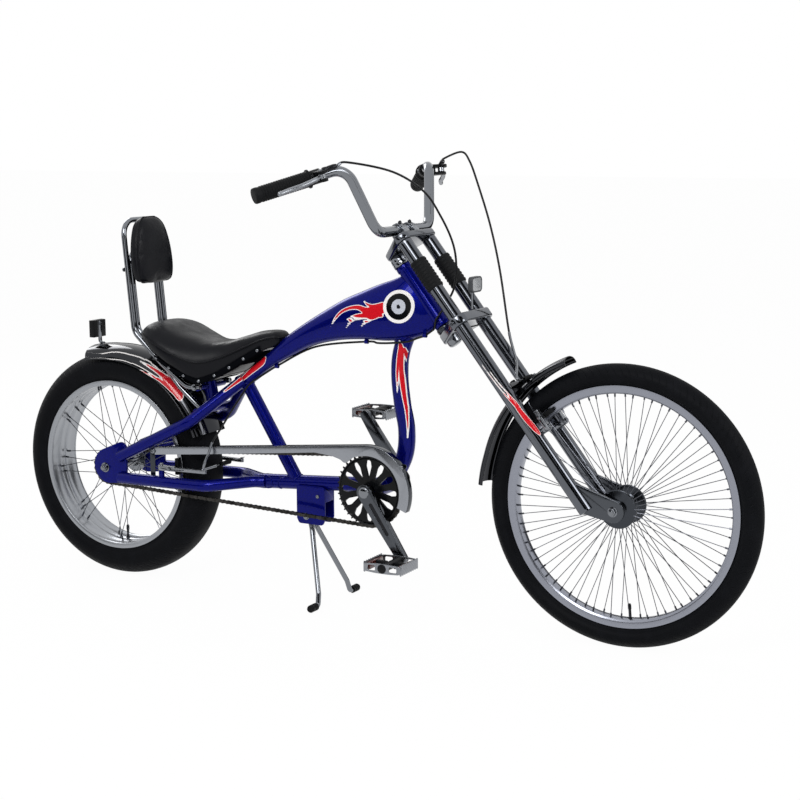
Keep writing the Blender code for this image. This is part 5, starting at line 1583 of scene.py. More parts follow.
@dataclass
class Fenders:
    """Rear fender on the frame and the short front fender between the fork legs."""

    rear_top: float = 296.0
    rear_edge: float = 262.0
    rear_half: float = 57.0
    rear_angles: tuple[float, float] = (20.0, 105.0)
    front_top: float = 329.0
    front_edge: float = 312.0
    front_half: float = 29.5
    front_rise: float = 8.0
    front_angles: tuple[float, float] = (113.0, 178.0)
    edge_radius: float = 1.7
    along: int = 110
    across: int = 32

    def shell(self, centre: np.ndarray, top: float, edge: float, half: float, thick: float,
              span: tuple[float, float], lift: Callable[[float], float]) -> Shape:
        """Curved shell around a tyre with a rolled edge.

        Args:
            centre: Middle of the wheel.
            top: Outer radius at the middle.
            edge: Outer radius at both edges.
            half: Half width.
            thick: Thickness of the sheet.
            span: First and last angle in degrees.
            lift: Extra radius at an angle.

        Returns:
            The closed shape.
        """
        rows, left, right = [], [], []
        for angle in np.linspace(*span, self.along):
            w = math.radians(angle)
            out = np.array([math.cos(w), 0.0, math.sin(w)])
            extra = lift(angle)
            loop = []
            for depth in (0.0, thick):
                row = []
                for k in range(self.across + 1):
                    f = math.pi * k / self.across
                    y = -(half - depth) * math.cos(f)
                    rise = max(math.sin(f), 0.0) ** 0.8
                    row.append(centre + (edge + extra + (top - depth - edge) * rise) * out + y * SIDE)
                loop.extend(row if depth == 0.0 else row[::-1])
            rows.append(loop)
            left.append(loop[0] + SIDE + 0.6 * out)
            right.append(loop[self.across] - SIDE + 0.6 * out)
        return grid(rows) + tube(left, self.edge_radius, 12) + tube(right, self.edge_radius, 12)

    def rear_art(self, points: np.ndarray) -> dict[str, np.ndarray]:
        """Flame that sweeps back over the fender's side, with two pinstripes behind it.

        Args:
            points: The mesh's points in millimetres.

        Returns:
            The attributes of the artwork.
        """
        flat = points[:, [0, 2]]
        tongues = [[(210, 459, 5), (206, 465, 7), (196, 478, 8), (184, 490, 7), (169, 502, 4.8), (148, 516, 3),
                    (122, 529, 2), (92, 541, 0)],
                   [(202, 468, 5), (190, 478, 6), (172, 489, 4), (150, 501, 2.8), (122, 512, 1.8), (96, 520, 0)],
                   [(204, 468, 5), (195, 486, 5), (182, 503, 3.4), (166, 517, 2), (146, 531, 0)]]
        flame = 100 - tongues_distance(flat, tongues)
        stripes = [[(150, 519), (112, 541), (67, 553), (20, 558), (-20, 552)],
                   [(146, 505), (118, 519), (84, 532), (44, 540), (4, 541)]]
        reach = np.minimum(*[line_distance(flat, line) for line in stripes])
        low, high = (np.interp(flat[:, 0], *np.array(sorted(line)).T) for line in stripes)
        stripe = 100 + reach * np.where((flat[:, 1] - low) * (flat[:, 1] - high) < 0, 1.0, -1.0)
        top = np.abs(points[:, 1]) < 12.0
        flame[top] = stripe[top] = 0.0
        return {"licks": flame, "stripe": stripe}

    def build(self) -> None:
        """Makes both fenders with their mounts and bolts."""
        # Both fenders take FENDER_CHROME, whose darkened base colour is painted dark reflection.
        rear = self.shell(LAY.rear_axle, self.rear_top, self.rear_edge, self.rear_half, 1.8, self.rear_angles,
                          lambda a: 0.28 * max(0.0, a - 93) + 0.2 * max(0.0, 30 - a))
        away = np.array(LAY.seat_cross) - LAY.rear_axle
        stem = rod(*(LAY.rear_axle + unit(away) * d for d in (self.rear_top - 2, np.linalg.norm(away) - 9)), 7.0)
        piece("fender_rear_shell", rear + stem, FENDER_CHROME, Body.FRAME, ["rear_fender"],
              paint=self.rear_art, sharp=50)
        centre = LAY.front_axle + self.front_rise * UP
        front = self.shell(centre, self.front_top, self.front_edge, self.front_half, 1.6, self.front_angles,
                           lambda a: 0.3 * max(0.0, a - 166))
        cross = slab(softened([(634, 50), (634, 72), (648, 72), (648, 50)], 3), -38.7, 38.7, LAY.steer)
        foot = slab(softened([(600, 54), (600, 90), (641, 90), (641, 54)], 4), -10.0, 10.0, LAY.steer)
        inside = turned([(200, -60), (self.front_top - 1.2, -60), (self.front_top - 1.2, 60), (200, 60)],
                        centre, SIDE, 192)
        piece("fender_front_shell", front + cross + carved(foot, cut=[inside]), FENDER_CHROME, Body.FORK,
              ["front_fender"], sharp=50)
        cap = LAY.steer(648, 61)
        piece("fender_front_bolt", bolt(cap, LAY.steer_up, 6.5, 6.0), ENAMEL, Body.FORK)


def cushion(name: str, shape: Shape, voxel: float, cap: float, pressure: float) -> Item:
    """Sews a closed cover and lets cloth simulation fill it.

    Args:
        name: Name of the piece.
        shape: The cover before it is filled.
        voxel: Size of the remesh in millimetres.
        cap: Farthest that a point may move in millimetres.
        pressure: Pressure inside the cover.

    Returns:
        The filled cushion.
    """
    item = loose_object(shape, name)
    even = item.modifiers.new("even", "REMESH")
    even.mode = "VOXEL"
    even.voxel_size = voxel * MM
    calm = item.modifiers.new("calm", "SMOOTH")
    calm.factor, calm.iterations = 0.5, 4
    bake(item)
    before = np.array([v.co[:] for v in item.data.vertices])
    cloth = item.modifiers.new("fill", "CLOTH")
    cloth.settings.quality = 6
    cloth.settings.use_pressure = True
    cloth.settings.uniform_pressure_force = pressure
    cloth.settings.effector_weights.gravity = 0.0
    for step in range(1, 21):
        bpy.context.scene.frame_set(step)
    bake(item)
    bpy.context.scene.frame_set(1)
    after = np.array([v.co[:] for v in item.data.vertices])
    move = after - before
    far = np.linalg.norm(move, axis=1)
    move *= (np.minimum(far, cap * MM) / np.maximum(far, 1e-9))[:, None]
    item.data.vertices.foreach_set("co", (before + move).ravel())
    soft = item.modifiers.new("soft", "SUBSURF")
    soft.levels = soft.render_levels = 1
    bake(item)
    return item


def new_tree(title: str, inputs: dict[str, tuple[str, Any]]) -> tuple[Tree, Any]:
    """Geometry node tree with named inputs.

    Args:
        title: Name of the tree.
        inputs: Socket type and starting value of each named input.

    Returns:
        The tree and the sockets that its inputs arrive at.
    """
    tree = bpy.data.node_groups.new(title, "GeometryNodeTree")
    for way in ("OUTPUT", "INPUT"):
        tree.interface.new_socket(name="Geometry", in_out=way, socket_type="NodeSocketGeometry")
    for name, (kind, value) in inputs.items():
        socket = tree.interface.new_socket(name=name, in_out="INPUT", socket_type="NodeSocket" + kind)
        if value is not None:
            socket.default_value = value
    return tree, add(tree, "NodeGroupInput").outputs


def close_tree(tree: Tree, geometry: bpy.types.Node, given: Any) -> Tree:
    """Ends a tree in plain geometry with its material.

    Args:
        tree: The tree.
        geometry: Node whose instances are made real.
        given: Node of the tree's inputs.

    Returns:
        The same tree.
    """
    real = add(tree, "GeometryNodeRealizeInstances", {0: geometry})
    dressed = add(tree, "GeometryNodeSetMaterial", {"Geometry": real, "Material": given["Material"]})
    add(tree, "NodeGroupOutput", {0: dressed})
    return tree


def grown(name: str, tree: Tree, values: dict[str, Any],
          base: bpy.types.Mesh | None = None) -> Item:
    """Runs a tree and keeps its result as a plain mesh.

    Args:
        name: Name of the object.
        tree: The geometry node tree.
        values: Values of its named inputs.
        base: Mesh that the tree starts from.

    Returns:
        The object with its plain mesh.
    """
    item = linked(name, base or bpy.data.meshes.new(name))
    maker = item.modifiers.new("maker", "NODES")
    maker.node_group = tree
    for socket in tree.interface.items_tree:
        if socket.in_out == "INPUT" and socket.name in values:
            maker[socket.identifier] = values[socket.name]
    bake(item)
    return item


def copies_tree() -> Tree:
    """Tree that puts a template on every point, turned by the attributes "look" and "run".

    Returns:
        The node group, made once.
    """
    found = bpy.data.node_groups.get("placed_copies")
    if found:
        return found
    tree, given = new_tree("placed_copies", {
        "Template": ("Object", None), "Size": ("Float", 1.0), "Material": ("Material", None)})
    model = add(tree, "GeometryNodeObjectInfo", {"Object": given["Template"]})
    look, run = (add(tree, "GeometryNodeInputNamedAttribute", {"Name": name}, data_type="FLOAT_VECTOR")
                 for name in ("look", "run"))
    up = add(tree, "FunctionNodeAlignRotationToVector", {"Vector": look}, axis="Z")
    both = add(tree, "FunctionNodeAlignRotationToVector", {"Rotation": up, "Vector": run},
               axis="X", pivot_axis="Z")
    placed = add(tree, "GeometryNodeInstanceOnPoints", {
        "Points": given["Geometry"], "Instance": model.outputs["Geometry"], "Rotation": both,
        "Scale": given["Size"]})
    return close_tree(tree, placed, given)


def copies(name: str, template: Shape, places: Sequence[tuple], finish: Finish, body: str,
           replaces: Sequence[str] = ()) -> Item:
    """Repeats a small template at many places with geometry nodes.

    Args:
        name: Name of the piece.
        template: Shape around the origin that looks up its Z axis.
        places: Point, look direction and, where it matters, run direction of each copy.
        finish: The finish of the surface.
        body: Body that carries the copies.
        replaces: CAD nodes that they stand for.

    Returns:
        The object with all copies.
    """
    base = bpy.data.meshes.new(name)
    base.from_pydata([tuple(np.asarray(place[0], float) * MM) for place in places], [], [])
    looks = [unit(np.asarray(place[1], float)) for place in places]
    runs = [unit(np.asarray(place[2], float)) if len(place) > 2 else AHEAD for place in places]
    for key, vectors in (("look", looks), ("run", runs)):
        base.attributes.new(key, "FLOAT_VECTOR", "POINT").data.foreach_set("vector", np.array(vectors).ravel())
    model = loose_object(template, "template")
    item = grown(name, copies_tree(), {"Template": model, "Size": 1.0, "Material": finish.material()}, base)
    drop(model)
    return settle(item, finish, body, replaces)


def wires_tree() -> Tree:
    """Tree that laces a wheel: crossed wires from two flanges to the rim, each with its nipple.

    Returns:
        The node group, made once.
    """
    found = bpy.data.node_groups.get("laced_wires")
    if found:
        return found
    sizes = ("Hub radius", "Rim radius", "Hub half", "Rim half", "Cross angle", "Hub spread", "Rim spread",
             "Wire radius", "Nipple radius", "Nipple length")
    tree, given = new_tree("laced_wires", {
        "Wires": ("Int", 36), **{name: ("Float", 0.01) for name in sizes},
        "Axle": ("Vector", (0.0, 0.0, 0.0)), "Material": ("Material", None)})
    value: dict[str, Any] = {name: given[name] for name in ("Wires",) + sizes}
    value["index"] = add(tree, "GeometryNodeInputIndex")
    formulas = {
        "odd": ("MODULO", "index", 2.0), "flip": ("MULTIPLY_ADD", "odd", -2.0, 1.0),
        "halved": ("MULTIPLY", "index", 0.5), "pair": ("FLOOR", "halved"),
        "second": ("MODULO", "pair", 2.0), "lean": ("MULTIPLY_ADD", "second", 2.0, -1.0),
        "offset": ("MULTIPLY_ADD", "odd", 0.5, "pair"), "share": ("DIVIDE", "offset", "Wires"),
        "start": ("MULTIPLY", "share", 4 * math.pi), "stop": ("MULTIPLY_ADD", "lean", "Cross angle", "start"),
        "in_side": ("MULTIPLY_ADD", "lean", "Hub spread", "Hub half"), "in_y": ("MULTIPLY", "in_side", "flip"),
        "out_side": ("MULTIPLY_ADD", "lean", "Rim spread", "Rim half"), "out_y": ("MULTIPLY", "out_side", "flip"),
        "in_sin": ("SINE", "start"), "in_cos": ("COSINE", "start"), "out_sin": ("SINE", "stop"),
        "out_cos": ("COSINE", "stop"), "in_x": ("MULTIPLY", "in_sin", "Hub radius"),
        "in_down": ("MULTIPLY", "in_cos", "Hub radius"), "in_z": ("MULTIPLY", "in_down", -1.0),
        "out_x": ("MULTIPLY", "out_sin", "Rim radius"), "out_down": ("MULTIPLY", "out_cos", "Rim radius"),
        "out_z": ("MULTIPLY", "out_down", -1.0)}
    for key, (operation, *terms) in formulas.items():
        value[key] = add(tree, "ShaderNodeMath", {i: value.get(term, term) for i, term in enumerate(terms)},
                         operation=operation)
    start, stop = (add(tree, "ShaderNodeCombineXYZ", {i: value[f"{end}_{axis}"] for i, axis in enumerate("xyz")})
                   for end in ("in", "out"))
    reach = add(tree, "ShaderNodeVectorMath", {0: stop, 1: start}, operation="SUBTRACT")
    length = add(tree, "ShaderNodeVectorMath", {0: reach}, operation="LENGTH").outputs["Value"]
    turn = add(tree, "FunctionNodeAlignRotationToVector", {"Vector": reach}, axis="Z")
    stretch = add(tree, "ShaderNodeCombineXYZ", {0: 1.0, 1: 1.0, 2: length})
    points = add(tree, "GeometryNodeMeshLine", {"Count": given["Wires"]})
    joined = add(tree, "GeometryNodeJoinGeometry")
    for place, radius, depth, rise, scale in (
            (start, given["Wire radius"], 1.0, 0.5, stretch),
            (stop, given["Nipple radius"], given["Nipple length"], 0.0, (1.0, 1.0, 1.0))):
        there = add(tree, "ShaderNodeVectorMath", {0: place, 1: given["Axle"]}, operation="ADD")
        spots = add(tree, "GeometryNodeSetPosition", {"Geometry": points, "Position": there})
        bar = add(tree, "GeometryNodeMeshCylinder", {"Vertices": 8, "Radius": radius, "Depth": depth})
        moved = add(tree, "GeometryNodeTransform", {"Geometry": bar, "Translation": (0.0, 0.0, rise)})
        placed = add(tree, "GeometryNodeInstanceOnPoints", {
            "Points": spots, "Instance": moved, "Rotation": turn, "Scale": scale})
        feed(tree, joined, {0: placed})
    return close_tree(tree, joined, given)


def coil_tree() -> Tree:
    """Tree that winds a wire into a spring between two heights.

    Returns:
        The node group.
    """
    tree, given = new_tree("wound_spring", {
        "Turns": ("Float", 10.0), "Coil radius": ("Float", 0.006), "Wire radius": ("Float", 0.001),
        "Length": ("Float", 0.05), "Place": ("Vector", (0.0, 0.0, 0.0)), "Look": ("Vector", (0.0, 0.0, 1.0)),
        "Material": ("Material", None)})
    path = add(tree, "GeometryNodeCurveSpiral", {
        "Resolution": 20, "Rotations": given["Turns"], "Start Radius": given["Coil radius"],
        "End Radius": given["Coil radius"], "Height": given["Length"]})
    section = add(tree, "GeometryNodeCurvePrimitiveCircle", {"Resolution": 8, "Radius": given["Wire radius"]})
    wire = add(tree, "GeometryNodeCurveToMesh", {"Curve": path, "Fill Caps": True, "Profile Curve": section})
    turn = add(tree, "FunctionNodeAlignRotationToVector", {"Vector": given["Look"]}, axis="Z")
    placed = add(tree, "GeometryNodeTransform", {
        "Geometry": wire, "Rotation": turn, "Translation": given["Place"]})
    return close_tree(tree, placed, given)


def spring(name: str, start: Any, stop: Any, coil: float, wire: float, turns: float, body: str) -> None:
    """Winds one spring between two points.

    Args:
        name: Name of the piece.
        start: Lower end of its middle line.
        stop: Upper end of its middle line.
        coil: Radius of the coil.
        wire: Radius of the wire.
        turns: Number of turns.
        body: Body that it rides on.
    """
    a, b = np.asarray(start, float), np.asarray(stop, float)
    item = grown(name, coil_tree(), {
        "Turns": float(turns), "Coil radius": coil * MM, "Wire radius": wire * MM,
        "Length": float(np.linalg.norm(b - a)) * MM, "Place": tuple(a * MM), "Look": tuple(unit(b - a)),
        "Material": WIRE.material()})
    settle(item, WIRE, body)


@dataclass
class Drive:
    """Chain, toothed wheels, cranks, pedals and the chain guard."""

    crank_length: float = 170.0
    crank_angle: float = math.radians(-56.0)
    arm_in: float = 78.0
    arm_out: float = 92.0
    spindle_radius: float = 8.5
    slots: int = 12
    guard_out: float = -74.0
    guard_thick: float = 1.6
    guard_reach: float = 104.0
    guard_lip: float = 18.0
    pedal_in: float = 96.0
    pedal_out: float = 182.0
    pedal_end: float = 174.0
    pedal_half: float = 46.0
    pedal_teeth: int = 9
    tooth_half: float = 1.1
    link_round: float = 4.1
    link_waist: float = 3.0
    link_plates: tuple = ((3.4, 4.4), (2.2, 3.2))
    link_rounds: tuple = ((1.9, 4.9), (3.9, 2.1))
    groove: float = 1.8
    cage_plate: float = 2.2
    cage_bow: float = 2.4
    guard_band: float = 24.0
    guard_arc: tuple[float, float] = (96.0, -22.0)
    guard_end: tuple[float, float, float] = (142.0, 329.3, 9.2)

    def teeth(self, count: int) -> list[tuple[float, float]]:
        """Outline of a toothed wheel whose valleys fit the chain's rollers.

        Args:
            count: Number of teeth.

        Returns:
            The outline, its centre at zero.
        """
        radius, roller = LAY.pitch_radius(count), 4.0
        out = []
        for k in range(count):
            w = 2 * math.pi * k / count
            for off in (-0.9, 0.9):
                a = w + off / radius
                out.append(((radius + 3.0) * math.cos(a), (radius + 3.0) * math.sin(a)))
            middle = w + math.pi / count
            cx, cz = radius * math.cos(middle), radius * math.sin(middle)
            for f in (-70, -35, 0, 35, 70):
                a = middle + math.pi - math.radians(f)
                out.append((cx + roller * math.cos(a), cz + roller * math.sin(a)))
        return out

    def phased(self, outline: Points) -> list[tuple[float, float]]:
        """Turns an outline so that its teeth meet the chain."""
        phase = math.atan2(LAY.bracket[1] - LAY.rear_radius, LAY.bracket[0])
        c, s = math.cos(phase), math.sin(phase)
        return [(u * c - v * s, u * s + v * c) for u, v in outline]

    def pins(self) -> tuple[list[np.ndarray], list[np.ndarray]]:
        """Middle of every chain pin, and its outward direction.

        Returns:
            The pins' places and their directions, in the order of the route.
        """
        small, large = LAY.pitch_radius(LAY.cog_teeth), LAY.pitch_radius(LAY.ring_teeth)
        back, front = np.array([0.0, LAY.rear_radius]), np.array(LAY.bracket)
        span = np.linalg.norm(front - back)
        slope = math.atan2(front[1] - back[1], front[0] - back[0])
        lean = math.asin((large - small) / span)
        run = span * math.cos(lean)
        ring_arc, cog_arc = math.pi + 2 * lean, math.pi - 2 * lean
        length = 2 * run + large * ring_arc + small * cog_arc
        links = 2 * round(length / LAY.pitch / 2)
        places, outs = [], []
        for k in range(links):
            d = ((2 * k + 1) * length / links / 2 + large * ring_arc / 2) % length
            if d < large * ring_arc:
                w, hub, radius, slide = slope - ring_arc / 2 + d / large, front, large, 0.0
            elif d < large * ring_arc + run:
                w, hub, radius, slide = slope + ring_arc / 2, front, large, (d - large * ring_arc) / run
            elif d < large * ring_arc + run + small * cog_arc:
                w = slope + ring_arc / 2 + (d - large * ring_arc - run) / small
                hub, radius, slide = back, small, 0.0
            else:
                slide = (d - large * ring_arc - run - small * cog_arc) / run
                w, hub, radius = slope - ring_arc / 2, back, small
            out = np.array([math.cos(w), math.sin(w)])
            other = back - front if hub is front else front - back
            change = (small - large) if hub is front else (large - small)
            spot = hub + radius * out + (other + change * out) * slide
            places.append(np.array([spot[0], LAY.chain_line, spot[1]]))
            outs.append(np.array([out[0], 0.0, out[1]]))
        return places, outs

    def link(self, inner: bool) -> Shape:
        """One link: a pair of waisted plates with rollers, or with riveted pins.

        Args:
            inner: True for a link with rollers.

        Returns:
            The link, its middle at zero.
        """
        half = LAY.pitch / 2
        outline = []
        for way in (1, -1):
            for a in (-90, -50, 0, 50, 90):
                w = math.radians(a) + (0 if way > 0 else math.pi)
                outline.append((way * half + self.link_round * math.cos(w), self.link_round * math.sin(w)))
            outline.append((0.0, way * self.link_waist))
        near, far = self.link_plates[inner]
        shapes = [plate(outline, s, near, far) for s in (-1, 1)]
        for x in (-half, half):
            radius, reach = self.link_rounds[inner]
            shapes.append(tube([(x, -reach, 0), (x, reach, 0)], radius, 10))
        return together(shapes)

    def build_chain(self) -> None:
        """Lays inner and outer links in turn along the route."""
        places, outs = self.pins()
        spots: tuple[list, list] = ([], [])
        for k, here in enumerate(places):
            after = places[(k + 1) % len(places)]
            out = unit(outs[k] + outs[(k + 1) % len(outs)])
            spots[k % 2].append((0.5 * (here + after), out, after - here))
        copies("chain_inner_links", self.link(True), spots[0], CHAIN_STEEL, Body.FRAME, ["chain"])
        copies("chain_outer_links", self.link(False), spots[1], CHAIN_STEEL, Body.FRAME)

    def toothed(self, count: int, place: Callable) -> Shape:
        """Flat toothed wheel in the chain's plane, before its hub is added."""
        line = LAY.chain_line
        return slab(self.phased(self.teeth(count)), line - self.tooth_half, line + self.tooth_half, place)

    @staticmethod
    def drill(axle: np.ndarray, radius: float, segments: int) -> Shape:
        """Cutter along an axle, through all that lies at the chain's side."""
        return rod(axle - 90 * SIDE, axle - 40 * SIDE, radius, segments, chamfer=0)

    def build_wheels(self) -> None:
        """Cuts the slotted chainring and the rear sprocket."""
        crank_place = beside(LAY.crank_axle)
        y = LAY.chain_line
        radius = LAY.pitch_radius(LAY.ring_teeth)
        blank = self.toothed(LAY.ring_teeth, crank_place)
        disc = turned([(0, -4.5), (radius - 9, -4.5), (radius - 7.5, -3.4), (radius - 7.5, -0.9), (0, -0.9)],
                      LAY.crank_axle + y * SIDE, SIDE, 144, hollow=False)
        slots = []
        for k in range(self.slots):
            w = 2 * math.pi * k / self.slots
            leaf = softened([(32, -1.2), (56, -7.4), (70, -5.5), (70, 5.5), (56, 7.4), (32, 1.2)], 5, 6)
            spun = [(u * math.cos(w) - v * math.sin(w), u * math.sin(w) + v * math.cos(w)) for u, v in leaf]
            slots.append(slab(spun, y - 9, y + 9, crank_place))
        hole = self.drill(LAY.crank_axle, 15.3, 48)
        wheel = carved(blank, add=[disc], cut=[together(slots), hole])
        piece("chainring_slotted", wheel, ENAMEL, Body.CRANK, ["chainring"], bevel=0.5, sharp=30)
        bead = turned([(76.5 + 1.3 * math.cos(a), -4.6 + 0.9 * math.sin(a))
                       for a in np.linspace(0, 2 * math.pi, 12, endpoint=False)],
                      LAY.crank_axle + y * SIDE, SIDE, 144)
        piece("chainring_bead", bead, DARK_STEEL, Body.CRANK)
        cog = self.toothed(LAY.cog_teeth, beside(LAY.rear_axle))
        hub = turned([(5.8, -8), (21, -8), (23, -6.8), (25, -6), (25, -2), (30, -1), (30, 1.2), (25, 2),
                      (25, 17), (24, 18), (5.8, 18)], LAY.rear_axle + y * SIDE, SIDE, 64)
        hole = self.drill(LAY.rear_axle, 6.0, 32)
        piece("rear_sprocket_cog", carved(cog, cut=[hole]) + hub, DARK_STEEL, Body.FREEWHEEL,
              ["rear_sprocket"], bevel=0.4, sharp=30)

    def arm_end(self, side: int) -> np.ndarray:
        """Pedal end of a crank arm, in the wheels' plane from the crank axle."""
        reach = -side * self.crank_length
        return np.array([reach * math.cos(self.crank_angle), 0.0, reach * math.sin(self.crank_angle)])

    def build_cranks(self) -> None:
        """Forges the two arms with their long grooves, the spindle and the caps, and lays a dark plate in each
        groove as painted shade.
        """
        spindle = crossbar(LAY.crank_axle, 90, self.spindle_radius, 32)
        right = turned([(0, 41), (13, 41), (15, 44), (15, 74), (17.5, 78), (0, 78)], LAY.crank_axle, -SIDE,
                       48, hollow=False)
        left = turned([(0, 41), (11, 41), (13, 44), (13, 78), (0, 78)], LAY.crank_axle, SIDE, 48,
                      hollow=False)
        shapes = [spindle, right, left]
        grooves, caps = [], []
        crank_place = beside(LAY.crank_axle)
        for side, _ in SIDES:
            end = self.arm_end(side)
            arm = plate(around([(0, 0, 18), (0.45 * end[0], 0.45 * end[2], 9.0), (end[0], end[2], 11.5)], 64),
                        side, self.arm_in, self.arm_out, crank_place)
            a, b = 0.19 * end, 0.62 * end
            stadium = around([(a[0], a[2], 4.6), (b[0], b[2], 4.0)], 32)
            cut = plate(stadium, side, self.arm_out - self.groove, self.arm_out + 4, crank_place)
            shapes.append(carved(arm, cut=[cut]))
            # Painted shade: a thin dark steel plate laid on the floor of each groove.
            groove_shade_outline = around([(a[0], a[2], 4.3), (b[0], b[2], 3.7)], 32)
            grooves.append(plate(groove_shade_outline, side, self.arm_out - 2.0, self.arm_out - 1.3, crank_place))
            tip = LAY.crank_axle + end
            shapes.append(rod(tip + side * (self.arm_in + 4) * SIDE, tip + side * (self.pedal_end - 0.5) * SIDE,
                              LAY.axle_radius, 24))
            caps.append(dome(LAY.crank_axle + side * self.arm_out * SIDE, side * SIDE, 13.0, 3.4, 48))
            caps.append(turned([(0, -0.2), (8.5, -0.2), (8.5, 1.2), (6.4, 1.6), (5.4, 0.8), (0, 0.8)],
                               tip + side * self.arm_out * SIDE, side * SIDE, 32, hollow=False))
        # The arms take FORGED, whose dark base colour is painted dark reflection.
        piece("crank_forging", together(shapes), FORGED, Body.CRANK, ["crankset"], bevel=1.4, bevel_angle=50)
        piece("crank_grooves", together(grooves), DARK_STEEL, Body.CRANK)
        piece("crank_caps", together(caps), CHROME, Body.CRANK)

    def build_pedals(self) -> None:
        """Cages with toothed plates, barrels, end caps and markers."""
        for side, name in SIDES:
            body = "pedal_" + name[0]
            tip = LAY.crank_axle + self.arm_end(side)
            middle = tip + side * 0.5 * (self.pedal_in + self.pedal_out) * SIDE
            half = 0.5 * (self.pedal_out - self.pedal_in - 3.0)
            plates, edge = [], []
            for k in range(self.pedal_teeth):
                y = -half + 2 * half * (k + 0.5) / self.pedal_teeth
                edge += [(y - 3.0, 10.2), (y - 0.9, 12.0), (y + 0.9, 12.0), (y + 3.0, 10.2)]
            outline = edge + [(-y, -z) for y, z in edge]
            for way in (-1, 1):
                x = way * self.pedal_half
                low, high = sorted((x, x - way * self.cage_plate))
                plates.append(slab(outline, low, high, lambda u, v, w: middle + np.array([w, u, v])))
                y = way * (half - 1.0)
                bow = softened([(-45, -9), (-14, -11), (14, -11), (45, -9), (45, 9), (14, 11), (-14, 11),
                                (-45, 9)], 6)
                low, high = sorted((y, y - way * self.cage_bow))
                holes = [slab(softened([(s * 17, -6), (s * 36, -6), (s * 36, 6), (s * 17, 6)], 4), low - 3,
                              high + 3, beside(middle)) for s in (-1, 1)]
                plates.append(carved(slab(bow, low, high, beside(middle)), cut=holes))
            piece("pedal_cage_" + name, together(plates), ALLOY, body, ["pedal_" + name], bevel=0.4)
            near, far = self.pedal_in, self.pedal_out
            profile = [(5.4, near), (9.5, near), (11, near + 2), (10.4, near + 9), (9.2, near + 30),
                       (9.2, far - 30), (10.4, far - 9), (11, far - 6), (10, far - 1), (8, far), (0, far),
                       (0, self.pedal_end + 0.3), (5.4, self.pedal_end + 0.3)]
            barrel = turned(profile, tip, side * SIDE, 40)
            piece("pedal_barrel_" + name, barrel, PLASTIC, body, bevel=0.3)
            webs = [block(middle + s * 24.0 * AHEAD, (30.0, 9.0, 15.0)) for s in (-1, 1)]
            piece("pedal_webs_" + name, together(webs), PLASTIC, body, bevel=1.5)
            lenses = [block(middle + s * 39.5 * AHEAD, (8.0, 58.0, 16.0)) for s in (-1, 1)]
            piece("pedal_markers_" + name, together(lenses), LENS_AMBER, body, bevel=0.8)

    def build_guard(self) -> None:
        """Pressed guard over the chain that wraps the chainring, with its lip and bolts."""
        x, z = LAY.bracket
        reach, inside = self.guard_reach, self.guard_reach - self.guard_band
        arc = np.linspace(*map(math.radians, self.guard_arc), 60)
        crown = [(x + reach * math.cos(w), z + reach * math.sin(w)) for w in arc]
        inner = [(x + inside * math.cos(w), z + inside * math.sin(w)) for w in arc[::-1][:-1]]
        end_x, end_z, end_radius = self.guard_end
        tail = [(end_x + end_radius * math.cos(w), end_z + end_radius * math.sin(w))
                for w in np.linspace(1.45 * math.pi, 0.53 * math.pi, 14)]
        rest = bent([(x + inside * math.cos(arc[0]), z + inside * math.sin(arc[0]), 0), (x - 34, z + 76, 0),
                     (x - 58, z + 57, 0), (x - 70, z + 66, 0), (x - 92, z + 72, 0), (x - 137, z + 76, 0),
                     (280, 333.5, 0), (end_x, end_z - end_radius, 0)], 30, 6)
        sheet = slab(tail + crown + inner + [(p[0], p[1]) for p in rest[1:-1]], self.guard_out,
                     self.guard_out + self.guard_thick, flat_place)
        path = tail[7:] + crown
        under = []
        for k, p in enumerate(path):
            a, b = np.array(path[max(0, k - 1)]), np.array(path[min(len(path) - 1, k + 1)])
            t = unit(b - a)
            under.append(tuple(np.array(p) + self.guard_thick * np.array([t[1], -t[0]])))
        lip = slab(path + under[::-1], self.guard_out + 0.2, self.guard_out + self.guard_lip, flat_place)
        far = self.guard_out + self.guard_lip
        tab = block((140, self.guard_out + 0.8, 296), (14, self.guard_thick, 72))
        arm = slab(around([(x + 86, z + 62, 5), (x + 46, z + 62, 5)]), far - 3, far - 0.5, flat_place)
        post = rod((x + 46, far - 2, z + 62), (x + 46, -14, z + 62), 4.0)
        # The pressing takes GUARD_CHROME, whose lighter base colour is painted highlight; its lip takes the darker
        # copy of the chromium, painted shade.
        piece("chain_guard_pressing", sheet, GUARD_CHROME, Body.FRAME, ["chain_guard"], bevel=0.35, sharp=35,
              bevel_angle=60)
        piece("chain_guard_lip", together([lip, tab, arm, post]), SHADED_CHROME, Body.FRAME, bevel=0.3, sharp=35,
              bevel_angle=60)
        bolts = [bolt((u, self.guard_out, v), -SIDE, radius, height) for u, v, radius, height in (
            (end_x, end_z, 6.0, 3.4), (140, 266, 5.0, 3.0), (x + 86, z + 62, 5.0, 3.0))]
        piece("chain_guard_bolts", together(bolts), CHROME, Body.FRAME)

    def build(self) -> None:
        """Makes the whole drive."""
        self.build_chain()
        self.build_wheels()
        self.build_cranks()
        self.build_pedals()
        self.build_guard()


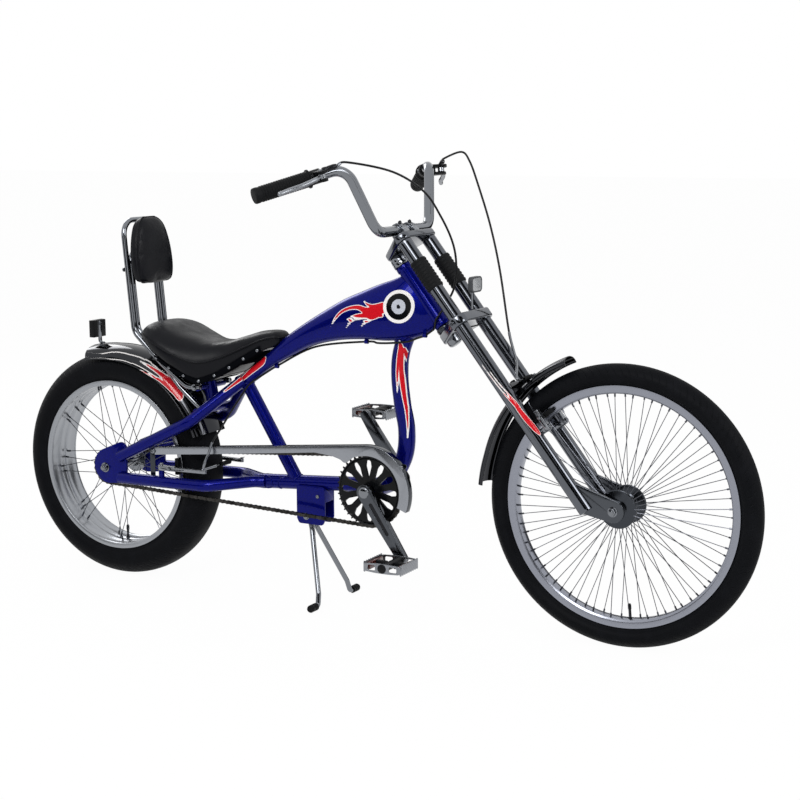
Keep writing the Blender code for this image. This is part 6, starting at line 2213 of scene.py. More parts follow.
@dataclass
class Wheel:
    """Spoked wheel with tyre, rim, hub, wires and valve."""

    name: str
    body: Body
    axle: np.ndarray
    tyre_half: tuple
    rim_half: tuple
    hub_profile: tuple
    tyre_finish: Finish
    rim_finish: Finish
    hub_finish: Finish
    wires: int
    lacing: dict[str, float]
    valve_angle: float
    valve_root: float

    @staticmethod
    def both(points: Points) -> list[tuple[float, float]]:
        """Profile mirrored about the wheel's middle plane."""
        return [tuple(p) for p in points] + [(r, -d) for r, d in reversed(list(points)) if abs(d) > 1e-6]

    def build(self) -> None:
        """Makes the wheel's pieces on its own body."""
        tyre = turned(self.both(curve(self.tyre_half, 5)), self.axle, SIDE, 192)
        piece(self.name + "_tyre_casing", tyre, self.tyre_finish, self.body, [self.name + "_tyre"], sharp=50)
        rim = turned(self.both(self.rim_half), self.axle, SIDE, 192)
        piece(self.name + "_rim_hoop", rim, self.rim_finish, self.body, [self.name + "_rim"], bevel=0.3,
              sharp=30)
        hub = turned(self.hub_profile, self.axle, SIDE, 72)
        piece(self.name + "_hub_shell", hub, self.hub_finish, self.body, [self.name + "_hub"], bevel=0.4,
              sharp=30)
        values = {key: value * (1.0 if key == "Cross angle" else MM) for key, value in self.lacing.items()}
        settle(grown(self.name + "_wires", wires_tree(), {
            **values, "Wires": self.wires, "Axle": tuple(self.axle * MM), "Material": WIRE.material()}),
            WIRE, self.body)
        self.build_valve()

    def build_valve(self) -> None:
        """Threaded valve stem with its lock ring and moulded cap."""
        down = np.array([math.sin(self.valve_angle), 0.0, -math.cos(self.valve_angle)])
        root = self.axle + self.valve_root * down
        stem = tube([root, root - 26 * down], 3.1, 24) + tube([root - 2 * down, root - 6 * down], 5.2, 6)
        piece(self.name + "_valve_stem", stem, ENAMEL, self.body)
        cap = turned([(0, 0), (3.6, 0), (3.8, 1), (3.8, 9), (2.6, 12), (0, 12.4)], root - 24 * down, -down, 24,
                     hollow=False)
        piece(self.name + "_valve_cap", cap, PLASTIC, self.body)


def make_wheels() -> list[Wheel]:
    """Both wheels with their profiles and lacing.

    Returns:
        The rear wheel and the front wheel.
    """
    bore = LAY.axle_radius + 0.5
    rear = Wheel(
        "rear", Body.REAR_WHEEL, LAY.rear_axle,
        ((201.9, 44.1), (207, 44.2), (212, 45.6), (215, 48.2), (217.5, 48.6), (220, 50), (226, 52.6),
         (232, 53.8), (238, 54), (245, 52.8), (250, 51.2), (256, 47.6), (266, 38), (273, 26.5), (276.2, 13),
         (277, 0)),
        ((201.5, 0), (201.5, 44.6), (208.4, 44.6), (209, 45.2), (209, 46.9), (208.4, 47.5), (199, 47.5),
         (196.6, 46.2), (196.0, 42), (196.9, 40), (196.9, 20), (195.6, 17), (195.6, 5), (196.9, 2.5), (196.9, 0)),
        ((bore, -45.7), (13.5, -45.7), (14, -45.2), (14, -41.5), (29, -40), (31, -39.3), (31, -36.7), (29, -36),
         (17, -35), (15, -31), (14.2, -10), (14.2, 10), (15, 31), (17, 35), (29, 36), (31, 36.7), (31, 39.3),
         (29, 40), (14, 41.5), (12.5, 52), (11, 60), (11, 72), (10.5, 72.2), (bore, 72.2)),
        REAR_TYRE, REAR_HOOP, CHROME, 36,
        {"Hub radius": 27.0, "Rim radius": 195.0, "Hub half": 38.0, "Rim half": 10.0,
         "Cross angle": math.radians(48), "Hub spread": 1.8, "Rim spread": 4.0, "Wire radius": 0.9,
         "Nipple radius": 2.3, "Nipple length": 15.0}, 0.0, 196.5)
    flange = ((12, 49.7), (13, 48.7), (13.6, 36), (20, 33), (39, 31), (41.5, 30.2), (41.5, 27.8), (39, 27),
              (24, 25.5), (19, 22), (17.6, 12), (17.2, 0))
    front = Wheel(
        "front", Body.FRONT_WHEEL, LAY.front_axle,
        ((252.5, 12.7), (256.5, 12.9), (260, 14.2), (262.4, 17.6), (264, 18.4), (266.4, 21.2), (270.5, 24.6),
         (276, 26.8), (281, 26.9), (287, 25.2), (293, 20.9), (298.4, 14.6), (302.2, 7.6), (303.5, 0)),
        ((252.4, 0), (252.4, 12.8), (259.1, 12.8), (259.5, 13.2), (259.5, 15.8), (259.0, 16.2), (247.5, 16.1),
         (245, 15.3), (241.6, 12.6), (240.5, 9.0), (240.2, 0)),
        ((bore, -49.7),) + tuple((r, -d) for r, d in flange[:-1]) + ((17.2, 0),) + flange[:-1][::-1]
        + ((bore, 49.7),),
        # The front hub takes the darker copy of the chromium as painted shade.
        FRONT_TYRE, FRONT_HOOP, SHADED_CHROME, 72,
        {"Hub radius": 37.5, "Rim radius": 240.2, "Hub half": 29.2, "Rim half": 4.2, "Cross angle": 0.0,
         "Hub spread": 1.6, "Rim spread": 1.6, "Wire radius": 0.85, "Nipple radius": 2.0,
         "Nipple length": 14.0}, math.radians(5.0), 245.0)
    return [rear, front]


@dataclass
class RearAxle:
    """Axle of the rear wheel with its nuts, washers and end caps."""

    half: float = 92.0
    seat: float = 79.9

    def build(self) -> None:
        """Makes the axle and what is screwed on it."""
        centre = LAY.rear_axle
        shapes = [crossbar(centre, self.half, LAY.axle_radius)]
        for side, _ in SIDES:
            shapes.append(bolt(centre + side * self.seat * SIDE, side * SIDE, 9.5, 7.4, socket=False))
            shapes.append(turned([(0, 0), (7.2, 0), (7.2, 2), (5.6, 4.2), (0, 4.9)],
                                 centre + side * 86.9 * SIDE, side * SIDE, 32, hollow=False))
        piece("rear_axle_set", together(shapes), CHROME, Body.FRAME, ["rear_axle"], bevel=0.3)


@dataclass
class Fork:
    """Two long legs between their crowns, with sleeves, dropouts and front axle."""

    leg_ahead: float = 61.0
    leg_side: float = 55.0
    leg_radius: float = 16.0
    leg_bottom: float = 330.0
    crown_low: float = 806.0
    crown_low_thick: float = 22.0
    crown_top: float = 1030.0
    crown_top_thick: float = 16.0
    steerer_radius: float = 12.7
    pivot: tuple[float, float] = (522.0, 43.0)
    arm_low: float = 84.0
    sleeve_start: float = 905.0
    dropout_span: tuple[float, float] = (50.3, 58.0)
    nut_side: float = 58.2
    axle_half: float = 68.0

    def art(self, points: np.ndarray) -> dict[str, np.ndarray]:
        """Flame that runs down the outer side of each leg.

        Args:
            points: The mesh's points in millimetres.

        Returns:
            The attribute "licks".
        """
        ground = LAY.steer(0, 0)
        s = (points - ground) @ LAY.steer_up
        a = (points - ground) @ LAY.steer_forward
        around_leg = np.arctan2(a - self.leg_ahead, np.abs(points[:, 1]) - self.leg_side) * self.leg_radius
        flat = np.stack([s, around_leg], axis=1)
        tongues = [[(628, 7, 0.4), (606, 8, 2), (586, 9, 4), (564, 11, 5.6), (542, 14, 6), (528, 16, 5),
                    (520, 17, 3)],
                   [(716, -4, 0.3), (680, -2, 0.7), (640, 1, 0.9), (606, 5, 1.4), (580, 8, 0)],
                   [(690, 3, 0.3), (656, 5, 0.7), (626, 9, 0.9), (600, 13, 1.4), (572, 14, 0)]]
        return {"licks": 100 - tongues_distance(flat, tongues)}

    def build_legs(self) -> None:
        """Makes the legs, their caps, dropout plates, brake pins and sleeves."""
        away = LAY.front_axle - LAY.steer(0, 0)
        s, a = float(away @ LAY.steer_up), float(away @ LAY.steer_forward)
        ps, py = self.pivot
        for side, name in SIDES:
            y = side * self.leg_side
            stations = np.linspace(self.leg_bottom, self.crown_top - LAY.gap, 120)
            leg = tube([LAY.steer(k, self.leg_ahead, y) for k in stations], self.leg_radius, 64, chamfer=1.2)
            # The legs take FORK_CHROME, whose darker base colour is painted shade.
            piece("fork_tube_" + name, leg, FORK_CHROME, Body.FORK, ["fork_leg_" + name], paint=self.art)
            outline = around([(s, a, 24), (self.leg_bottom + 14, self.leg_ahead, 15.5),
                              (self.leg_bottom + 60, self.leg_ahead + 8, 7)], 60)
            hole = rod(LAY.front_axle + side * 40 * SIDE, LAY.front_axle + side * 70 * SIDE, 5.3, chamfer=0)
            sheet = carved(plate(outline, side, *self.dropout_span, LAY.steer), cut=[hole])
            piece("fork_dropout_" + name, sheet, FORGED, Body.FORK, bevel=1.0, sharp=30)
            root = LAY.steer(ps, self.leg_ahead, side * py)
            boss, pin = (rod(root, LAY.steer(ps, self.arm_low + d, side * py), r)
                         for d, r in ((-0.3, 7.0), (13.5, 3.9)))
            cap = bolt(LAY.steer(ps, self.arm_low + 11.3, side * py), LAY.steer_forward, 5.5, 4.0)
            piece("fork_brake_boss_" + name, boss + pin + cap, CHROME, Body.FORK)
            profile = [(16.4, 0), (18.4, 0), *ribs(9, 4, 8.1, (18.4, 19.4), (2.6, 1.2)), (18.4, 73), (16.4, 73)]
            sleeve = turned(profile, LAY.steer(self.sleeve_start, self.leg_ahead, y), LAY.steer_up, 48)
            piece("fork_sleeve_ribbed_" + name, sleeve, RUBBER, Body.FORK, ["fork_sleeve_" + name])

    def build_crowns(self) -> None:
        """Makes both crowns with their pinch bolts, plug, steerer and top nut."""
        high = self.crown_low + self.crown_low_thick
        a, y = self.leg_ahead, self.leg_side
        holes = [rod(LAY.steer(self.crown_low - 20, a, s * y), LAY.steer(self.crown_top + 20, a, s * y),
                     self.leg_radius + 0.15, 64, chamfer=0) for s in (-1, 1)]
        lower = slab(around([(0, 0, 22), (a, y, 23), (a, -y, 23)], 64), self.crown_low, high, LAY.crown_place)
        piece("crown_low_forging", carved(lower, cut=holes), FORK_CHROME, Body.FORK, ["lower_crown"], bevel=5.0,
              sharp=50, bevel_angle=50)
        plug = turned([(0, -13.7), (11, -13.7), (14.5, -11.5), (16, -8), (16, 2), (0, 2)],
                      LAY.steer(self.crown_low, 0), LAY.steer_up, 48, hollow=False)
        steerer = rod(LAY.steer(self.crown_low + 4, 0), LAY.steer(self.crown_top + self.crown_top_thick + 4.5, 0),
                      self.steerer_radius, 40)
        piece("steerer_and_plug", plug + steerer, CHROME, Body.FORK)
        top = self.crown_top + self.crown_top_thick
        upper = slab(around([(0, 0, 22), (a, y, 20), (a, -y, 20)], 64), self.crown_top, top, LAY.crown_place)
        piece("crown_top_forging", upper, FORK_CHROME, Body.FORK, ["top_crown"], bevel=4.0, sharp=50,
              bevel_angle=50)
        bolts = []
        for side, _ in SIDES:
            bolts += [bolt(LAY.steer(self.crown_low + 11, a - 4, side * (y + 22.3)), side * SIDE, 4.2, 3.0),
                      dome(LAY.steer(top - 0.2, a, side * y), LAY.steer_up, 13.5, 3.4, 40)]
        piece("crown_bolts", together(bolts), CHROME, Body.FORK)

    def build_axle(self) -> None:
        """Makes the front axle with its nuts and washers."""
        centre = LAY.front_axle
        shapes = [crossbar(centre, self.axle_half, LAY.axle_radius)]
        for side, _ in SIDES:
            shapes.append(bolt(centre + side * self.nut_side * SIDE, side * SIDE, 8.8, 7.2, socket=False))
        piece("front_axle_set", together(shapes), CHROME, Body.FORK, ["front_axle"], bevel=0.3)

    def build_reflector(self) -> None:
        """Makes the front reflector: a moulded case, its pressed lens and a bent strap."""
        base = self.crown_low + self.crown_low_thick + LAY.gap
        rear, front = LAY.steer(base, self.leg_ahead - 4), LAY.steer(base, self.leg_ahead + 17)
        middle = front + np.array([5.5, 0.0, 57.0])

        def tile(wide: float, tall: float, radius: float, back: float, thick: float) -> Shape:
            """Upright tile across the bicycle with round corners."""
            corners = [(-wide, -tall), (wide, -tall), (wide, tall), (-wide, tall)]
            return slab(softened(corners, radius), back, back + thick,
                        lambda u, v, w: middle + np.array([w, u, v]))

        case = carved(tile(24.0, 17.0, 10.0, -5.5, 11.0), cut=[tile(21.0, 14.0, 7.5, 3.5, 4.0)])
        piece("front_reflector_case", case, GREY_PLASTIC, Body.FORK, ["front_reflector"], bevel=1.2)
        piece("front_reflector_lens", tile(20.7, 13.7, 7.2, 2.5, 2.6), LENS_CLEAR, Body.FORK, bevel=0.6)
        foot = front - AHEAD
        bar = curve([rear, foot - AHEAD, foot + 12.0 * UP, foot + 50.0 * UP], 8)
        strap = tube(bar, 5.5, 16, flat=0.3)
        piece("front_reflector_strap", strap, CHROME, Body.FORK)
        piece("front_reflector_bolt", bolt(LAY.steer(base + 1.6, self.leg_ahead + 4), LAY.steer_up, 4.5, 3.0),
              CHROME, Body.FORK)

    def build(self) -> None:
        """Makes the whole fork."""
        self.build_legs()
        self.build_crowns()
        self.build_axle()
        self.build_reflector()


@dataclass
class Cockpit:
    """Raised handlebar with its clamp, grips, perches and brake levers."""

    bar_radius: float = 11.5
    bar_low: tuple[float, float] = (1066.0, 49.0)
    bar_corner: tuple[float, float, float] = (754.0, 186.0, 1010.0)
    grip_end: tuple[float, float, float] = (636.0, 348.0, 955.0)
    grip_length: float = 128.0
    lever_reach: float = 38.0
    perch_in: float = 15.0
    clamp_seat: float = 1046.3
    bend: float = 45.0
    tower_half: float = 10.0
    seam_half: float = 0.5
    thinned: tuple[float, float] = (0.93, 0.62)

    def path(self) -> list[np.ndarray]:
        """Handlebar from the right grip end to the left one.

        Returns:
            The points of the bar's middle line.
        """
        low = LAY.steer(*self.bar_low)
        left = [low + 118 * SIDE, np.array(self.bar_corner), np.array(self.grip_end)]
        right = [p * MIRROR for p in left]
        return bent(right[::-1] + left, self.bend, 14)

    def hand(self, side: int) -> tuple[np.ndarray, np.ndarray, np.ndarray, np.ndarray]:
        """Inner end of a grip and its outward, forward and upward directions.

        Args:
            side: -1 for the right side, 1 for the left.

        Returns:
            The point and three unit directions.
        """
        flip = np.array([1.0, side, 1.0])
        end = np.array(self.grip_end) * flip
        out = unit((np.array(self.grip_end) - np.array(self.bar_corner)) * flip)
        ahead = np.array([1.0, 0.0, 0.2])
        ahead = unit(ahead - (ahead @ out) * out)
        return end - out * (self.grip_length - 6), out, ahead, side * np.cross(ahead, out)

    def build_bar(self) -> None:
        """Makes the bar and its clamp with four bolts."""
        piece("handlebar_tube", tube(self.path(), self.bar_radius, 40), CHROME, Body.FORK, ["handlebar"])
        s, a = self.bar_low
        seat = self.clamp_seat
        base = slab(softened([(a - 22, -34), (a + 20, -34), (a + 20, 34), (a - 22, 34)], 8), seat, seat + 5,
                    LAY.crown_place)
        bore = crossbar(LAY.steer(s, a), 60, self.bar_radius + 0.15, 64, chamfer=0)
        hole = rod(LAY.steer(seat - 5, 0), LAY.steer(seat + 30, 0), 13.1, 48, chamfer=0)
        towers, bolts = [], []
        for y in (-22, 22):
            outline = [(seat + 2, a - 18), (seat + 2, a + 18), (s + 3, a + 17), (s + 14, a + 10),
                       (s + 16.5, a), (s + 14, a - 10), (s + 3, a - 17)]
            tower = slab(softened(outline, 5), y - self.tower_half, y + self.tower_half, LAY.steer)
            low, high = s - self.seam_half, s + self.seam_half
            seam = slab([(low, a - 30), (low, a + 30), (high, a + 30), (high, a - 30)], y - 12, y + 12, LAY.steer)
            towers.append(carved(tower, cut=[bore, hole, seam]))
            bolts += [bolt(LAY.steer(s + 11.2, a + d, y), LAY.steer_up, 3.9, 4.6) for d in (-13.0, 13.0)]
        piece("bar_clamp_blocks", carved(base, cut=[hole]) + together(towers), ALLOY, Body.FORK, ["bar_clamp"],
              bevel=0.8)
        piece("bar_clamp_bolts", together(bolts), DARK_STEEL, Body.FORK)

    def build_grips(self) -> None:
        """Makes the ribbed grips with their flanges and end plugs."""
        for side, name in SIDES:
            start, out, _, _ = self.hand(side)
            profile = [(11.7, 0), (18.6, 0), (20, 0.9), (20, 3.1), (18.6, 4), (16.4, 5.4),
                       *ribs(19, 9, 5.6, (15.9, 17.0), (1.9, 1.0)), (16.2, 115), (16.9, 119), (16.9, 125),
                       (16, 127.2), (13, 128), (0.0, 128), (0.0, 122.6), (11.7, 122.6)]
            grip = turned(profile, start, out, 48)
            piece("grip_ribbed_" + name, grip, RUBBER, Body.FORK, ["grip_" + name], sharp=50)

    def build_levers(self) -> None:
        """Makes the clamped perches, their adjusters and the brake levers."""
        for side, name in SIDES:
            start, out, ahead, up = self.hand(side)
            centre = start - out * self.perch_in
            reach = self.lever_reach

            def plane(u: float, v: float, w: float) -> np.ndarray:
                """Point u outward, v forward and w upward of the perch's middle."""
                return centre + u * out + v * ahead + w * up

            collar = turned([(11.6, -11), (14.6, -11), (15.5, -10), (15.5, 10), (14.6, 11), (11.6, 11)],
                            centre, out, 48)
            cheek = slab(around([(0, 10, 9), (-2, reach + 6, 8)], 48), 5.5, 12.0, plane)
            under = slab(around([(0, 10, 8), (-2, reach + 4, 7)], 48), -11.5, -5.6, plane)
            bridge = block_between(plane(-7, 12, -9), plane(7, 24, 10), out, ahead)
            body = collar + cheek + under + bridge
            piece("perch_body_" + name, body, PLASTIC, Body.FORK, ["perch_" + name], bevel=0.9)
            adjuster = turned([(2.6, 4), (5.2, 4), (5.6, 5.5), (5.6, 12), (5.0, 13), (5.0, 16), (5.6, 17),
                               (5.6, 30), (4.6, 36), (2.6, 36)], plane(0, reach, 12.0), -out, 24)
            pins = [rod(plane(0, reach, 14.0), plane(0, reach, -6.3), 3.0),
                    bolt(plane(0, reach, 12.0), up, 5.0, 3.0), bolt(plane(0, -15.2, 0), -ahead, 3.6, 2.6)]
            piece("perch_screws_" + name, together(pins), CHROME, Body.FORK)
            piece("perch_adjuster_" + name, adjuster, DARK_STEEL, Body.FORK, bevel=0.3)
            blade = curve([plane(2, reach, 0), plane(22, 46, -2), plane(50, 49, -5), plane(82, 49, -6),
                           plane(108, 53, -7)], 10)
            sizes = list(np.interp(np.linspace(0, 8, len(blade)), range(9),
                                   [4.4, 4.6, 5.0, 5.2, 5.4, 5.4, 5.4, 5.2, 4.8]))
            sizes[-2] *= self.thinned[0]
            sizes[-1] *= self.thinned[1]
            eye = turned([(3.4, -5), (6.9, -5), (7.5, -4.4), (7.5, 4.4), (6.9, 5), (3.4, 5)],
                         plane(0, reach, 0), up, 40)
            ball = dome(blade[-1] - 3 * unit(blade[-1] - blade[-2]), unit(blade[-1] - blade[-2]), 5.0, 4.6)
            lever = eye + tube(blade, sizes, 24) + ball
            piece("lever_blade_" + name, lever, ALLOY, "lever_" + name[0], ["lever_" + name])

    def build(self) -> None:
        """Makes the whole cockpit."""
        self.build_bar()
        self.build_grips()
        self.build_levers()


@dataclass
class Brakes:
    """Linear pull brake arms at both rims, with pads, screws and springs."""

    fork: Fork
    tubes: FrameTubes
    arm_thick: float = 11.0

    def arm(self, name: str, body: str, node: str, place: Callable[..., np.ndarray], side: int,
            pivot: tuple[float, float], rise: tuple[float, float, float], depth: float, pad_face: float,
            pad_half: float) -> None:
        """Makes one arm with its pad, nuts and return spring.

        Args:
            name: Ending of the pieces' names.
            body: Body that carries the arm.
            node: CAD node that it stands for.
            place: Maps (along, across, depth) to a point.
            side: 1 for the left, -1 for the right.
            pivot: Along and across position of its pivot.
            rise: Distance along to the waist and to the tip, and the tip's lean.
            depth: Depth of its near face.
            pad_face: Across position of the pad's face.
            pad_half: Half the pad's length.
        """
        u, y = pivot
        high = depth + self.arm_thick
        middle = 0.5 * (depth + high)
        waist, tip, lean = rise
        lower = slab(around([(u, side * y, 8), (u + waist, side * (y + 1), 5.5)], 48), depth, high, place)
        upper = slab(around([(u + waist, side * (y + 1), 5.4), (u + tip, side * (y - lean), 5)], 48), depth + 1.5,
                     high - 1.5, place)
        hole = rod(place(u, side * y, depth - 5), place(u, side * y, high + 5), 4.25, 32, chamfer=0)
        slot = slab(around([(u + 0.45 * tip, side * (y + 0.2), 2.2),
                            (u + 0.75 * tip, side * (y - 0.6 * lean), 2.0)], 24), depth - 3, high + 3, place)
        piece("brake_arm_" + name, carved(lower + upper, cut=[hole, slot]), ALLOY, body, [node], bevel=0.9)
        pu = u + 27
        pad_back = pad_face + side * 9.5
        pad = [(pu - 5, pad_face), (pu + 5, pad_face), (pu + 5, pad_back), (pu - 5, pad_back)]
        piece("brake_pad_" + name, slab(pad, middle - pad_half, middle + pad_half, place), RUBBER, body, bevel=1.2)
        post = rod(place(pu, side * y, middle), place(pu, pad_face + side * 8, middle), 4.0)
        nut_at = place(pu, side * (y + 6.2), middle)
        outward = unit(place(pu, side * (y + 10), middle) - nut_at)
        small = [post, bolt(nut_at, outward, 4.6, 4.0, socket=False)]
        anchor = place(u + tip, side * (y - lean), high - 1.6)
        small.append(bolt(anchor, unit(place(u, y, high + 5) - place(u, y, high)), 4.4, 3.2))
        piece("brake_screws_" + name, together(small), CHROME, body)
        wire = curve([place(u + 3, side * (y + 8.6), middle), place(u + 30, side * (y + 9.5), middle - 2),
                      place(u + 62, side * (y + 8.2), middle - 1), place(u + 68, side * (y + 4.0), middle)], 8)
        piece("brake_spring_" + name, tube(wire, 0.9, 8), WIRE, body)

    def build(self) -> None:
        """Makes all four arms with their pads, screws and springs."""
        ps, py = self.fork.pivot
        bx, by = self.tubes.brake_spot
        for side, name in SIDES:
            self.arm("front_" + name, "front_arm_" + name[0], "front_brake_" + name,
                     lambda u, v, w: LAY.steer(u, w, v), side, (ps, py), (40, 118, 1.0), self.fork.arm_low,
                     side * (LAY.front_rim_half + 2.3), 24.0)
            self.arm("rear_" + name, "rear_arm_" + name[0], "rear_brake_" + name,
                     lambda u, v, w: np.array([u, v, w]), side, (bx, by), (36, 122, 4.0), self.tubes.brake_low,
                     side * (LAY.rear_rim_half + 2.3), 20.0)


@dataclass
class Cables:
    """Brake cables along their real routes, with their ferrules."""

    radius: float = 2.4
    still: np.ndarray = field(default_factory=lambda: np.array([900.0, 0.0, 696.0]))
    turning: np.ndarray = field(default_factory=lambda: np.array([900.0, 0.0, 800.0]))
    bends: dict = field(default_factory=lambda: {"front_cable": (-66, -18), "rear_cable": (-46, -7)})

    def under_tank(self, tubes: FrameTubes) -> list[np.ndarray]:
        """Route of the rear brake cable under the tank."""
        spots = [(872, -16), (850, -15), (832, -20), (812, -25), (770, -25), (735, -22), (700, -12),
                 (560, -2), (460, -4), (428, -10), (392, -24)]
        return [np.array([x, y, tubes.under_tank(x) - self.radius - 1.2]) for x, y in spots]

    def routes(self, cockpit: Cockpit, tubes: FrameTubes) -> dict[str, list[np.ndarray]]:
        """The three cable routes by their node.

        Args:
            cockpit: The cockpit that two of them leave.
            tubes: The frame that one of them follows.

        Returns:
            The points of each route.
        """
        out_routes = {}
        under = self.under_tank(tubes)
        for side, name in ((-1, "rear_cable_loop"), (1, "front_cable")):
            start, out, ahead, up = cockpit.hand(side)
            centre = start - out * cockpit.perch_in + ahead * cockpit.lever_reach + up * 12.0
            leave = [centre - out * 36.9, centre - out * 62]
            if side < 0:
                rest = [(847, -150, 1000), (891, -95, 958), (912, -58, 904), (924, -28, 849), (922, -6, 800),
                        (912, 4, 748), (899, -10, 712), (882, -25, 678)]
                out_routes[name] = curve(leave + rest, 10) + [under[0] + np.array([0.9, -0.8, 2.0])]
            else:
                rest = [(812, 236, 1035), (840, 222, 1014), (875, 195, 962), (925, 155, 875), (968, 116, 779),
                        *(LAY.steer(*p) for p in (
                            (762, 90, 74), (716, 86, 44), (682, 93, 6), (662, 97.5, -26), (650, 97.7, -44),
                            (641, 97.7, -50), (638, 97.7, -40), (638, 97.7, 46)))]
                out_routes[name] = curve(leave + rest, 10)
        tail = [(372, -30, 476), (354, -45, 441), (334, -62, 400), (320, -77, 370), (312, -84, 342),
                (306, -93, 318), (301, -90, 303.5), (300, -74, 301.8), (300, 80, 301.8)]
        out_routes["rear_cable"] = curve(under + tail, 10)
        return out_routes

    def build(self, cockpit: Cockpit, tubes: FrameTubes) -> None:
        """Makes the sheathed cables, their ferrules and the bend at each pair of arms.

        Args:
            cockpit: The handlebar, grips and levers.
            tubes: The frame's tubes.
        """
        routes = self.routes(cockpit, tubes)
        wires = []
        for name, path in routes.items():
            body = {"rear_cable": Body.FRAME, "front_cable": Body.FORK}.get(name, "")
            bend_from, bend_to = self.bends.get(name, (None, None))
            run = path[:bend_from]
            item = piece(name + "_sheath", tube(run, self.radius, 12), SHEATH, body, [name], sharp=180)
            if bend_from:
                bend = tube(path[bend_from - 4:bend_to], 3.1, 16, chamfer=0.6)
                piece(name + "_bend", bend, CHROME, body, sharp=60)
                wires.append((path[bend_to - 3:], body))
            else:
                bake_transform(item)
        for k, (wire, body) in enumerate(wires):
            piece(f"brake_wire_{k + 1}", tube(wire, 0.9, 8), WIRE, body)
        ferrules = [(path[2], path[0] - path[4]) for path in (routes["rear_cable_loop"], routes["front_cable"])]
        collar = turned([(2.4, -6), (3.3, -6), (3.6, -5), (3.6, 5), (3.3, 6), (2.4, 6)], (0, 0, 0), UP, 20)
        copies("cable_ferrules", collar, ferrules, CHROME, Body.FORK)
        a, b = LAY.steer(638, 97.7, -22), LAY.steer(638, 97.7, 22)
        folds = [(r, d + 7 * k) for k in range(6) for r, d in ((4.0, 1), (5.6, 4), (4.0, 7))]
        for name, start, axis, body in (("front", a, b - a, Body.FORK),
                                        ("rear", (300, -22, 301.8), SIDE, Body.FRAME)):
            piece(name + "_brake_boot", turned([(2.5, 0), *folds, (2.5, 44)], start, axis, 28), RUBBER, body)


CABLES = Cables()


@dataclass
class Stand:
    """Double kickstand with its spring and rubber feet."""

    foot_x: float = 600.0
    foot_side: float = 80.0
    foot_radius: float = 9.0
    leg_radius: float = 6.0
    pin_half: float = 23.0
    pin_radius: float = 4.0

    def build(self, tubes: FrameTubes) -> None:
        """Makes the legs, hub, feet and spring.

        Args:
            tubes: The frame's tubes.
        """
        x, z = tubes.stand_pivot
        legs, feet = [], []
        for side, _ in SIDES:
            path = bent([(x, side * 9, z), (x + 8, side * 10.3, z - 30), (self.foot_x - 3, side * 64, 34),
                         (self.foot_x, side * 72, self.foot_radius),
                         (self.foot_x, side * 84, self.foot_radius)], 22, 10)
            legs.append(tube(path, self.leg_radius, 28))
            foot = turned([(0, 0), (7.6, 0), (8.7, 1.2), (8.7, 6), (8.0, 7), (8.7, 8), (8.7, 13), (8.0, 14),
                           (8.7, 15), (8.7, 24.5), (7.4, 27.6), (0, 28)],
                          (self.foot_x, side * self.foot_side, self.foot_radius), side * SIDE, 36, hollow=False)
            feet.append(foot)
        hub = turned([(4.3, -16.4), (9.4, -16.4), (10, -15.8), (10, 15.8), (9.4, 16.4), (4.3, 16.4)], (x, 0, z),
                     SIDE, 48)
        piece("stand_leg_pair", together(legs + [hub]), CHROME, Body.STAND, ["stand_legs"])
        piece("stand_feet", together(feet), RUBBER, Body.STAND)
        piece("stand_pin", crossbar((x, 0, z), self.pin_half, self.pin_radius), CHROME, Body.FRAME)
        spring("stand_spring", (x + 14, -12.5, z - 44), (x + 3, -12.5, z - 4), 4.6, 0.9, 14, Body.STAND)


@dataclass
class RearReflector:
    """Box reflector on its bent strap behind the rear fender."""

    angle: float = math.radians(102.5)

    def build(self, fenders: Fenders) -> None:
        """Makes the case, the lens and the strap.

        Args:
            fenders: The fenders.
        """
        out = np.array([math.cos(self.angle), 0.0, math.sin(self.angle)])
        foot = LAY.rear_axle + (fenders.rear_top + 2.9) * out
        middle = foot + np.array([-10.0, 0.0, 37.0])
        case = carved(block(middle, (15, 46, 42)), cut=[block(middle - 7.5 * AHEAD, (5.0, 40, 36))])
        piece("rear_reflector_case", case, PLASTIC, Body.FRAME, ["rear_reflector"], bevel=1.6)
        piece("rear_reflector_lens", block(middle - 5.6 * AHEAD, (3.0, 39.4, 35.4)), LENS_RED, Body.FRAME,
              bevel=0.6)
        strap = curve([foot + np.array([12, 0, 0.6]), foot + np.array([2, 0, 1.6]), foot + np.array([-2.6, 0, 8.0]),
                       foot + np.array([-2.4, 0, 30.0]), foot + np.array([-2.4, 0, 56.0])], 8)
        piece("rear_reflector_strap", tube(strap, 7.0, 20, flat=0.22), CHROME, Body.FRAME)
        piece("rear_reflector_bolts", bolt(foot + np.array([7, 0, 1.4]), UP, 4.2, 3.0)
              + bolt(foot + np.array([-1.6, 0, 49.0]), AHEAD, 4.0, 3.0), CHROME, Body.FRAME)


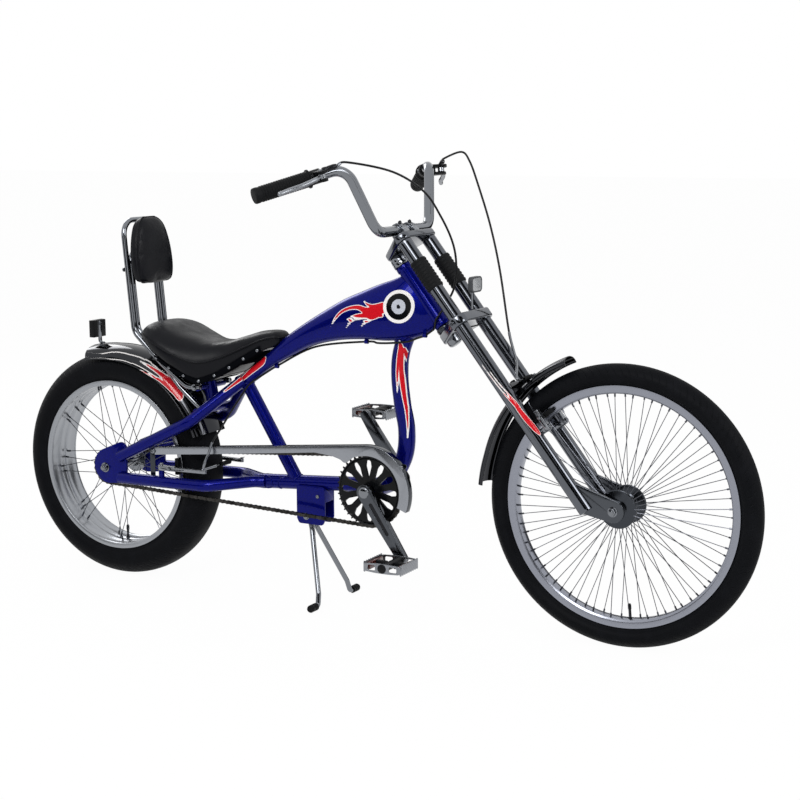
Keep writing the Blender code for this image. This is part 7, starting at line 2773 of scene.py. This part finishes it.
@dataclass
class Studio:
    """Camera at the photograph's place, pale floor, soft lamps and dark cards.

    Places are metres.  Each lamp has its place, size and power, and each card its centre,
    width and height, and shade.
    """

    camera_place: tuple[float, float, float] = (2.5647, -3.2208, 1.0964)
    yaw: float = 0.5067
    pitch: float = 0.1622
    roll: float = -0.0052
    lens: float = 75.15
    sensor: float = 36.0
    shift: tuple[float, float] = (0.0005, -0.002)
    ambient: float = 0.62
    floor_half: float = 30.0
    floor_drop: float = 0.0004
    target: tuple[float, float, float] = (0.7, 0.0, 0.5)
    lamps: dict = field(default_factory=lambda: {
        "key_box": ((1.2, -3.4, 3.2), 1.8, 80.0), "front_box": ((4.2, -0.6, 2.4), 1.6, 45.0),
        "back_box": ((-2.6, 1.8, 2.8), 1.6, 40.0)})
    cards: dict = field(default_factory=lambda: {
        "card_camera": ((2.6, -4.3, 2.1), (3.6, 1.5), "#1B1C1F"),
        "card_left": ((-0.7, -2.8, 0.64), (2.4, 0.92), "#232428"),
        "card_front": ((4.3, -2.0, 1.1), (2.2, 2.2), "#2A2B2F"),
        "card_above": ((3.4, -1.5, 3.1), (2.4, 2.0), "#303135"),
        "card_far": ((0.2, 3.2, 0.62), (6.0, 1.2), "#26272B")})

    def build_camera(self) -> None:
        """Sets the camera that looks as the photograph does."""
        y, p, r = self.yaw, self.pitch, self.roll
        look = np.array([-math.sin(y) * math.cos(p), math.cos(y) * math.cos(p), -math.sin(p)])
        right = np.array([math.cos(y), math.sin(y), 0.0])
        up = np.cross(right, look)
        turn = np.stack([right * math.cos(r) + up * math.sin(r), up * math.cos(r) - right * math.sin(r), -look],
                        axis=1)
        data = bpy.data.cameras.new("camera")
        data.lens, data.sensor_width = self.lens, self.sensor
        data.shift_x, data.shift_y = self.shift
        camera = linked("camera", data)
        camera.matrix_world = Matrix.Translation(Vector(self.camera_place)) @ Matrix(turn.tolist()).to_4x4()
        bpy.context.scene.camera = camera

    def build_world(self) -> None:
        """Soft grey daylight that the camera and glossy surfaces see as white."""
        world = bpy.data.worlds.new("studio")
        bpy.context.scene.world = world
        world.use_nodes = True
        tree = world.node_tree
        rays = add(tree, "ShaderNodeLightPath").outputs
        seen = add(tree, "ShaderNodeMath", {0: rays["Is Camera Ray"], 1: rays["Is Transmission Ray"]},
                   operation="MAXIMUM")
        seen = add(tree, "ShaderNodeMath", {0: seen, 1: rays["Is Glossy Ray"]}, operation="MAXIMUM")
        strength = add(tree, "ShaderNodeMapRange", {"Value": seen, "To Min": self.ambient, "To Max": 1.0})
        feed(tree, tree.nodes["Background"], {"Strength": strength, "Color": (1.0, 1.0, 1.0, 1.0)})

    def quad(self, name: str, corners: Sequence[Any], material: bpy.types.Material) -> Item:
        """One flat face of the stage.

        Args:
            name: Name of the object.
            corners: Its four corners in metres.
            material: Its material.

        Returns:
            The object.
        """
        mesh = bpy.data.meshes.new(name)
        mesh.from_pydata(corners, [], [(0, 1, 2, 3)])
        mesh.materials.append(material)
        item = linked(name, mesh)
        return item

    def build_floor(self) -> None:
        """Pale floor that keeps a soft shadow."""
        made, tree, paper = new_material("pale_floor_paper")
        feed(tree, paper, {"Base Color": linear("#F4F4F4"), "Roughness": 0.9, "Specular IOR Level": 0.1})
        glow = add(tree, "ShaderNodeEmission", {"Strength": 1.0})
        rays = add(tree, "ShaderNodeLightPath").outputs
        seen = add(tree, "ShaderNodeMath", {0: rays["Is Camera Ray"], 1: rays["Is Glossy Ray"]},
                   operation="MAXIMUM")
        share = add(tree, "ShaderNodeMath", {0: seen, 1: 0.97}, operation="MULTIPLY")
        mix = add(tree, "ShaderNodeMixShader", {0: share, 1: paper, 2: glow})
        feed(tree, tree.nodes["Material Output"], {"Surface": mix})
        h = self.floor_half
        floor = self.quad("floor", [(-h, -h, 0), (h, -h, 0), (h, h, 0), (-h, h, 0)], made)
        floor.location = (0.0, 0.0, -self.floor_drop)

    def build_card(self, name: str, centre: Sequence[float], size: Sequence[float], shade: str) -> None:
        """Dark card that only reflections see, which gives the chromium its dark bands.

        Args:
            name: Name of the card.
            centre: Its place in metres.
            size: Its width and height in metres.
            shade: Its colour.
        """
        made, tree, paper = new_material(name)
        feed(tree, paper, {"Base Color": linear(shade), "Specular IOR Level": 0.0})
        place = Vector(centre)
        turn = (place - Vector(self.target)).to_track_quat("Z", "Y").to_matrix()
        w, h = 0.5 * size[0], 0.5 * size[1]
        corners = [place + turn @ Vector(c) for c in ((-w, -h, 0), (w, -h, 0), (w, h, 0), (-w, h, 0))]
        card = self.quad(name, corners, made)
        card.visible_camera = card.visible_shadow = card.visible_diffuse = card.visible_transmission = False

    def build_lamp(self, name: str, place: Sequence[float], size: float, power: float) -> None:
        """Square soft box that looks at the bicycle.

        Args:
            name: Name of the lamp.
            place: Its place in metres.
            size: Its side in metres.
            power: Its power in watts.
        """
        data = bpy.data.lights.new(name, "AREA")
        data.shape, data.size, data.energy = "SQUARE", size, power
        lamp = linked(name, data)
        lamp.location = place
        lamp.rotation_euler = (Vector(self.target) - Vector(place)).to_track_quat("-Z", "Y").to_euler()

    def build(self) -> None:
        """Sets camera, world, floor, lamps and cards."""
        self.build_camera()
        self.build_world()
        self.build_floor()
        for name, lamp in self.lamps.items():
            self.build_lamp(name, *lamp)
        for name, card in self.cards.items():
            self.build_card(name, *card)
        bpy.context.scene.view_settings.view_transform = "Standard"


def main() -> None:
    """Builds the bicycle's sub-assemblies in order."""
    logging.basicConfig(level=logging.INFO, format="%(name)s: %(message)s")
    tubes, fork, cockpit, fenders = FrameTubes(), Fork(), Cockpit(), Fenders()
    steps: list[tuple[str, Callable[[], None]]] = [
        ("studio", Studio().build), ("frame tubes", tubes.build), ("headset", Headset().build),
        ("seat", Seat().build), ("fenders", fenders.build), ("drive", Drive().build),
        ("rear axle", RearAxle().build), ("fork", fork.build), ("cockpit", cockpit.build),
        ("brakes", Brakes(fork, tubes).build), ("cables", lambda: CABLES.build(cockpit, tubes)),
        ("stand", lambda: Stand().build(tubes)), ("rear reflector", lambda: RearReflector().build(fenders))]
    steps += [(wheel.name + " wheel", wheel.build) for wheel in make_wheels()]
    for name, build in steps:
        build()


if __name__ == "__main__":
    main()
